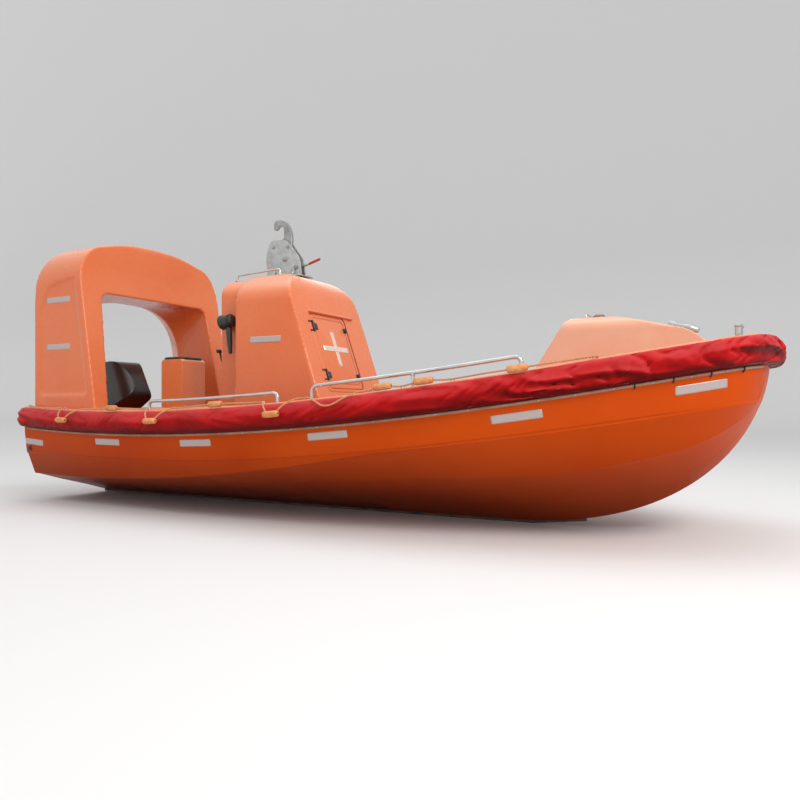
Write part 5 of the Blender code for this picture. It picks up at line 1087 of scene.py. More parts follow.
wheel_x = FACE_X - WHEEL_STANDOFF
rim_line = [(wheel_x, WHEEL_RADIUS * math.cos(2 * math.pi * step / RIM_SIDES),
             WHEEL_Z + WHEEL_RADIUS * math.sin(2 * math.pi * step / RIM_SIDES)) for step in range(RIM_SIDES)]
wheel_parts = [pipe(rim_line, WHEEL_RIM, 16, closed=True)]
for index in range(WHEEL_SPOKES):
    turn = math.pi / 2 + 2 * math.pi * index / WHEEL_SPOKES
    out = Vector((0, math.cos(turn), math.sin(turn)))
    middle = Vector((wheel_x, 0, WHEEL_Z))
    wheel_parts.append(pipe([middle + out * 0.02 + Vector((0.012, 0, 0)),
                             middle + out * 0.07 + Vector((0.008, 0, 0)),
                             middle + out * (WHEEL_RADIUS - 0.004)], 0.0085, 12))
    for bump in range(5):
        spread = turn + math.pi / 3 + (bump - 2) * 0.16
        spot = middle + Vector((0, math.cos(spread), math.sin(spread))) * (WHEEL_RADIUS - WHEEL_RIM * 0.55)
        wheel_parts.append(rod(spot - Vector((0.006, 0, 0)), spot + Vector((0.006, 0, 0)), 0.0075, sides=12,
                               bevel=0.003))
wheel_parts.append(turned([(0, -0.0295), (0.034, -0.0295), (0.035, -0.010), (0.033, 0.008), (0.022, 0.0145),
                           (0, 0.015)], tipped((wheel_x, 0, WHEEL_Z)), 36))
fit_out("wheel_rim_and_spokes", merged(*wheel_parts), BLACK_PLASTIC, body="steering_wheel",
        stands_for=["steering_wheel"], angle=40)

lever_y = -0.24
throttle = [block((FACE_X - 0.058, lever_y - 0.038, 1.10), (FACE_X, lever_y + 0.038, 1.22), 0.010),
            block((FACE_X - 0.060, lever_y - 0.006, 1.12), (FACE_X - 0.050, lever_y + 0.006, 1.21), 0.002),
            pipe(softened([(FACE_X - 0.048, lever_y, 1.15), (FACE_X - 0.09, lever_y, 1.225),
                           (FACE_X - 0.11, lever_y, 1.30)], 0.04, 6), 0.008, 12),
            rod((FACE_X - 0.11, lever_y - 0.032, 1.30), (FACE_X - 0.11, lever_y + 0.032, 1.30), 0.016,
                bevel=0.006)]
fit_out("throttle_box", merged(*throttle), BLACK_PLASTIC, stands_for=["throttle_lever"],
        angle=40)

LENS, nodes, links, shader = new_paint("lamp_lens", {"Base Color": (0.80, 0.82, 0.84, 1), "Roughness": 0.05,
                                                     "Coat Weight": 1.0})
flutes = add(nodes, "TexWave", {"Scale": 90}, bands_direction="Z")
spot = add(nodes, "TexCoord")
bump = add(nodes, "Bump", {"Distance": 0.001})
wire(links, (spot, "Object", flutes, "Vector"), (flutes, "Fac", bump, "Height"),
     (bump, "Normal", shader, "Normal"))
lamp_x = console_aft - CONSOLE_DEEP / 2
lamp_y = -CONSOLE_HALF - 0.0663
aim = tipped((lamp_x, lamp_y, LAMP_Z), -math.pi / 2 - 0.16)
lamp_can = turned([(0, -0.060), (0.030, -0.060), (0.043, -0.052), (0.047, -0.030), (0.055, 0.030),
                   (0.060, 0.048), (0.060, 0.060), (0.055, 0.062), (0.054, 0.052), (0, 0.050)], aim, 48)
fins = [turned([(0.046, at), (0.051, at + 0.001), (0.051, at + 0.004), (0.046, at + 0.005)], aim, 48)
        for at in (-0.040, -0.030, -0.020)]
clamp = [block((lamp_x - 0.026, lamp_y + 0.040, LAMP_Z - 0.028),
               (lamp_x + 0.026, -CONSOLE_HALF + 0.001, LAMP_Z + 0.028), 0.006),
         turned([(0, 0), (0.013, 0), (0.016, 0.02), (0.022, 0.09), (0.024, 0.15), (0.025, 0.20), (0.020, 0.225),
                 (0, 0.23)], tipped((lamp_x + 0.020, lamp_y + 0.008, LAMP_Z - 0.262), -0.09), 24)]
fit_out("searchlight_body", merged(lamp_can, *fins, *clamp), BLACK_PLASTIC,
        stands_for=["searchlight"], angle=35)
glass = turned([(0, 0.050), (0.054, 0.050), (0.054, 0.0525), (0.040, 0.0555), (0.020, 0.0575), (0, 0.058)],
               aim, 48)
fit_out("searchlight_lens", glass, LENS, angle=40)


# Seats
# A moulded helm pillar with a black seat pad, and two moulded benches along the cockpit's sides,
# all bonded to the sole.
SEAT_X, SEAT_LONG, SEAT_HALF, SEAT_TOP_Z = COCKPIT_AFT_X + 0.15, 0.26, 0.14, 1.29
BENCH_AFT_X, BENCH_FORE_X, BENCH_WIDE, BENCH_HIGH, BENCH_CLEAR = 0.45, 1.22, 0.26, 0.28, 0.004
PAD_SQUARENESS = 0.32
seat_side = softened([(SEAT_X - SEAT_LONG / 2, SOLE_Z), (SEAT_X + SEAT_LONG / 2, SOLE_Z),
                      (SEAT_X + SEAT_LONG / 2, SEAT_TOP_Z - 0.03), (SEAT_X - SEAT_LONG / 2, SEAT_TOP_Z - 0.03)],
                     [0, 0, 0.02, 0.02], 3, closed=True)
pillar = moulded(prism(seat_side, "Y", -SEAT_HALF, SEAT_HALF), 0.010, 4)
bmesh.ops.bisect_plane(pillar, geom=pillar.verts[:] + pillar.edges[:] + pillar.faces[:],
                       plane_co=(0, 0, SOLE_Z + 0.001), plane_no=(0, 0, 1), clear_inner=True)
# painted light: a brighter copy of the deck's gelcoat, so the pillar's shaded side reads as lit; it also pales
# where it faces up
SEAT_LIT_PAINT = sheen_on_top(finish("seat_gelcoat_lit", (0.76, 0.190, 0.052), (0.79, 0.235, 0.080), 0.28, coat=0.25),
                          (0.78, 0.40, 0.25), 0.60)
fit_out("helm_pillar", pillar, SEAT_LIT_PAINT, stands_for=["helm_seat"], angle=60)


def padded_top(aft, fore, low_y, high_y, base, thick, crown):
    """A seat pad: flat underneath, crowned on top, pulled in between its corners, with a piped seam."""
    rings = []
    steps = 48
    for level in range(9):
        share = level / 8
        ring = []
        for step in range(steps):
            turn = 2 * math.pi * step / steps
            c, s = math.cos(turn), math.sin(turn)
            u = math.copysign(abs(c) ** PAD_SQUARENESS, c)
            v = math.copysign(abs(s) ** PAD_SQUARENESS, s)
            pull = 1 - 0.020 * (1 - max(abs(u), abs(v)) * min(abs(u), abs(v)))
            swell = 1 - 0.05 * (2 * share - 1) ** 4 - (0.03 if level in (0, 8) else 0)
            ring.append(((aft + fore) / 2 + (fore - aft) / 2 * u * pull * swell,
                         (low_y + high_y) / 2 + (high_y - low_y) / 2 * v * pull * swell, base + thick * share))
        rings.append(ring)
    for inner in (0.86, 0.70, 0.50, 0.28, 0.08):
        middle = Vector(((aft + fore) / 2, (low_y + high_y) / 2, 0))
        ring = []
        for spot in rings[8]:
            here = middle.lerp(Vector((spot[0], spot[1], 0)), inner)
            dimple = 0.0025 * noise.noise(Vector((here.x * 16, here.y * 16, 4)))
            ring.append((here.x, here.y, base + thick + crown * (1 - inner ** 2) + dimple))
        rings.append(ring)
    return skin(rings)


SEAT_CLOTH = finish("seat_vinyl", (0.020, 0.020, 0.022), (0.045, 0.043, 0.042), 0.5, patch=9, grain=650,
                    grain_high=0.0009)
pad_long, pad_half = SEAT_LONG / 2 - 0.006, SEAT_HALF - 0.006
pad = padded_top(SEAT_X - pad_long, SEAT_X + pad_long, -pad_half, pad_half, SEAT_TOP_Z - 0.030, 0.020, 0.009)
seat_pad = fit_out("helm_seat_pad", pad, SEAT_CLOTH, angle=50)


def bench_half(x):
    """Half breadth of the cockpit at x."""
    if x <= 0.0:
        return COCKPIT_HALF
    return COCKPIT_HALF - (COCKPIT_HALF - COCKPIT_FORE_HALF) * min(x / COCKPIT_FORE_X, 1)


for name, flip in (("starboard", -1), ("port", 1)):
    outer = [(x, (bench_half(x) - BENCH_CLEAR - 0.012) * flip) for x in (BENCH_AFT_X, BENCH_FORE_X)]
    plan = softened(outer + [(x, y - BENCH_WIDE * flip) for x, y in reversed(outer)], 0.03, 4, closed=True)
    box_part = prism(plan, "Z", SOLE_Z + 0.001, SOLE_Z + BENCH_HIGH - 0.012, 0.006)
    lid = prism(plan, "Z", SOLE_Z + BENCH_HIGH - 0.009, SOLE_Z + BENCH_HIGH, 0.004)
    fit_out(f"bench_moulding_{name}", merged(box_part, lid), DECK_PAINT,
            stands_for=[f"crew_bench_{name}"], angle=40)


# Lifting hook
# A forged hook and its release lever on bolts between two galvanised side plates, which are
# welded to a pad bolted through the housing's roof.
HOOK_X, HOOK_PIN_Z, LEVER_X, LEVER_Z, PAD_THICK = -0.70, 2.06, 0.115, 1.985, 0.012
CHEEK_THICK, CHEEK_CLEAR, HOOK_THICK, PIN_RADIUS, PIN_CLEAR = 0.010, 0.006, 0.030, 0.014, 0.0007
ZINC = finish("galvanised_steel", (0.50, 0.51, 0.50), (0.36, 0.37, 0.37), 0.42, metal=0.85, patch=22, grain=160,
              grain_high=0.0006, scuff=0.12)
FORGED = finish("forged_steel", (0.40, 0.41, 0.41), (0.24, 0.24, 0.24), 0.45, metal=0.85, patch=14, grain=90,
                grain_high=0.0012)
roof = HOUSE_TOP_Z + 0.0003
inner = HOOK_THICK / 2 + CHEEK_CLEAR
cheek = softened([(HOOK_X - 0.18, roof + PAD_THICK - 0.002), (HOOK_X + 0.17, roof + PAD_THICK - 0.002),
                  (HOOK_X + 0.15, LEVER_Z + 0.07), (HOOK_X + 0.02, HOOK_PIN_Z + 0.16),
                  (HOOK_X - 0.15, HOOK_PIN_Z + 0.17), (HOOK_X - 0.20, HOOK_PIN_Z + 0.04)],
                 [0, 0, 0.04, 0.05, 0.05, 0.05], 6, closed=True)
foundation = [block((HOOK_X - 0.20, -0.09, roof), (HOOK_X + 0.20, 0.09, roof + PAD_THICK), 0.003)]
for side in (-1, 1):
    low, high = sorted((side * inner, side * (inner + CHEEK_THICK)))
    foundation.append(prism(cheek, "Y", low, high, 0.0015))
    for x in (HOOK_X - 0.10, HOOK_X + 0.10):
        brace = prism([(side * (inner + CHEEK_THICK), roof + PAD_THICK - 0.001),
                       (side * 0.082, roof + PAD_THICK - 0.001), (side * (inner + CHEEK_THICK), roof + 0.075)],
                      "X", x - 0.004, x + 0.004, 0.001)
        foundation.append(brace)


def bolt_head(place, axis, size, stands):
    """A hexagon head with a washer under it, standing on a surface."""
    turn = aimed(place, axis)
    washer = turned([(0, 0), (size * 1.15, 0), (size * 1.15, size * 0.12), (size * 1.05, size * 0.18),
                     (0, size * 0.18)], turn, 24)
    head = turned([(0, size * 0.15), (size * 0.92, size * 0.15), (size * 0.92, size * stands * 0.85),
                   (size * 0.78, size * stands), (0, size * stands)], turn, 6)
    return merged(washer, head)


fit_out("hook_foundation_plates", merged(*foundation), ZINC, stands_for=["hook_foundation"],
        angle=35)
bolts = []
for x, z, size in ((HOOK_X, HOOK_PIN_Z, 0.021), (HOOK_X + LEVER_X, LEVER_Z, 0.019)):
    bolts.append(rod((x, -inner - CHEEK_THICK - 0.001, z), (x, inner + CHEEK_THICK + 0.001, z), PIN_RADIUS))
    for side in (-1, 1):
        bolts.append(bolt_head((x, side * (inner + CHEEK_THICK), z), (0, side, 0), size, 0.55))
for x, z in ((HOOK_X - 0.12, HOOK_PIN_Z + 0.11), (HOOK_X - 0.10, 1.955), (HOOK_X + 0.03, HOOK_PIN_Z + 0.10)):
    for side in (-1, 1):
        bolts.append(bolt_head((x, side * (inner + CHEEK_THICK), z), (0, side, 0), 0.0135, 0.7))
for x in (HOOK_X - 0.165, HOOK_X + 0.165):
    for side in (-1, 1):
        bolts.append(bolt_head((x, side * 0.066, roof + PAD_THICK), (0, 0, 1), 0.0125, 0.8))
fit_out("hook_bolts", merged(*bolts), FORGED, angle=35)

# Corners of the hook from its pin: aft and up, and how far each is rounded
HOOK_OUTLINE = ((0.05, -0.05, 0.04), (0.060, 0.22, 0.06), (-0.01, 0.335, 0.06), (-0.13, 0.335, 0.03),
                (-0.125, 0.255, 0.010), (-0.095, 0.255, 0.010), (-0.070, 0.290, 0.020), (-0.022, 0.270, 0.020),
                (-0.022, 0.175, 0.025), (-0.10, 0.150, 0.015), (-0.10, 0.105, 0.02), (-0.05, 0.09, 0.03),
                (-0.05, -0.05, 0.04))
hook_shape = softened([(HOOK_X + x, HOOK_PIN_Z + z) for x, z, radius in HOOK_OUTLINE],
                      [radius * 1.3 for x, z, radius in HOOK_OUTLINE], 6, closed=True)
hook_body = prism(hook_shape, "Y", -HOOK_THICK / 2, HOOK_THICK / 2, 0.0045, 4)
bore = rod((HOOK_X, -0.1, HOOK_PIN_Z), (HOOK_X, 0.1, HOOK_PIN_Z), PIN_RADIUS + PIN_CLEAR)
fit_out("hook_forging", carved(hook_body, bore), FORGED, body="release_hook",
        stands_for=["release_hook"], angle=40)

pivot = (HOOK_X + LEVER_X, 0, LEVER_Z)
hub = rod((pivot[0], -HOOK_THICK / 2, LEVER_Z), (pivot[0], HOOK_THICK / 2, LEVER_Z), 0.026, bevel=0.002,
          sides=32)
hub = carved(hub, rod((pivot[0], -0.1, LEVER_Z), (pivot[0], 0.1, LEVER_Z), PIN_RADIUS + PIN_CLEAR))
arm = pipe([(pivot[0] + 0.020, 0, LEVER_Z), (pivot[0] + 0.09, 0, LEVER_Z + 0.014),
            (HOOK_X + 0.330, 0, LEVER_Z + 0.050)], 0.0085, 14)
fit_out("lever_bar", merged(hub, arm), FORGED, body="release_lever", stands_for=["release_lever"],
        angle=40)
GRIP_RED = finish("grip_sleeve", (0.45, 0.02, 0.02), (0.36, 0.03, 0.03), 0.55, patch=12, grain=500)
sleeve_from = Vector((pivot[0] + 0.110, 0, LEVER_Z + 0.0205))
sleeve_to = Vector((HOOK_X + 0.3305, 0, LEVER_Z + 0.0502))
fit_out("lever_sleeve", rod(sleeve_from, sleeve_to, 0.0105, bevel=0.002), GRIP_RED,
        body="release_lever", angle=40)


# Handrails
# Bent polished tube welded to round flanges, each screwed to the deck; a post carries the long
# fore rails, and a low rail runs along the roof.
RAIL_RADIUS, RAIL_Y_INSET, RAIL_BEND, RAIL_STEPS = 0.0125, 0.07, 0.05, 12
FLANGE_RADIUS, FLANGE_THICK, FLANGE_SCREWS, SCREW_RING = 0.032, 0.006, 3, 0.0235
LOCKER_AFT_X = COCKPIT_FORE_X + 0.06
# Each rail's aft and fore end, its height and where a post stands under it
GUNWALE_RAILS = ((-1.28, -0.04, 0.085, ()), (0.24, LOCKER_AFT_X + 0.10, 0.105, (0.97,)))


def deck_slope(x, reach):
    """Rise of the deck's edge per length, measured over a reach to both sides of x."""
    return (deck_height(x + reach) - deck_height(x - reach)) / (2 * reach)


def rail_line(aft, fore, height):
    """Points of a gunwale rail from foot to foot, on the starboard side."""
    rough = [Vector((aft, -plan_half(aft) + RAIL_Y_INSET, deck_height(aft) + 0.001))]
    for step in range(RAIL_STEPS + 1):
        x = aft + (fore - aft) * step / RAIL_STEPS
        rough.append(Vector((x, -plan_half(x) + RAIL_Y_INSET, deck_height(x) + height)))
    rough.append(Vector((fore, -plan_half(fore) + RAIL_Y_INSET, deck_height(fore) + 0.001)))
    return softened(rough, [0, RAIL_BEND] + [0.02] * (RAIL_STEPS - 1) + [RAIL_BEND, 0], 8)


def flange(place, normal):
    """A round foot with a weld bead and three screw heads."""
    turn = aimed(place, normal)
    plate = turned([(0, 0), (FLANGE_RADIUS, 0), (FLANGE_RADIUS, FLANGE_THICK * 0.7),
                    (FLANGE_RADIUS - 0.002, FLANGE_THICK), (0.018, FLANGE_THICK), (0.0155, 0.0075),
                    (0.0125, 0.010), (0, 0.010)], turn, 32)
    heads = []
    for index in range(FLANGE_SCREWS):
        around = 2 * math.pi * (index + 0.25) / FLANGE_SCREWS
        spot = turn @ Matrix.Translation((SCREW_RING * math.cos(around), SCREW_RING * math.sin(around),
                                          FLANGE_THICK - 0.0005))
        heads.append(turned([(0, 0), (0.0048, 0), (0.0042, 0.0016), (0.0018, 0.0024), (0.0016, 0.0014),
                             (0, 0.0014)], spot, 12))
    return merged(plate, *heads)


for index, (aft, fore, height, middles) in enumerate(GUNWALE_RAILS):
    line = rail_line(aft, fore, height)
    for side, flip in (("starboard", 1), ("port", -1)):
        shapes = [pipe([(p.x, p.y * flip, p.z) for p in line], RAIL_RADIUS, 20)]
        spots = [line[0], line[-1]]
        for x in middles:
            y = -plan_half(x) + RAIL_Y_INSET
            spots.append(Vector((x, y, deck_height(x) + 0.001)))
            shapes.append(rod((x, y * flip, deck_height(x)), (x, y * flip, deck_height(x) + height),
                              RAIL_RADIUS * 0.95))
            shapes.append(turned([(0.0125, 0), (0.0150, 0.003), (0.0125, 0.007)],
                                 Matrix.Translation((x, y * flip, deck_height(x) + height - 0.0185)), 24))
        for spot in spots:
            shapes.append(flange((spot.x, spot.y * flip, spot.z), (-deck_slope(spot.x, 0.02), 0, 1)))
        name = ("aft", "fore")[index]
        fit_out(f"rail_{name}_{side}", merged(*shapes), STEEL,
                stands_for=[f"handrail_{name}_{side}"], angle=40)

roof_y, roof_aft, roof_fore, roof_lift = -0.20, -1.06, -0.62, 0.045
roof_line = softened([(roof_aft, roof_y, CONSOLE_TOP_Z), (roof_aft, roof_y, CONSOLE_TOP_Z + roof_lift),
                      (roof_fore, roof_y, HOUSE_TOP_Z + roof_lift), (roof_fore, roof_y, HOUSE_TOP_Z)],
                     [0, 0.03, 0.03, 0], 6)
roof_feet = [turned([(0, 0), (0.020, 0), (0.020, 0.003), (0.010, 0.0045), (0.0092, 0.008), (0, 0.008)],
                    Matrix.Translation((x, roof_y, z)), 24)
             for x, z in ((roof_aft, CONSOLE_TOP_Z - 0.001), (roof_fore, HOUSE_TOP_Z - 0.001))]
fit_out("roof_grab_rail", merged(pipe(roof_line, 0.009, 16), *roof_feet), STEEL,
        stands_for=["roof_rail"], angle=40)


# Foredeck locker
# A fibreglass box bonded on the foredeck with rounded edges. A small door hangs in its sloping
# aft face, for the towing line.
LOCKER_TOP_AFT_X, LOCKER_FORE_X = LOCKER_AFT_X + 0.25, STEM_X - 0.28
LOCKER_BREAK_X, LOCKER_TOP_FORE_X = LOCKER_TOP_AFT_X + 0.22, LOCKER_FORE_X - 0.12
LOCKER_HALF, LOCKER_CROWN_HALF, LOCKER_TOP_Z, LOCKER_NOSE_Z, LOCKER_WALL = 0.45, 0.3, 1.40, 1.28, 0.025
LOCKER_DOOR_HALF, LOCKER_DOOR_TALL = 0.24, 0.30
locker_slope = (LOCKER_TOP_AFT_X - LOCKER_AFT_X) / (LOCKER_TOP_Z - deck_height(LOCKER_AFT_X))


def locker_body(inset, floor_drop):
    """The locker's solid, moved in by a wall."""
    top = LOCKER_TOP_Z - inset
    shift = inset * math.hypot(1, locker_slope)
    foot = deck_height(LOCKER_AFT_X) - floor_drop
    side = softened([(LOCKER_AFT_X + shift - locker_slope * floor_drop, foot),
                     (LOCKER_FORE_X - inset * 1.5, foot),
                     (LOCKER_FORE_X - inset * 1.5, deck_height(LOCKER_FORE_X) + 0.005),
                     (LOCKER_TOP_FORE_X - inset, LOCKER_NOSE_Z - inset), (LOCKER_BREAK_X, top),
                     (LOCKER_TOP_AFT_X + shift - inset * locker_slope, top)],
                    [0, 0, 0.01, 0.06, 0.08, 0.05], 10, closed=True)
    half = LOCKER_HALF - inset
    front = softened([(-half, 0.5), (half, 0.5), (half, top - 0.04), (LOCKER_CROWN_HALF, top),
                      (-LOCKER_CROWN_HALF, top), (-half, top - 0.04)],
                     [0, 0, 0.06, 0.10, 0.10, 0.06], 8, closed=True)
    return carved(prism(side, "Y", -0.6, 0.6), prism(front, "X", 0, STEM_X), how="INTERSECT")


LOCKER_NORMAL = Vector((-1, 0, locker_slope)).normalized()
locker_middle_z = (LOCKER_TOP_Z + deck_height(LOCKER_AFT_X)) / 2
LOCKER = hinge_frame(Vector((LOCKER_AFT_X + (locker_middle_z - deck_height(LOCKER_AFT_X)) * locker_slope,
                             LOCKER_DOOR_HALF - HINGE_IN, locker_middle_z)) + LOCKER_NORMAL * HINGE_OUT,
                     LOCKER_NORMAL, (0, 0, 1))
# painted reflection: the locker's gelcoat is made pale salmon for the sky's sheen on its faces, and pales further
# where it faces up
LOCKER_SHEEN_PAINT = sheen_on_top(finish("locker_gelcoat_sheen", (0.64, 0.300, 0.185), (0.67, 0.400, 0.290), 0.30,
                                   coat=0.25, patch=1.4, shine=0.40, grain=70, grain_high=0.0005),
                            (0.78, 0.42, 0.28), 0.60)
box_shell = moulded(carved(locker_body(0, 0.08), locker_body(LOCKER_WALL, 0.2)), 0.009, 3)
locker_way = prism(leaf_outline(2 * LOCKER_DOOR_HALF, LOCKER_DOOR_TALL, 0), "X", -0.1, 0.1)
locker_way.transform(LOCKER)
deck_line = [(x, deck_height(x)) for x in [LOCKER_AFT_X - 0.2 + 0.07 * step for step in range(20)]]
under = prism(deck_line + [(deck_line[-1][0], 0.3), (deck_line[0][0], 0.3)], "Y", -0.7, 0.7)
fit_out("locker_moulding", carved(box_shell, locker_way, under), LOCKER_SHEEN_PAINT,
        stands_for=["foredeck_locker"], angle=40)
way_line = [(point.x + 0.02, point.y) for point in leaf_outline(2 * LOCKER_DOOR_HALF, LOCKER_DOOR_TALL, 0)]
border = carved(prism(leaf_outline(2 * LOCKER_DOOR_HALF + 0.04, LOCKER_DOOR_TALL + 0.04, 0, 0.045), "X",
                      -HINGE_OUT - 0.004, -HINGE_OUT + 0.003, 0.0025), prism(way_line, "X", -0.1, 0.1))
border.transform(Matrix.Translation((0, -0.02, 0)))
fit_out("locker_door_frame", border, LOCKER_SHEEN_PAINT, angle=40, place=BASE @ LOCKER)
fit_out("locker_leaf", door_leaf(2 * LOCKER_DOOR_HALF, LOCKER_DOOR_TALL), LOCKER_SHEEN_PAINT,
        body="locker_door", stands_for=["locker_door"], angle=35, place=BASE @ LOCKER)
hinge_set(LOCKER, (-0.08, 0.08), "locker_door", "locker")
toggle_latches(LOCKER, (-0.08, 0.08), 2 * LOCKER_DOOR_HALF, "locker_door", "locker")
door_seal(LOCKER, 2 * LOCKER_DOOR_HALF, LOCKER_DOOR_TALL, "locker_door", "locker")


# Foredeck fittings
# A bow lamp with a smoked amber dome on a steel base behind a bent guard bar, a cast painter
# release on the locker, and a double bollard with a cross bar on the deck ahead of it.
top_z = LOCKER_TOP_Z + 0.0003
bow_lamp_x = LOCKER_TOP_AFT_X + 0.09
lamp_spot = Matrix.Translation((bow_lamp_x, 0, top_z))
lamp_base = turned([(0, 0), (0.060, 0), (0.060, 0.012), (0.056, 0.018), (0.052, 0.020), (0, 0.020)], lamp_spot,
                   48)
lamp_screws = [turned([(0, 0), (0.004, 0), (0.003, 0.002), (0, 0.002)],
                      lamp_spot @ Matrix.Translation((0.050 * math.cos(turn), 0.050 * math.sin(turn), 0.0190)),
                      10) for turn in (0.5, 2.07, 3.64, 5.21)]
fit_out("bow_lamp_base", merged(lamp_base, *lamp_screws), STEEL, stands_for=["bow_lamp"], angle=35)
dome = turned([(0, 0.0195), (0.046, 0.0195), (0.047, 0.024), (0.0445, 0.027), (0.045, 0.031), (0.041, 0.034),
               (0.041, 0.037), (0.034, 0.041), (0.033, 0.043), (0.022, 0.0465), (0.010, 0.048), (0, 0.0485)],
              lamp_spot, 48)
AMBER_DOME = finish("amber_dome", (0.16, 0.065, 0.030), (0.26, 0.115, 0.055), 0.16, coat=0.6, patch=20,
                    grain=300)
fit_out("bow_lamp_dome", dome, AMBER_DOME, angle=50)
GUARD_HALF, GUARD_HIGH, GUARD_RADIUS, GUARD_AFT = 0.075, 0.042, 0.006, 0.068
guard_x = bow_lamp_x - GUARD_AFT
guard_line = [(guard_x, -GUARD_HALF, top_z), (guard_x, -GUARD_HALF, top_z + GUARD_HIGH),
              (guard_x, GUARD_HALF, top_z + GUARD_HIGH), (guard_x, GUARD_HALF, top_z)]
guard = [pipe(softened([Vector(point) for point in guard_line], 0.025, 6), GUARD_RADIUS, 16)]
for side in (-GUARD_HALF, GUARD_HALF):
    guard.append(turned([(0, -0.005), (0.016, -0.005), (0.016, 0.003), (0.008, 0.005), (0, 0.005)],
                        Matrix.Translation((guard_x, side, top_z)), 24))
fit_out("bow_lamp_guard", merged(*guard), STEEL, angle=50)

PAINTER_X = LOCKER_TOP_FORE_X - 0.10
locker_fall = (LOCKER_TOP_Z - LOCKER_NOSE_Z) / (LOCKER_TOP_FORE_X - LOCKER_BREAK_X)
painter_z = LOCKER_TOP_Z - locker_fall * (PAINTER_X - LOCKER_BREAK_X) + 0.0003
painter_seat = tipped((PAINTER_X, 0, painter_z), math.atan(locker_fall))
painter = [block((-0.09, -0.06, 0), (0.03, 0.06, 0.010), 0.002)]
painter.append(turned([(0, 0), (0.024, 0), (0.029, 0.006), (0.029, 0.045), (0.024, 0.052), (0.024, 0.105),
                       (0.028, 0.112), (0.028, 0.150), (0.019, 0.165), (0.019, 0.186), (0, 0.189)],
                      tipped((-0.089, 0, 0.0345), math.pi / 2 + 0.02), 32))
for x, y in ((-0.078, -0.048), (-0.078, 0.048), (0.018, -0.048), (0.018, 0.048)):
    painter.append(bolt_head((x, y, 0.010), (0, 0, 1), 0.0085, 0.8))
for x in (-0.060, 0.005):
    painter.append(block((x - 0.006, -0.040, 0.008), (x + 0.006, 0.040, 0.030), 0.003))
fit_out("painter_release_casting", merged(*painter), ZINC, stands_for=["painter_release"],
        angle=35, place=BASE @ painter_seat)

BOLLARD_X, BOLLARD_POST_Y, BOLLARD_POST_RADIUS, BOLLARD_POST_HIGH = STEM_X - 0.17, 0.05, 0.020, 0.13
deck_z = deck_height(BOLLARD_X)
slope = deck_slope(BOLLARD_X, 0.04)
foot_plate = prism([(BOLLARD_X - 0.05, deck_z - 0.05 * slope + 0.0006),
                    (BOLLARD_X + 0.05, deck_z + 0.05 * slope + 0.0006), (BOLLARD_X + 0.05, deck_z + 0.020),
                    (BOLLARD_X - 0.05, deck_z + 0.012)], "Y", -0.10, 0.10, 0.002)
bollard = [foot_plate,
           rod((BOLLARD_X, -0.10, deck_z + 0.07), (BOLLARD_X, 0.10, deck_z + 0.07), 0.010, bevel=0.002)]
for side in (-1, 1):
    post = turned([(0, 0.004), (0.028, 0.004), (0.024, 0.012), (0.0205, 0.022), (0.020, 0.030),
                   (0.020, BOLLARD_POST_HIGH - 0.016), (0.0255, BOLLARD_POST_HIGH - 0.012),
                   (0.026, BOLLARD_POST_HIGH - 0.004), (0.022, BOLLARD_POST_HIGH), (0, BOLLARD_POST_HIGH)],
                  Matrix.Translation((BOLLARD_X, side * BOLLARD_POST_Y, deck_z)), 36)
    bollard.append(post)
    bollard.append(bolt_head((BOLLARD_X - 0.034, side * 0.085, deck_z + 0.0135), (-0.08, 0, 1), 0.0085, 0.8))
    bollard.append(bolt_head((BOLLARD_X + 0.034, side * 0.085, deck_z + 0.0185), (-0.08, 0, 1), 0.0085, 0.8))
fit_out("bollard_casting", merged(*bollard), ZINC, stands_for=["bollard"], angle=35)


# Grab lines
# Three-strand rope in bights over each fender, seized at the deck between the bights, with a
# foam float threaded on most of them.
LINE_RADIUS, FLOAT_RADIUS, FLOAT_LONG, LINE_CLEAR = 0.006, 0.022, 0.12, 0.009
LINE_AFT_X, LINE_FORE_X = STERN_X + 0.10, STEM_X - 0.85
# Each bight of the line: where it ends, how far it hangs, and whether it holds a float
BIGHTS = (
    (-2.28, 0.15, False), (-1.94, 1.0, True), (-1.22, 0.15, True), (-0.87, 1.0, True), (-0.12, 0.15, True),
    (0.23, 1.0, True), (0.71, 0.8, False), (0.93, 0.12, True), (1.25, 0.12, True), (LINE_FORE_X, 0.3, True),
)
BIGHT_STEPS, CURVE_PARTS = 7, 24
# Degrees up the fender at which it is seized, and by how many a full bight hangs below that
SEIZED_ANGLE, BIGHT_DROP = 82, 80


def strand_rope():
    """Twisted rope: fibres along each strand from the rope's own UV map, faded on top of each lay."""
    made, nodes, links, shader = new_paint("grab_rope", {"Roughness": 0.85, "Sheen Weight": 0.4})
    lay = add(nodes, "UVMap", uv_map="lay")
    fibres = add(nodes, "TexWave", {"Scale": 30, "Distortion": 2.5}, bands_direction="DIAGONAL")
    tint = add(nodes, "ValToRGB")
    tint.color_ramp.elements[0].color = (0.50, 0.155, 0.035, 1)
    tint.color_ramp.elements[1].color = (0.78, 0.36, 0.13, 1)
    bump = add(nodes, "Bump", {"Strength": 0.6, "Distance": 0.0008})
    wire(links, (lay, "UV", fibres, "Vector"), (fibres, "Fac", tint, "Fac"),
         (tint, "Color", shader, "Base Color"), (fibres, "Fac", bump, "Height"),
         (bump, "Normal", shader, "Normal"))
    return made


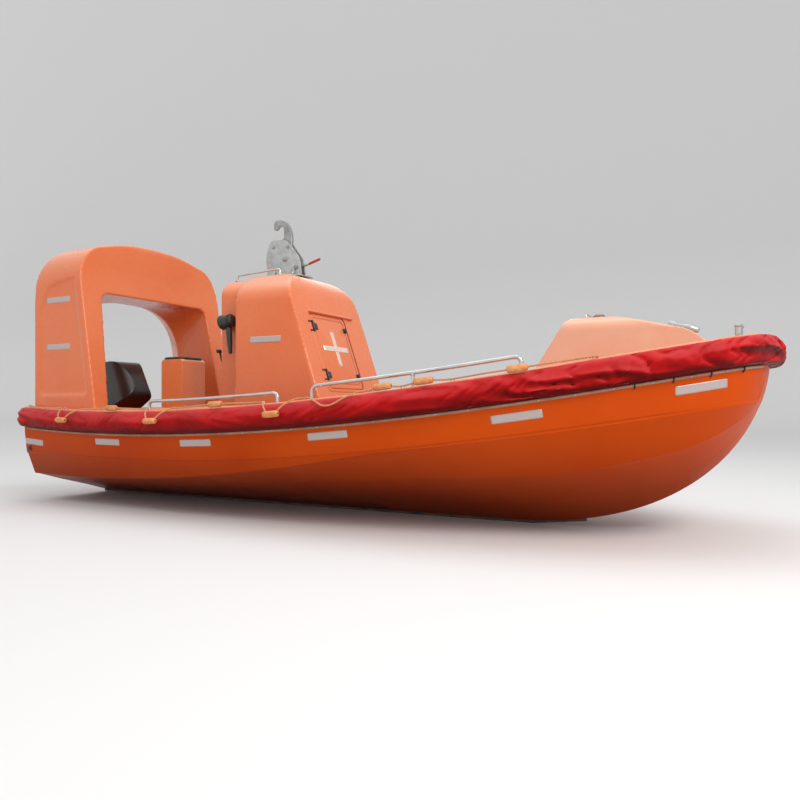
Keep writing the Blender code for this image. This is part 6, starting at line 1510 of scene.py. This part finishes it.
def smooth_path(points, step):
    """A smooth curve through points, in even steps."""
    points = [Vector(point) for point in points]
    fine = []
    for index in range(len(points) - 1):
        p0, p1 = points[max(index - 1, 0)], points[index]
        p2, p3 = points[index + 1], points[min(index + 2, len(points) - 1)]
        for part in range(CURVE_PARTS):
            t = part / CURVE_PARTS
            fine.append(0.5 * ((2 * p1) + (p2 - p0) * t + (2 * p0 - 5 * p1 + 4 * p2 - p3) * t ** 2
                               + (3 * p1 - p0 - 3 * p2 + p3) * t ** 3))
    fine.append(points[-1])
    picked = [fine[0]]
    carry = 0.0
    for one, two in zip(fine, fine[1:]):
        gap = (two - one).length
        while carry + gap >= step:
            share = (step - carry) / gap
            one = one.lerp(two, share)
            picked.append(one)
            gap = (two - one).length
            carry = 0.0
        carry += gap
    return picked


def rope_mesh(path, radius, lay_length=0.055, sides=6):
    """Three strands twisted round a path, with each strand's length and girth as a UV map."""
    bm = bmesh.new()
    layer = bm.loops.layers.uv.new("lay")
    side = None
    frames = []
    reach = 0.0
    for index, here in enumerate(path):
        along = (path[min(index + 1, len(path) - 1)] - path[max(index - 1, 0)]).normalized()
        side = along.orthogonal().normalized() if side is None else (side
                                                                     - along * side.dot(along)).normalized()
        if index:
            reach += (here - path[index - 1]).length
        frames.append((here, side.copy(), along.cross(side), reach))
    for strand in range(3):
        rows = []
        for here, across, up, far in frames:
            turn = 2 * math.pi * (far / lay_length + strand / 3)
            middle = here + (across * math.cos(turn) + up * math.sin(turn)) * radius * 0.50
            rows.append([bm.verts.new(middle + (across * math.cos(turn + 2 * math.pi * step / sides)
                                                + up * math.sin(turn + 2 * math.pi * step / sides)) * radius
                                      * 0.54) for step in range(sides)])
        for row, (one, two) in enumerate(zip(rows, rows[1:])):
            for step in range(sides):
                other = (step + 1) % sides
                face = bm.faces.new((one[step], one[other], two[other], two[step]))
                for loop, (u, v) in zip(face.loops, ((row, step), (row, step + 1), (row + 1, step + 1),
                                                     (row + 1, step))):
                    loop[layer].uv = (frames[u][3] * 40, v / sides)
        bm.faces.new(rows[0])
        bm.faces.new(rows[-1])
    return bm


def over_fender(x, out, up):
    """A point out from the gunwale at x and up from the fender's middle, on the starboard side."""
    ahead = next(index for index, spot in enumerate(cover_path) if spot[0].x > x and index > 60)
    (p0, n0, _), (p1, n1, _) = cover_path[ahead - 1:ahead + 1]
    share = (x - p0.x) / (p1.x - p0.x)
    spot = p0.lerp(p1, share) + n0.lerp(n1, share).normalized() * out
    return Vector((spot.x, spot.y, sheer(x) - FENDER_HIGH / 2 + up))


ROPE = strand_rope()
FLOAT_FOAM = finish("float_foam", (0.55, 0.19, 0.055), (0.68, 0.33, 0.15), 0.80, patch=30, grain=420,
                    grain_high=0.0012, shine=0.2)
hang = []
start_x = LINE_AFT_X
for end_x, fall, has_float in [*BIGHTS, (LINE_FORE_X + 0.1, 0, False)]:
    for step in range(BIGHT_STEPS if end_x <= LINE_FORE_X else 1):
        swing = math.sin(math.pi * step / BIGHT_STEPS) ** 2
        angle = math.radians(SEIZED_ANGLE - BIGHT_DROP * swing * fall)
        reach = LINE_RADIUS + LINE_CLEAR + (FLOAT_RADIUS - LINE_RADIUS) * swing * has_float
        hang.append(over_fender(start_x + (end_x - start_x) * step / BIGHT_STEPS,
                                (FENDER_THICK + reach) * math.cos(angle),
                                (FENDER_HIGH / 2 + reach + 0.006) * math.sin(angle)))
    start_x = end_x
seizings = hang[::BIGHT_STEPS]
for x, first in ((LINE_AFT_X - 0.02, True), (LINE_FORE_X + 0.02, False)):
    near = over_fender(x, -0.02, 0)
    foot = hang[0] if first else hang[-1]
    pair = [Vector((x, near.y, deck_height(x) + 0.017)), Vector((x, near.y, foot.z))]
    hang = pair + hang if first else hang + pair[::-1]
for name, flip in (("starboard", 1), ("port", -1)):
    path = smooth_path([(p.x, p.y * flip, p.z) for p in hang], 0.005)
    fit_out(f"grab_rope_{name}", rope_mesh(path, LINE_RADIUS), ROPE, stands_for=[f"grab_line_{name}"],
            angle=60)
    floats, ties = [], []
    for bight, (end_x, fall, has_float) in enumerate(BIGHTS):
        if not has_float:
            continue
        before, after = hang[2 + bight * BIGHT_STEPS + BIGHT_STEPS // 2:4 + bight * BIGHT_STEPS
                             + BIGHT_STEPS // 2]
        middle = (before + after) / 2
        middle.y *= flip
        along = (after - before).normalized()
        along.y *= flip
        half = FLOAT_LONG / 2
        floats.append(turned([(0.0062, -half), (0.012, -half), (0.0185, -half + 0.004), (0.0215, -half + 0.013),
                              (0.022, 0), (0.0215, half - 0.013), (0.0185, half - 0.004), (0.012, half),
                              (0.0062, half)], aimed(middle, along), 32))
    fit_out(f"grab_floats_{name}", merged(*floats), FLOAT_FOAM, angle=50)
    for spot in seizings:
        eye = Vector((spot.x, (spot.y + 0.030) * flip, deck_height(spot.x) + 0.012))
        ties.append(pipe(softened([(spot.x - 0.012, eye.y, eye.z), (spot.x - 0.010, eye.y, spot.z + 0.004),
                                   (spot.x + 0.010, eye.y, spot.z + 0.004), (spot.x + 0.012, eye.y, eye.z)],
                                  0.012, 5), 0.0035, 8))
    fit_out(f"line_eyes_{name}", merged(*ties), STEEL, angle=50)


# Outboard motor
# A painted cast leg under a black plastic cowl with a silver line, carried by a swivel bracket
# between the ears of a screw clamp on the transom, and parked tilted up.
TILT_X, TILT_Z, PARK_TILT = STERN_X - 0.08, 0.70, math.radians(64)
TILT_TUBE_RADIUS, STEER_AXIS_AFT, STEER_SHAFT_RADIUS = 0.017, 0.07, 0.014
CLAMP_HALF, CLAMP_THICK, CLAMP_REACH, SWIVEL_HALF = 0.12, 0.022, 0.12, 0.085
COWL_BASE, COWL_TOP, COWL_HALF, COWL_AFT, COWL_FORE, COWL_CHAMFER = 0.12, 0.66, 0.18, 0.40, 0.06, 0.10
PLATE_LOW, PROP_AXIS_LOW, SKEG_LOW, PROP_AFT, PROP_BLADES = 0.57, 0.74, 0.93, 0.405, 3
TILT = BASE @ Matrix.Translation((TILT_X, 0, TILT_Z)) @ Matrix.Rotation(PARK_TILT, 4, "Y")
MOTOR_GREY = finish("motor_enamel", (0.055, 0.055, 0.060), (0.085, 0.085, 0.088), 0.32, metal=0.3, coat=0.3,
                    patch=8, grain=260)
COWL_BLACK = finish("cowl_paint", (0.016, 0.013, 0.013), (0.030, 0.025, 0.024), 0.34, coat=0.25, patch=4,
                    grain=160, grain_high=0.0002)
SILVER = finish("silver_trim", (0.62, 0.63, 0.64), (0.50, 0.51, 0.52), 0.30, metal=0.8, patch=10, grain=400,
                grain_high=0.0001)

out_x, in_x, top = STERN_X - 0.0003, STERN_X + TRANSOM_THICK + 0.0003, TRANSOM_TOP_Z + 0.0003
clamp_line = [(out_x, TRANSOM_TOP_Z - 0.26), (out_x, top), (in_x, top), (in_x, top - CLAMP_REACH),
              (in_x + CLAMP_THICK, top - CLAMP_REACH), (in_x + CLAMP_THICK, top + CLAMP_THICK),
              (out_x - CLAMP_THICK, top + CLAMP_THICK), (out_x - CLAMP_THICK, TRANSOM_TOP_Z - 0.26)]
clamp_parts = [prism(clamp_line, "Y", -CLAMP_HALF, CLAMP_HALF, 0.004)]
clamp_parts.append(rod((TILT_X, -CLAMP_HALF - 0.010, TILT_Z), (TILT_X, CLAMP_HALF + 0.010, TILT_Z),
                       TILT_TUBE_RADIUS, bevel=0.001, sides=32))
for side in (-1, 1):
    low, high = sorted((side * (SWIVEL_HALF + 0.006), side * (CLAMP_HALF - 0.002)))
    ear = softened([(out_x - CLAMP_THICK + 0.004, TILT_Z - 0.12), (out_x - CLAMP_THICK + 0.004, TILT_Z + 0.035),
                    (TILT_X - 0.03, TILT_Z + 0.035), (TILT_X - 0.03, TILT_Z - 0.035)], [0, 0.02, 0.02, 0.02], 5,
                   closed=True)
    clamp_parts.append(prism(ear, "Y", low, high, 0.003))
    clamp_parts.append(bolt_head((TILT_X, side * (CLAMP_HALF + 0.010), TILT_Z), (0, side, 0), 0.016, 0.5))
    screw_y = side * 0.075
    clamp_parts.append(rod((in_x + CLAMP_THICK - 0.002, screw_y, top - 0.080),
                           (in_x + CLAMP_THICK + 0.040, screw_y, top - 0.080), 0.007, sides=16))
    clamp_parts.append(rod((in_x + CLAMP_THICK + 0.036, screw_y, top - 0.104),
                           (in_x + CLAMP_THICK + 0.036, screw_y, top - 0.056), 0.005, sides=12, bevel=0.002))
    for drop in (0.06, 0.20):
        clamp_parts.append(bolt_head((out_x - CLAMP_THICK, side * 0.10, TRANSOM_TOP_Z - drop), (-1, 0, 0),
                                     0.010, 0.7))
fit_out("clamp_bracket", merged(*clamp_parts), MOTOR_GREY, stands_for=["transom_clamp"], angle=35)

swivel_line = softened([(0.035, 0.035), (0.035, -0.03), (-0.03, -0.30), (-0.105, -0.30), (-0.105, 0.06),
                        (-0.02, 0.06)], 0.02, 4, closed=True)
swivel = carved(prism(swivel_line, "Y", -0.045, 0.045, 0.006),
                rod((0, -SWIVEL_HALF, 0), (0, SWIVEL_HALF, 0), 0.033, bevel=0.002, sides=40), how="UNION")
swivel = carved(swivel, rod((0, -0.2, 0), (0, 0.2, 0), TILT_TUBE_RADIUS + 0.0007, sides=32),
                rod((-STEER_AXIS_AFT, 0, -0.5), (-STEER_AXIS_AFT, 0, 0.2), STEER_SHAFT_RADIUS + 0.0007, sides=32))
fit_out("swivel_casting", swivel, MOTOR_GREY, body="swivel", stands_for=["swivel_bracket"],
        angle=35, place=TILT)


def foil(fore, aft, half, low, high, low_fore=None, low_aft=None, low_half=None, rows=8, sides=28):
    """A streamlined upright: a rounded nose and a fine tail, from one section to another."""
    low_fore = fore if low_fore is None else low_fore
    low_aft = aft if low_aft is None else low_aft
    low_half = half if low_half is None else low_half
    rings = []
    for row in range(rows):
        t = row / (rows - 1)
        nose, tail = low_fore + (fore - low_fore) * t, low_aft + (aft - low_aft) * t
        wide = low_half + (half - low_half) * t
        ring = []
        for step in range(sides):
            turn = 2 * math.pi * step / sides
            c, s = math.cos(turn), math.sin(turn)
            thick = wide * math.copysign(abs(s) ** 0.8, s) * (0.62 + 0.38 * c if c < 0 else 1.0)
            ring.append(((nose + tail) / 2 + (nose - tail) / 2 * c, thick, low + (high - low) * t))
        rings.append(ring)
    return skin(rings)


leg_parts = [foil(-0.130, -0.320, 0.0445, -PLATE_LOW - 0.03, COWL_BASE - 0.001, -0.145, -0.30, 0.040)]
for low, high in ((0.068, COWL_BASE - 0.004), (-0.36, -0.308)):
    leg_parts.append(block((-0.20, -0.040, low), (-STEER_AXIS_AFT + 0.035, 0.040, high), 0.007))
leg_parts.append(rod((-STEER_AXIS_AFT, 0, -0.34), (-STEER_AXIS_AFT, 0, COWL_BASE - 0.01), STEER_SHAFT_RADIUS,
                     sides=32))
plate_line = softened([(-0.10, -0.05), (-0.10, 0.05), (-0.46, 0.09), (-0.46, -0.09)], 0.05, 6, closed=True)
leg_parts.append(prism(plate_line, "Z", -PLATE_LOW - 0.006, -PLATE_LOW, 0.002))
splash_line = softened([(-0.12, -0.055), (-0.12, 0.055), (-0.36, 0.062), (-0.36, -0.062)], 0.04, 6, closed=True)
leg_parts.append(prism(splash_line, "Z", -0.50, -0.494, 0.002))
leg_parts.append(foil(-0.15, -0.33, 0.022, -PROP_AXIS_LOW, -PLATE_LOW - 0.002, -0.13, -0.355, 0.024))
leg_parts.append(turned([(0, 0.0), (0.010, 0.002), (0.026, 0.020), (0.040, 0.055), (0.048, 0.100),
                         (0.050, 0.150), (0.050, 0.300), (0.046, 0.340), (0.040, 0.3545), (0, 0.3547)],
                        tipped((-0.05, 0, -PROP_AXIS_LOW)), 40))
skeg_line = softened([(-0.17, -PROP_AXIS_LOW - 0.02), (-0.34, -PROP_AXIS_LOW - 0.02), (-0.36, -SKEG_LOW),
                      (-0.29, -SKEG_LOW)], [0, 0, 0.02, 0.02], 4, closed=True)
leg_parts.append(prism(skeg_line, "Y", -0.006, 0.006, 0.003))
leg_parts.append(block((-0.445, -0.020, -PLATE_LOW - 0.022), (-0.405, 0.020, -PLATE_LOW - 0.004), 0.004))
for height in (-0.10, -0.20, -0.30, -0.40):
    for side in (-1, 1):
        leg_parts.append(bolt_head((-0.235, side * 0.0385, height), (0, side, 0), 0.007, 0.6))
fit_out("leg_casting", merged(*leg_parts), MOTOR_GREY, body="motor", stands_for=["motor_leg"],
        angle=35, place=TILT)

cowl_side = softened([(COWL_FORE, COWL_BASE + COWL_CHAMFER), (COWL_FORE - 1.1 * COWL_CHAMFER, COWL_BASE),
                      (-COWL_AFT, COWL_BASE), (-COWL_AFT + 0.02, COWL_TOP - 0.08), (-0.20, COWL_TOP),
                      (COWL_FORE - 0.02, COWL_TOP)], [0.04, 0.03, 0.03, 0.16, 0.12, 0.11], 10, closed=True)
cowl_face = softened([(-COWL_HALF, COWL_BASE - 0.01), (COWL_HALF, COWL_BASE - 0.01),
                      (COWL_HALF, COWL_TOP - 0.12), (0.10, COWL_TOP + 0.01), (-0.10, COWL_TOP + 0.01),
                      (-COWL_HALF, COWL_TOP - 0.12)], [0, 0, 0.22, 0.13, 0.13, 0.22], 12, closed=True)
hood = carved(prism(cowl_side, "Y", -COWL_HALF, COWL_HALF), prism(cowl_face, "X", -0.6, 0.3), how="INTERSECT")
split = block((-0.6, -0.3, 0.262), (0.3, 0.3, 0.268))
hollow_line = [(COWL_FORE - 0.008, COWL_BASE + 0.06), (-COWL_AFT + 0.008, COWL_BASE + 0.06),
               (-COWL_AFT + 0.02, 0.40), (COWL_FORE - 0.012, 0.40)]
hollow = prism(softened(hollow_line, 0.02, 2, closed=True), "Y", -COWL_HALF + 0.008, COWL_HALF - 0.008)
groove = carved(split, hollow)
intake = [block((-COWL_AFT - 0.05, -0.10, 0.50 + 0.018 * row), (-COWL_AFT + 0.035, 0.10, 0.508 + 0.018 * row),
                0.002) for row in range(4)]
hood = moulded(carved(hood, groove, *intake), 0.0055, 3)
fit_out("cowl_hood", hood, COWL_BLACK, body="motor", stands_for=["motor_cowl"], angle=60,
        place=TILT)
# the silver line that sweeps up along each side of the cowl
SWEEP_LINE = ((0.02, 0.30), (-0.10, 0.325), (-0.22, 0.37), (-0.33, 0.44), (-0.355, 0.48))
SWEEP_PARTS, SWEEP_WIDE = 6, 0.0075
for side in (-1, 1):
    rows = []
    for (x0, z0), (x1, z1) in zip(SWEEP_LINE, SWEEP_LINE[1:]):
        for step in range(SWEEP_PARTS):
            t = step / SWEEP_PARTS
            rows.append((x0 + (x1 - x0) * t, z0 + (z1 - z0) * t))
    rings = []
    for index, (x, z) in enumerate(rows):
        wide = SWEEP_WIDE * math.sin(math.pi * (index + 0.6) / (len(rows) + 0.2))
        inner, outer = side * (COWL_HALF - 0.004), side * (COWL_HALF + 0.0012)
        rings.append([(x, inner, z - wide), (x, outer, z - wide * 0.8), (x, outer, z + wide * 0.8),
                      (x, inner, z + wide)])
    name = "port" if side > 0 else "starboard"
    fit_out(f"cowl_line_{name}", skin(rings), SILVER, body="motor", angle=40, place=TILT)
latch = merged(block((COWL_FORE - 0.006, -0.030, 0.245), (COWL_FORE + 0.007, 0.030, 0.290), 0.003),
               block((-COWL_AFT - 0.004, -0.030, 0.245), (-COWL_AFT + 0.010, 0.030, 0.290), 0.003))
fit_out("cowl_latches", latch, BLACK_PLASTIC, body="motor", angle=35, place=TILT)

# Sections of a blade from the boss out: radius, chord, pitch angle and thickness
BLADE_SECTIONS = ((0.024, 0.050, 62, 0.010), (0.045, 0.085, 52, 0.008), (0.070, 0.105, 42, 0.0065),
                  (0.095, 0.108, 35, 0.0052), (0.115, 0.095, 30, 0.0042), (0.130, 0.070, 27, 0.0034),
                  (0.138, 0.045, 25.5, 0.0028), (0.140, 0.026, 25, 0.0022))
screw = [turned([(0, 0), (0.034, 0.0), (0.036, 0.004), (0.036, 0.040), (0.031, 0.080), (0.029, 0.092),
                 (0.022, 0.095), (0.022, 0.080), (0.012, 0.080), (0.012, 0.094), (0, 0.0945)],
                tipped((-PROP_AFT, 0, -PROP_AXIS_LOW)), 40)]
BLADE_SIDES, BLADE_CAMBER = 16, 0.05
for blade in range(PROP_BLADES):
    spin = 2 * math.pi * blade / PROP_BLADES
    rings = []
    for radius, chord, angle, thick in BLADE_SECTIONS:
        turn = math.radians(angle)
        ring = []
        for step in range(BLADE_SIDES):
            around = 2 * math.pi * step / BLADE_SIDES
            run = 0.5 * chord * math.cos(around)
            lift = 0.5 * thick * math.sin(around) + BLADE_CAMBER * chord * (1 - (2 * run / chord) ** 2)
            x = run * math.sin(turn) + lift * math.cos(turn)
            y = run * math.cos(turn) - lift * math.sin(turn)
            ring.append((-PROP_AFT - 0.045 + x, y * math.cos(spin) - radius * math.sin(spin),
                         -PROP_AXIS_LOW + y * math.sin(spin) + radius * math.cos(spin)))
        rings.append(ring)
    screw.append(skin(rings))
fit_out("propeller_casting", merged(*screw), STEEL, body="propeller", stands_for=["propeller"],
        angle=40, place=TILT)


# Retro-reflective tapes
# Silver tape of 50 mm width, stuck on the hull, the arch and the tower, and a slightly narrower
# one in a cross on the hatch. It has a fine honeycomb under a clear film and rounded corners.
TAPE_LIFT, TAPE_SUNK, TAPE_WIDE, TAPE_LONG, TAPE_CORNER, TAPE_REACH = 0.0007, 0.0006, 0.05, 0.30, 0.005, 0.4


def tape_film(name, rib, cell):
    """Tape whose honeycomb reads its own UV map, in metres."""
    made, nodes, links, shader = new_paint(name, {"Metallic": 0.25, "Roughness": 0.36, "Coat Weight": 0.5})
    strip = add(nodes, "UVMap", uv_map="tape")
    cells = add(nodes, "TexVoronoi", {"Scale": 230, "Randomness": 0.12}, feature="DISTANCE_TO_EDGE")
    edge = add(nodes, "MapRange", {"From Max": 0.10})
    tint = add(nodes, "Mix", {"A": (*rib, 1), "B": (*cell, 1)}, data_type="RGBA")
    spot = add(nodes, "TexCoord")
    dirt = add(nodes, "TexNoise", {"Scale": 14, "Detail": 6})
    worn = add(nodes, "MapRange", {"From Min": 0.45, "From Max": 0.80, "To Max": 0.35})
    soiled = add(nodes, "Mix", {"B": (0.48, 0.40, 0.34, 1)}, data_type="RGBA")
    wire(links, (strip, "UV", cells, "Vector"), (cells, "Distance", edge, "Value"),
         (edge, "Result", tint, "Factor"), (spot, "Object", dirt, "Vector"), (dirt, "Fac", worn, "Value"),
         (worn, "Result", soiled, "Factor"), (tint, "Result", soiled, "A"),
         (soiled, "Result", shader, "Base Color"))
    return made


# painted shade and light: one silver tape in two copies, a darker one for the hull, the arch and the tower,
# matched to tape in shade, and a lighter one for the hatch's cross
SHADED_TAPE = tape_film("retro_tape_shaded", (0.27, 0.225, 0.22), (0.47, 0.385, 0.37))
LIT_CROSS_TAPE = tape_film("cross_tape_lit", (0.50, 0.40, 0.34), (0.84, 0.70, 0.60))


def stuck(name, target, corner, along, across, inward, body="boat", long=TAPE_LONG, wide=TAPE_WIDE,
          columns=24, rows=6, film=SHADED_TAPE, lift=TAPE_LIFT):
    """A strip of tape whose grid is dropped on a piece and lifted off it by a film's thickness."""
    tree = BVHTree.FromObject(target, bpy.context.evaluated_depsgraph_get())
    corner, along, across, inward = (Vector(each) for each in (corner, along, across, inward))
    along.normalize(), across.normalize(), inward.normalize()
    bm = bmesh.new()
    layer = bm.loops.layers.uv.new("tape")
    grid, flat = {}, {}
    for row in range(-1, rows + 2):
        for column in range(-1, columns + 2):
            u = min(max(column / columns, 0), 1) * long
            v = min(max(row / rows, 0), 1) * wide
            rim = row in (-1, rows + 1) or column in (-1, columns + 1)
            cut_u = max(abs(u - long / 2) - (long / 2 - TAPE_CORNER), 0)
            cut_v = max(abs(v - wide / 2) - (wide / 2 - TAPE_CORNER), 0)
            if cut_u > 0 and cut_v > 0:
                scale = TAPE_CORNER / max(math.hypot(cut_u, cut_v), TAPE_CORNER)
                u = long / 2 + math.copysign(long / 2 - TAPE_CORNER + cut_u * scale, u - long / 2)
                v = wide / 2 + math.copysign(wide / 2 - TAPE_CORNER + cut_v * scale, v - wide / 2)
            start = corner + along * u + across * v - inward * TAPE_REACH
            hit, normal, _, _ = tree.ray_cast(start, inward, 1.0)
            if hit is None:
                continue
            normal = normal if normal.dot(inward) < 0 else -normal
            grid[row, column] = bm.verts.new(hit + normal * (-TAPE_SUNK if rim else lift))
            flat[row, column] = (u, v)
    for (row, column), vert in grid.items():
        keys = [(row, column), (row, column + 1), (row + 1, column + 1), (row + 1, column)]
        if all(key in grid for key in keys):
            face = bm.faces.new([grid[key] for key in keys])
            for loop, key in zip(face.loops, keys):
                loop[layer].uv = flat[key]
    bm.normal_update()
    facing = sum((face.normal for face in bm.faces), Vector())
    if facing.dot(inward) > 0:
        bmesh.ops.reverse_faces(bm, faces=bm.faces)
    strip = standing(name, bm)
    strip.data.materials.append(film)
    strip.data.shade_smooth()
    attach(strip, body)


hull_piece = bpy.data.objects["hull_moulding"]
# Middles of the hull's tapes: x and the height above the base line
HULL_TAPES = ((-2.76, 0.532), (-1.70, 0.559), (-0.73, 0.575), (0.40, 0.648), (1.63, 0.772), (2.59, 0.937))
for index, (x, height) in enumerate(HULL_TAPES):
    for side, flip in (("starboard", -1), ("port", 1)):
        rise = (sheer(x + 0.15) - sheer(x - 0.15)) / 0.30
        yaw = (plan_half(min(x + 0.12, STEM_X)) - plan_half(x - 0.12)) / 0.24
        run = Vector((1, flip * yaw, rise)).normalized()
        inward = Vector((yaw, -flip, 0)).normalized()
        across = run.cross(inward).normalized()
        across = across if across.z > 0 else -across
        middle = Vector((x, flip * (plan_half(x) - 0.01), height - DRAUGHT))
        stuck(f"hull_tape_{index}_{side}", hull_piece, middle - run * TAPE_LONG / 2 - across * TAPE_WIDE / 2,
              run, across, inward)
arch_piece = bpy.data.objects["arch_moulding"]
house_piece = bpy.data.objects["housing_moulding"]
for side, flip in (("starboard", -1), ("port", 1)):
    for index, height in enumerate((1.745, 1.345)):
        stuck(f"arch_tape_{index}_{side}", arch_piece, (-2.645, flip * 0.82, height - DRAUGHT - 0.025),
              (1, 0, 0), (0, 0, 1), (0, -flip, 0))
    stuck(f"tower_tape_{side}", house_piece, (-0.695, flip * 0.49, 1.325 - DRAUGHT), (1, 0, 0), (0, 0, 1),
          (0, -flip, 0))
leaf_piece = bpy.data.objects["hatch_leaf"]
hatch_turn = (BASE @ HATCH).to_3x3()
hatch_normal = hatch_turn @ Vector((1, 0, 0))
up = hatch_turn @ Vector((0, 0, 1))
over = hatch_turn @ Vector((0, 1, 0))
CROSS_Y, CROSS_Z = -0.05, 1.29
centre = Vector((rake_x(CROSS_Z), CROSS_Y, CROSS_Z - DRAUGHT))
for index, (long, wide) in enumerate(((0.042, 0.30), (0.36, 0.042))):
    stuck(f"hatch_cross_{index}", leaf_piece, centre - over * long / 2 - up * wide / 2, over, up, -hatch_normal,
          body="hatch_door", long=long, wide=wide, columns=12, rows=12, film=LIT_CROSS_TAPE,
          lift=TAPE_LIFT * (1 + index))


# Hull drains
# A black moulded drain fitting on each quarter, just above the knuckle, with a flap in its ring.
DRAIN_X, DRAIN_Z = -2.83, 0.476
hull_skin = BVHTree.FromObject(hull_piece, bpy.context.evaluated_depsgraph_get())
for side, flip in (("starboard", -1), ("port", 1)):
    aim = Vector((0, -flip, 0))
    hit, normal, _, _ = hull_skin.ray_cast(Vector((DRAIN_X, flip * BEAM, DRAIN_Z - DRAUGHT)), aim, BEAM)
    normal = normal if normal.dot(aim) < 0 else -normal
    ring = turned([(0, 0.0004), (0.025, 0.0004), (0.025, 0.004), (0.021, 0.008), (0.017, 0.007), (0.016, 0.003),
                   (0, 0.003)], sides=32)
    flap = block((-0.006, -0.015, 0.002), (0.004, 0.015, 0.0065), 0.0015)
    fit_out(f"hull_drain_{side}", merged(ring, flap), BLACK_PLASTIC, angle=40,
            place=aimed(hit, normal))
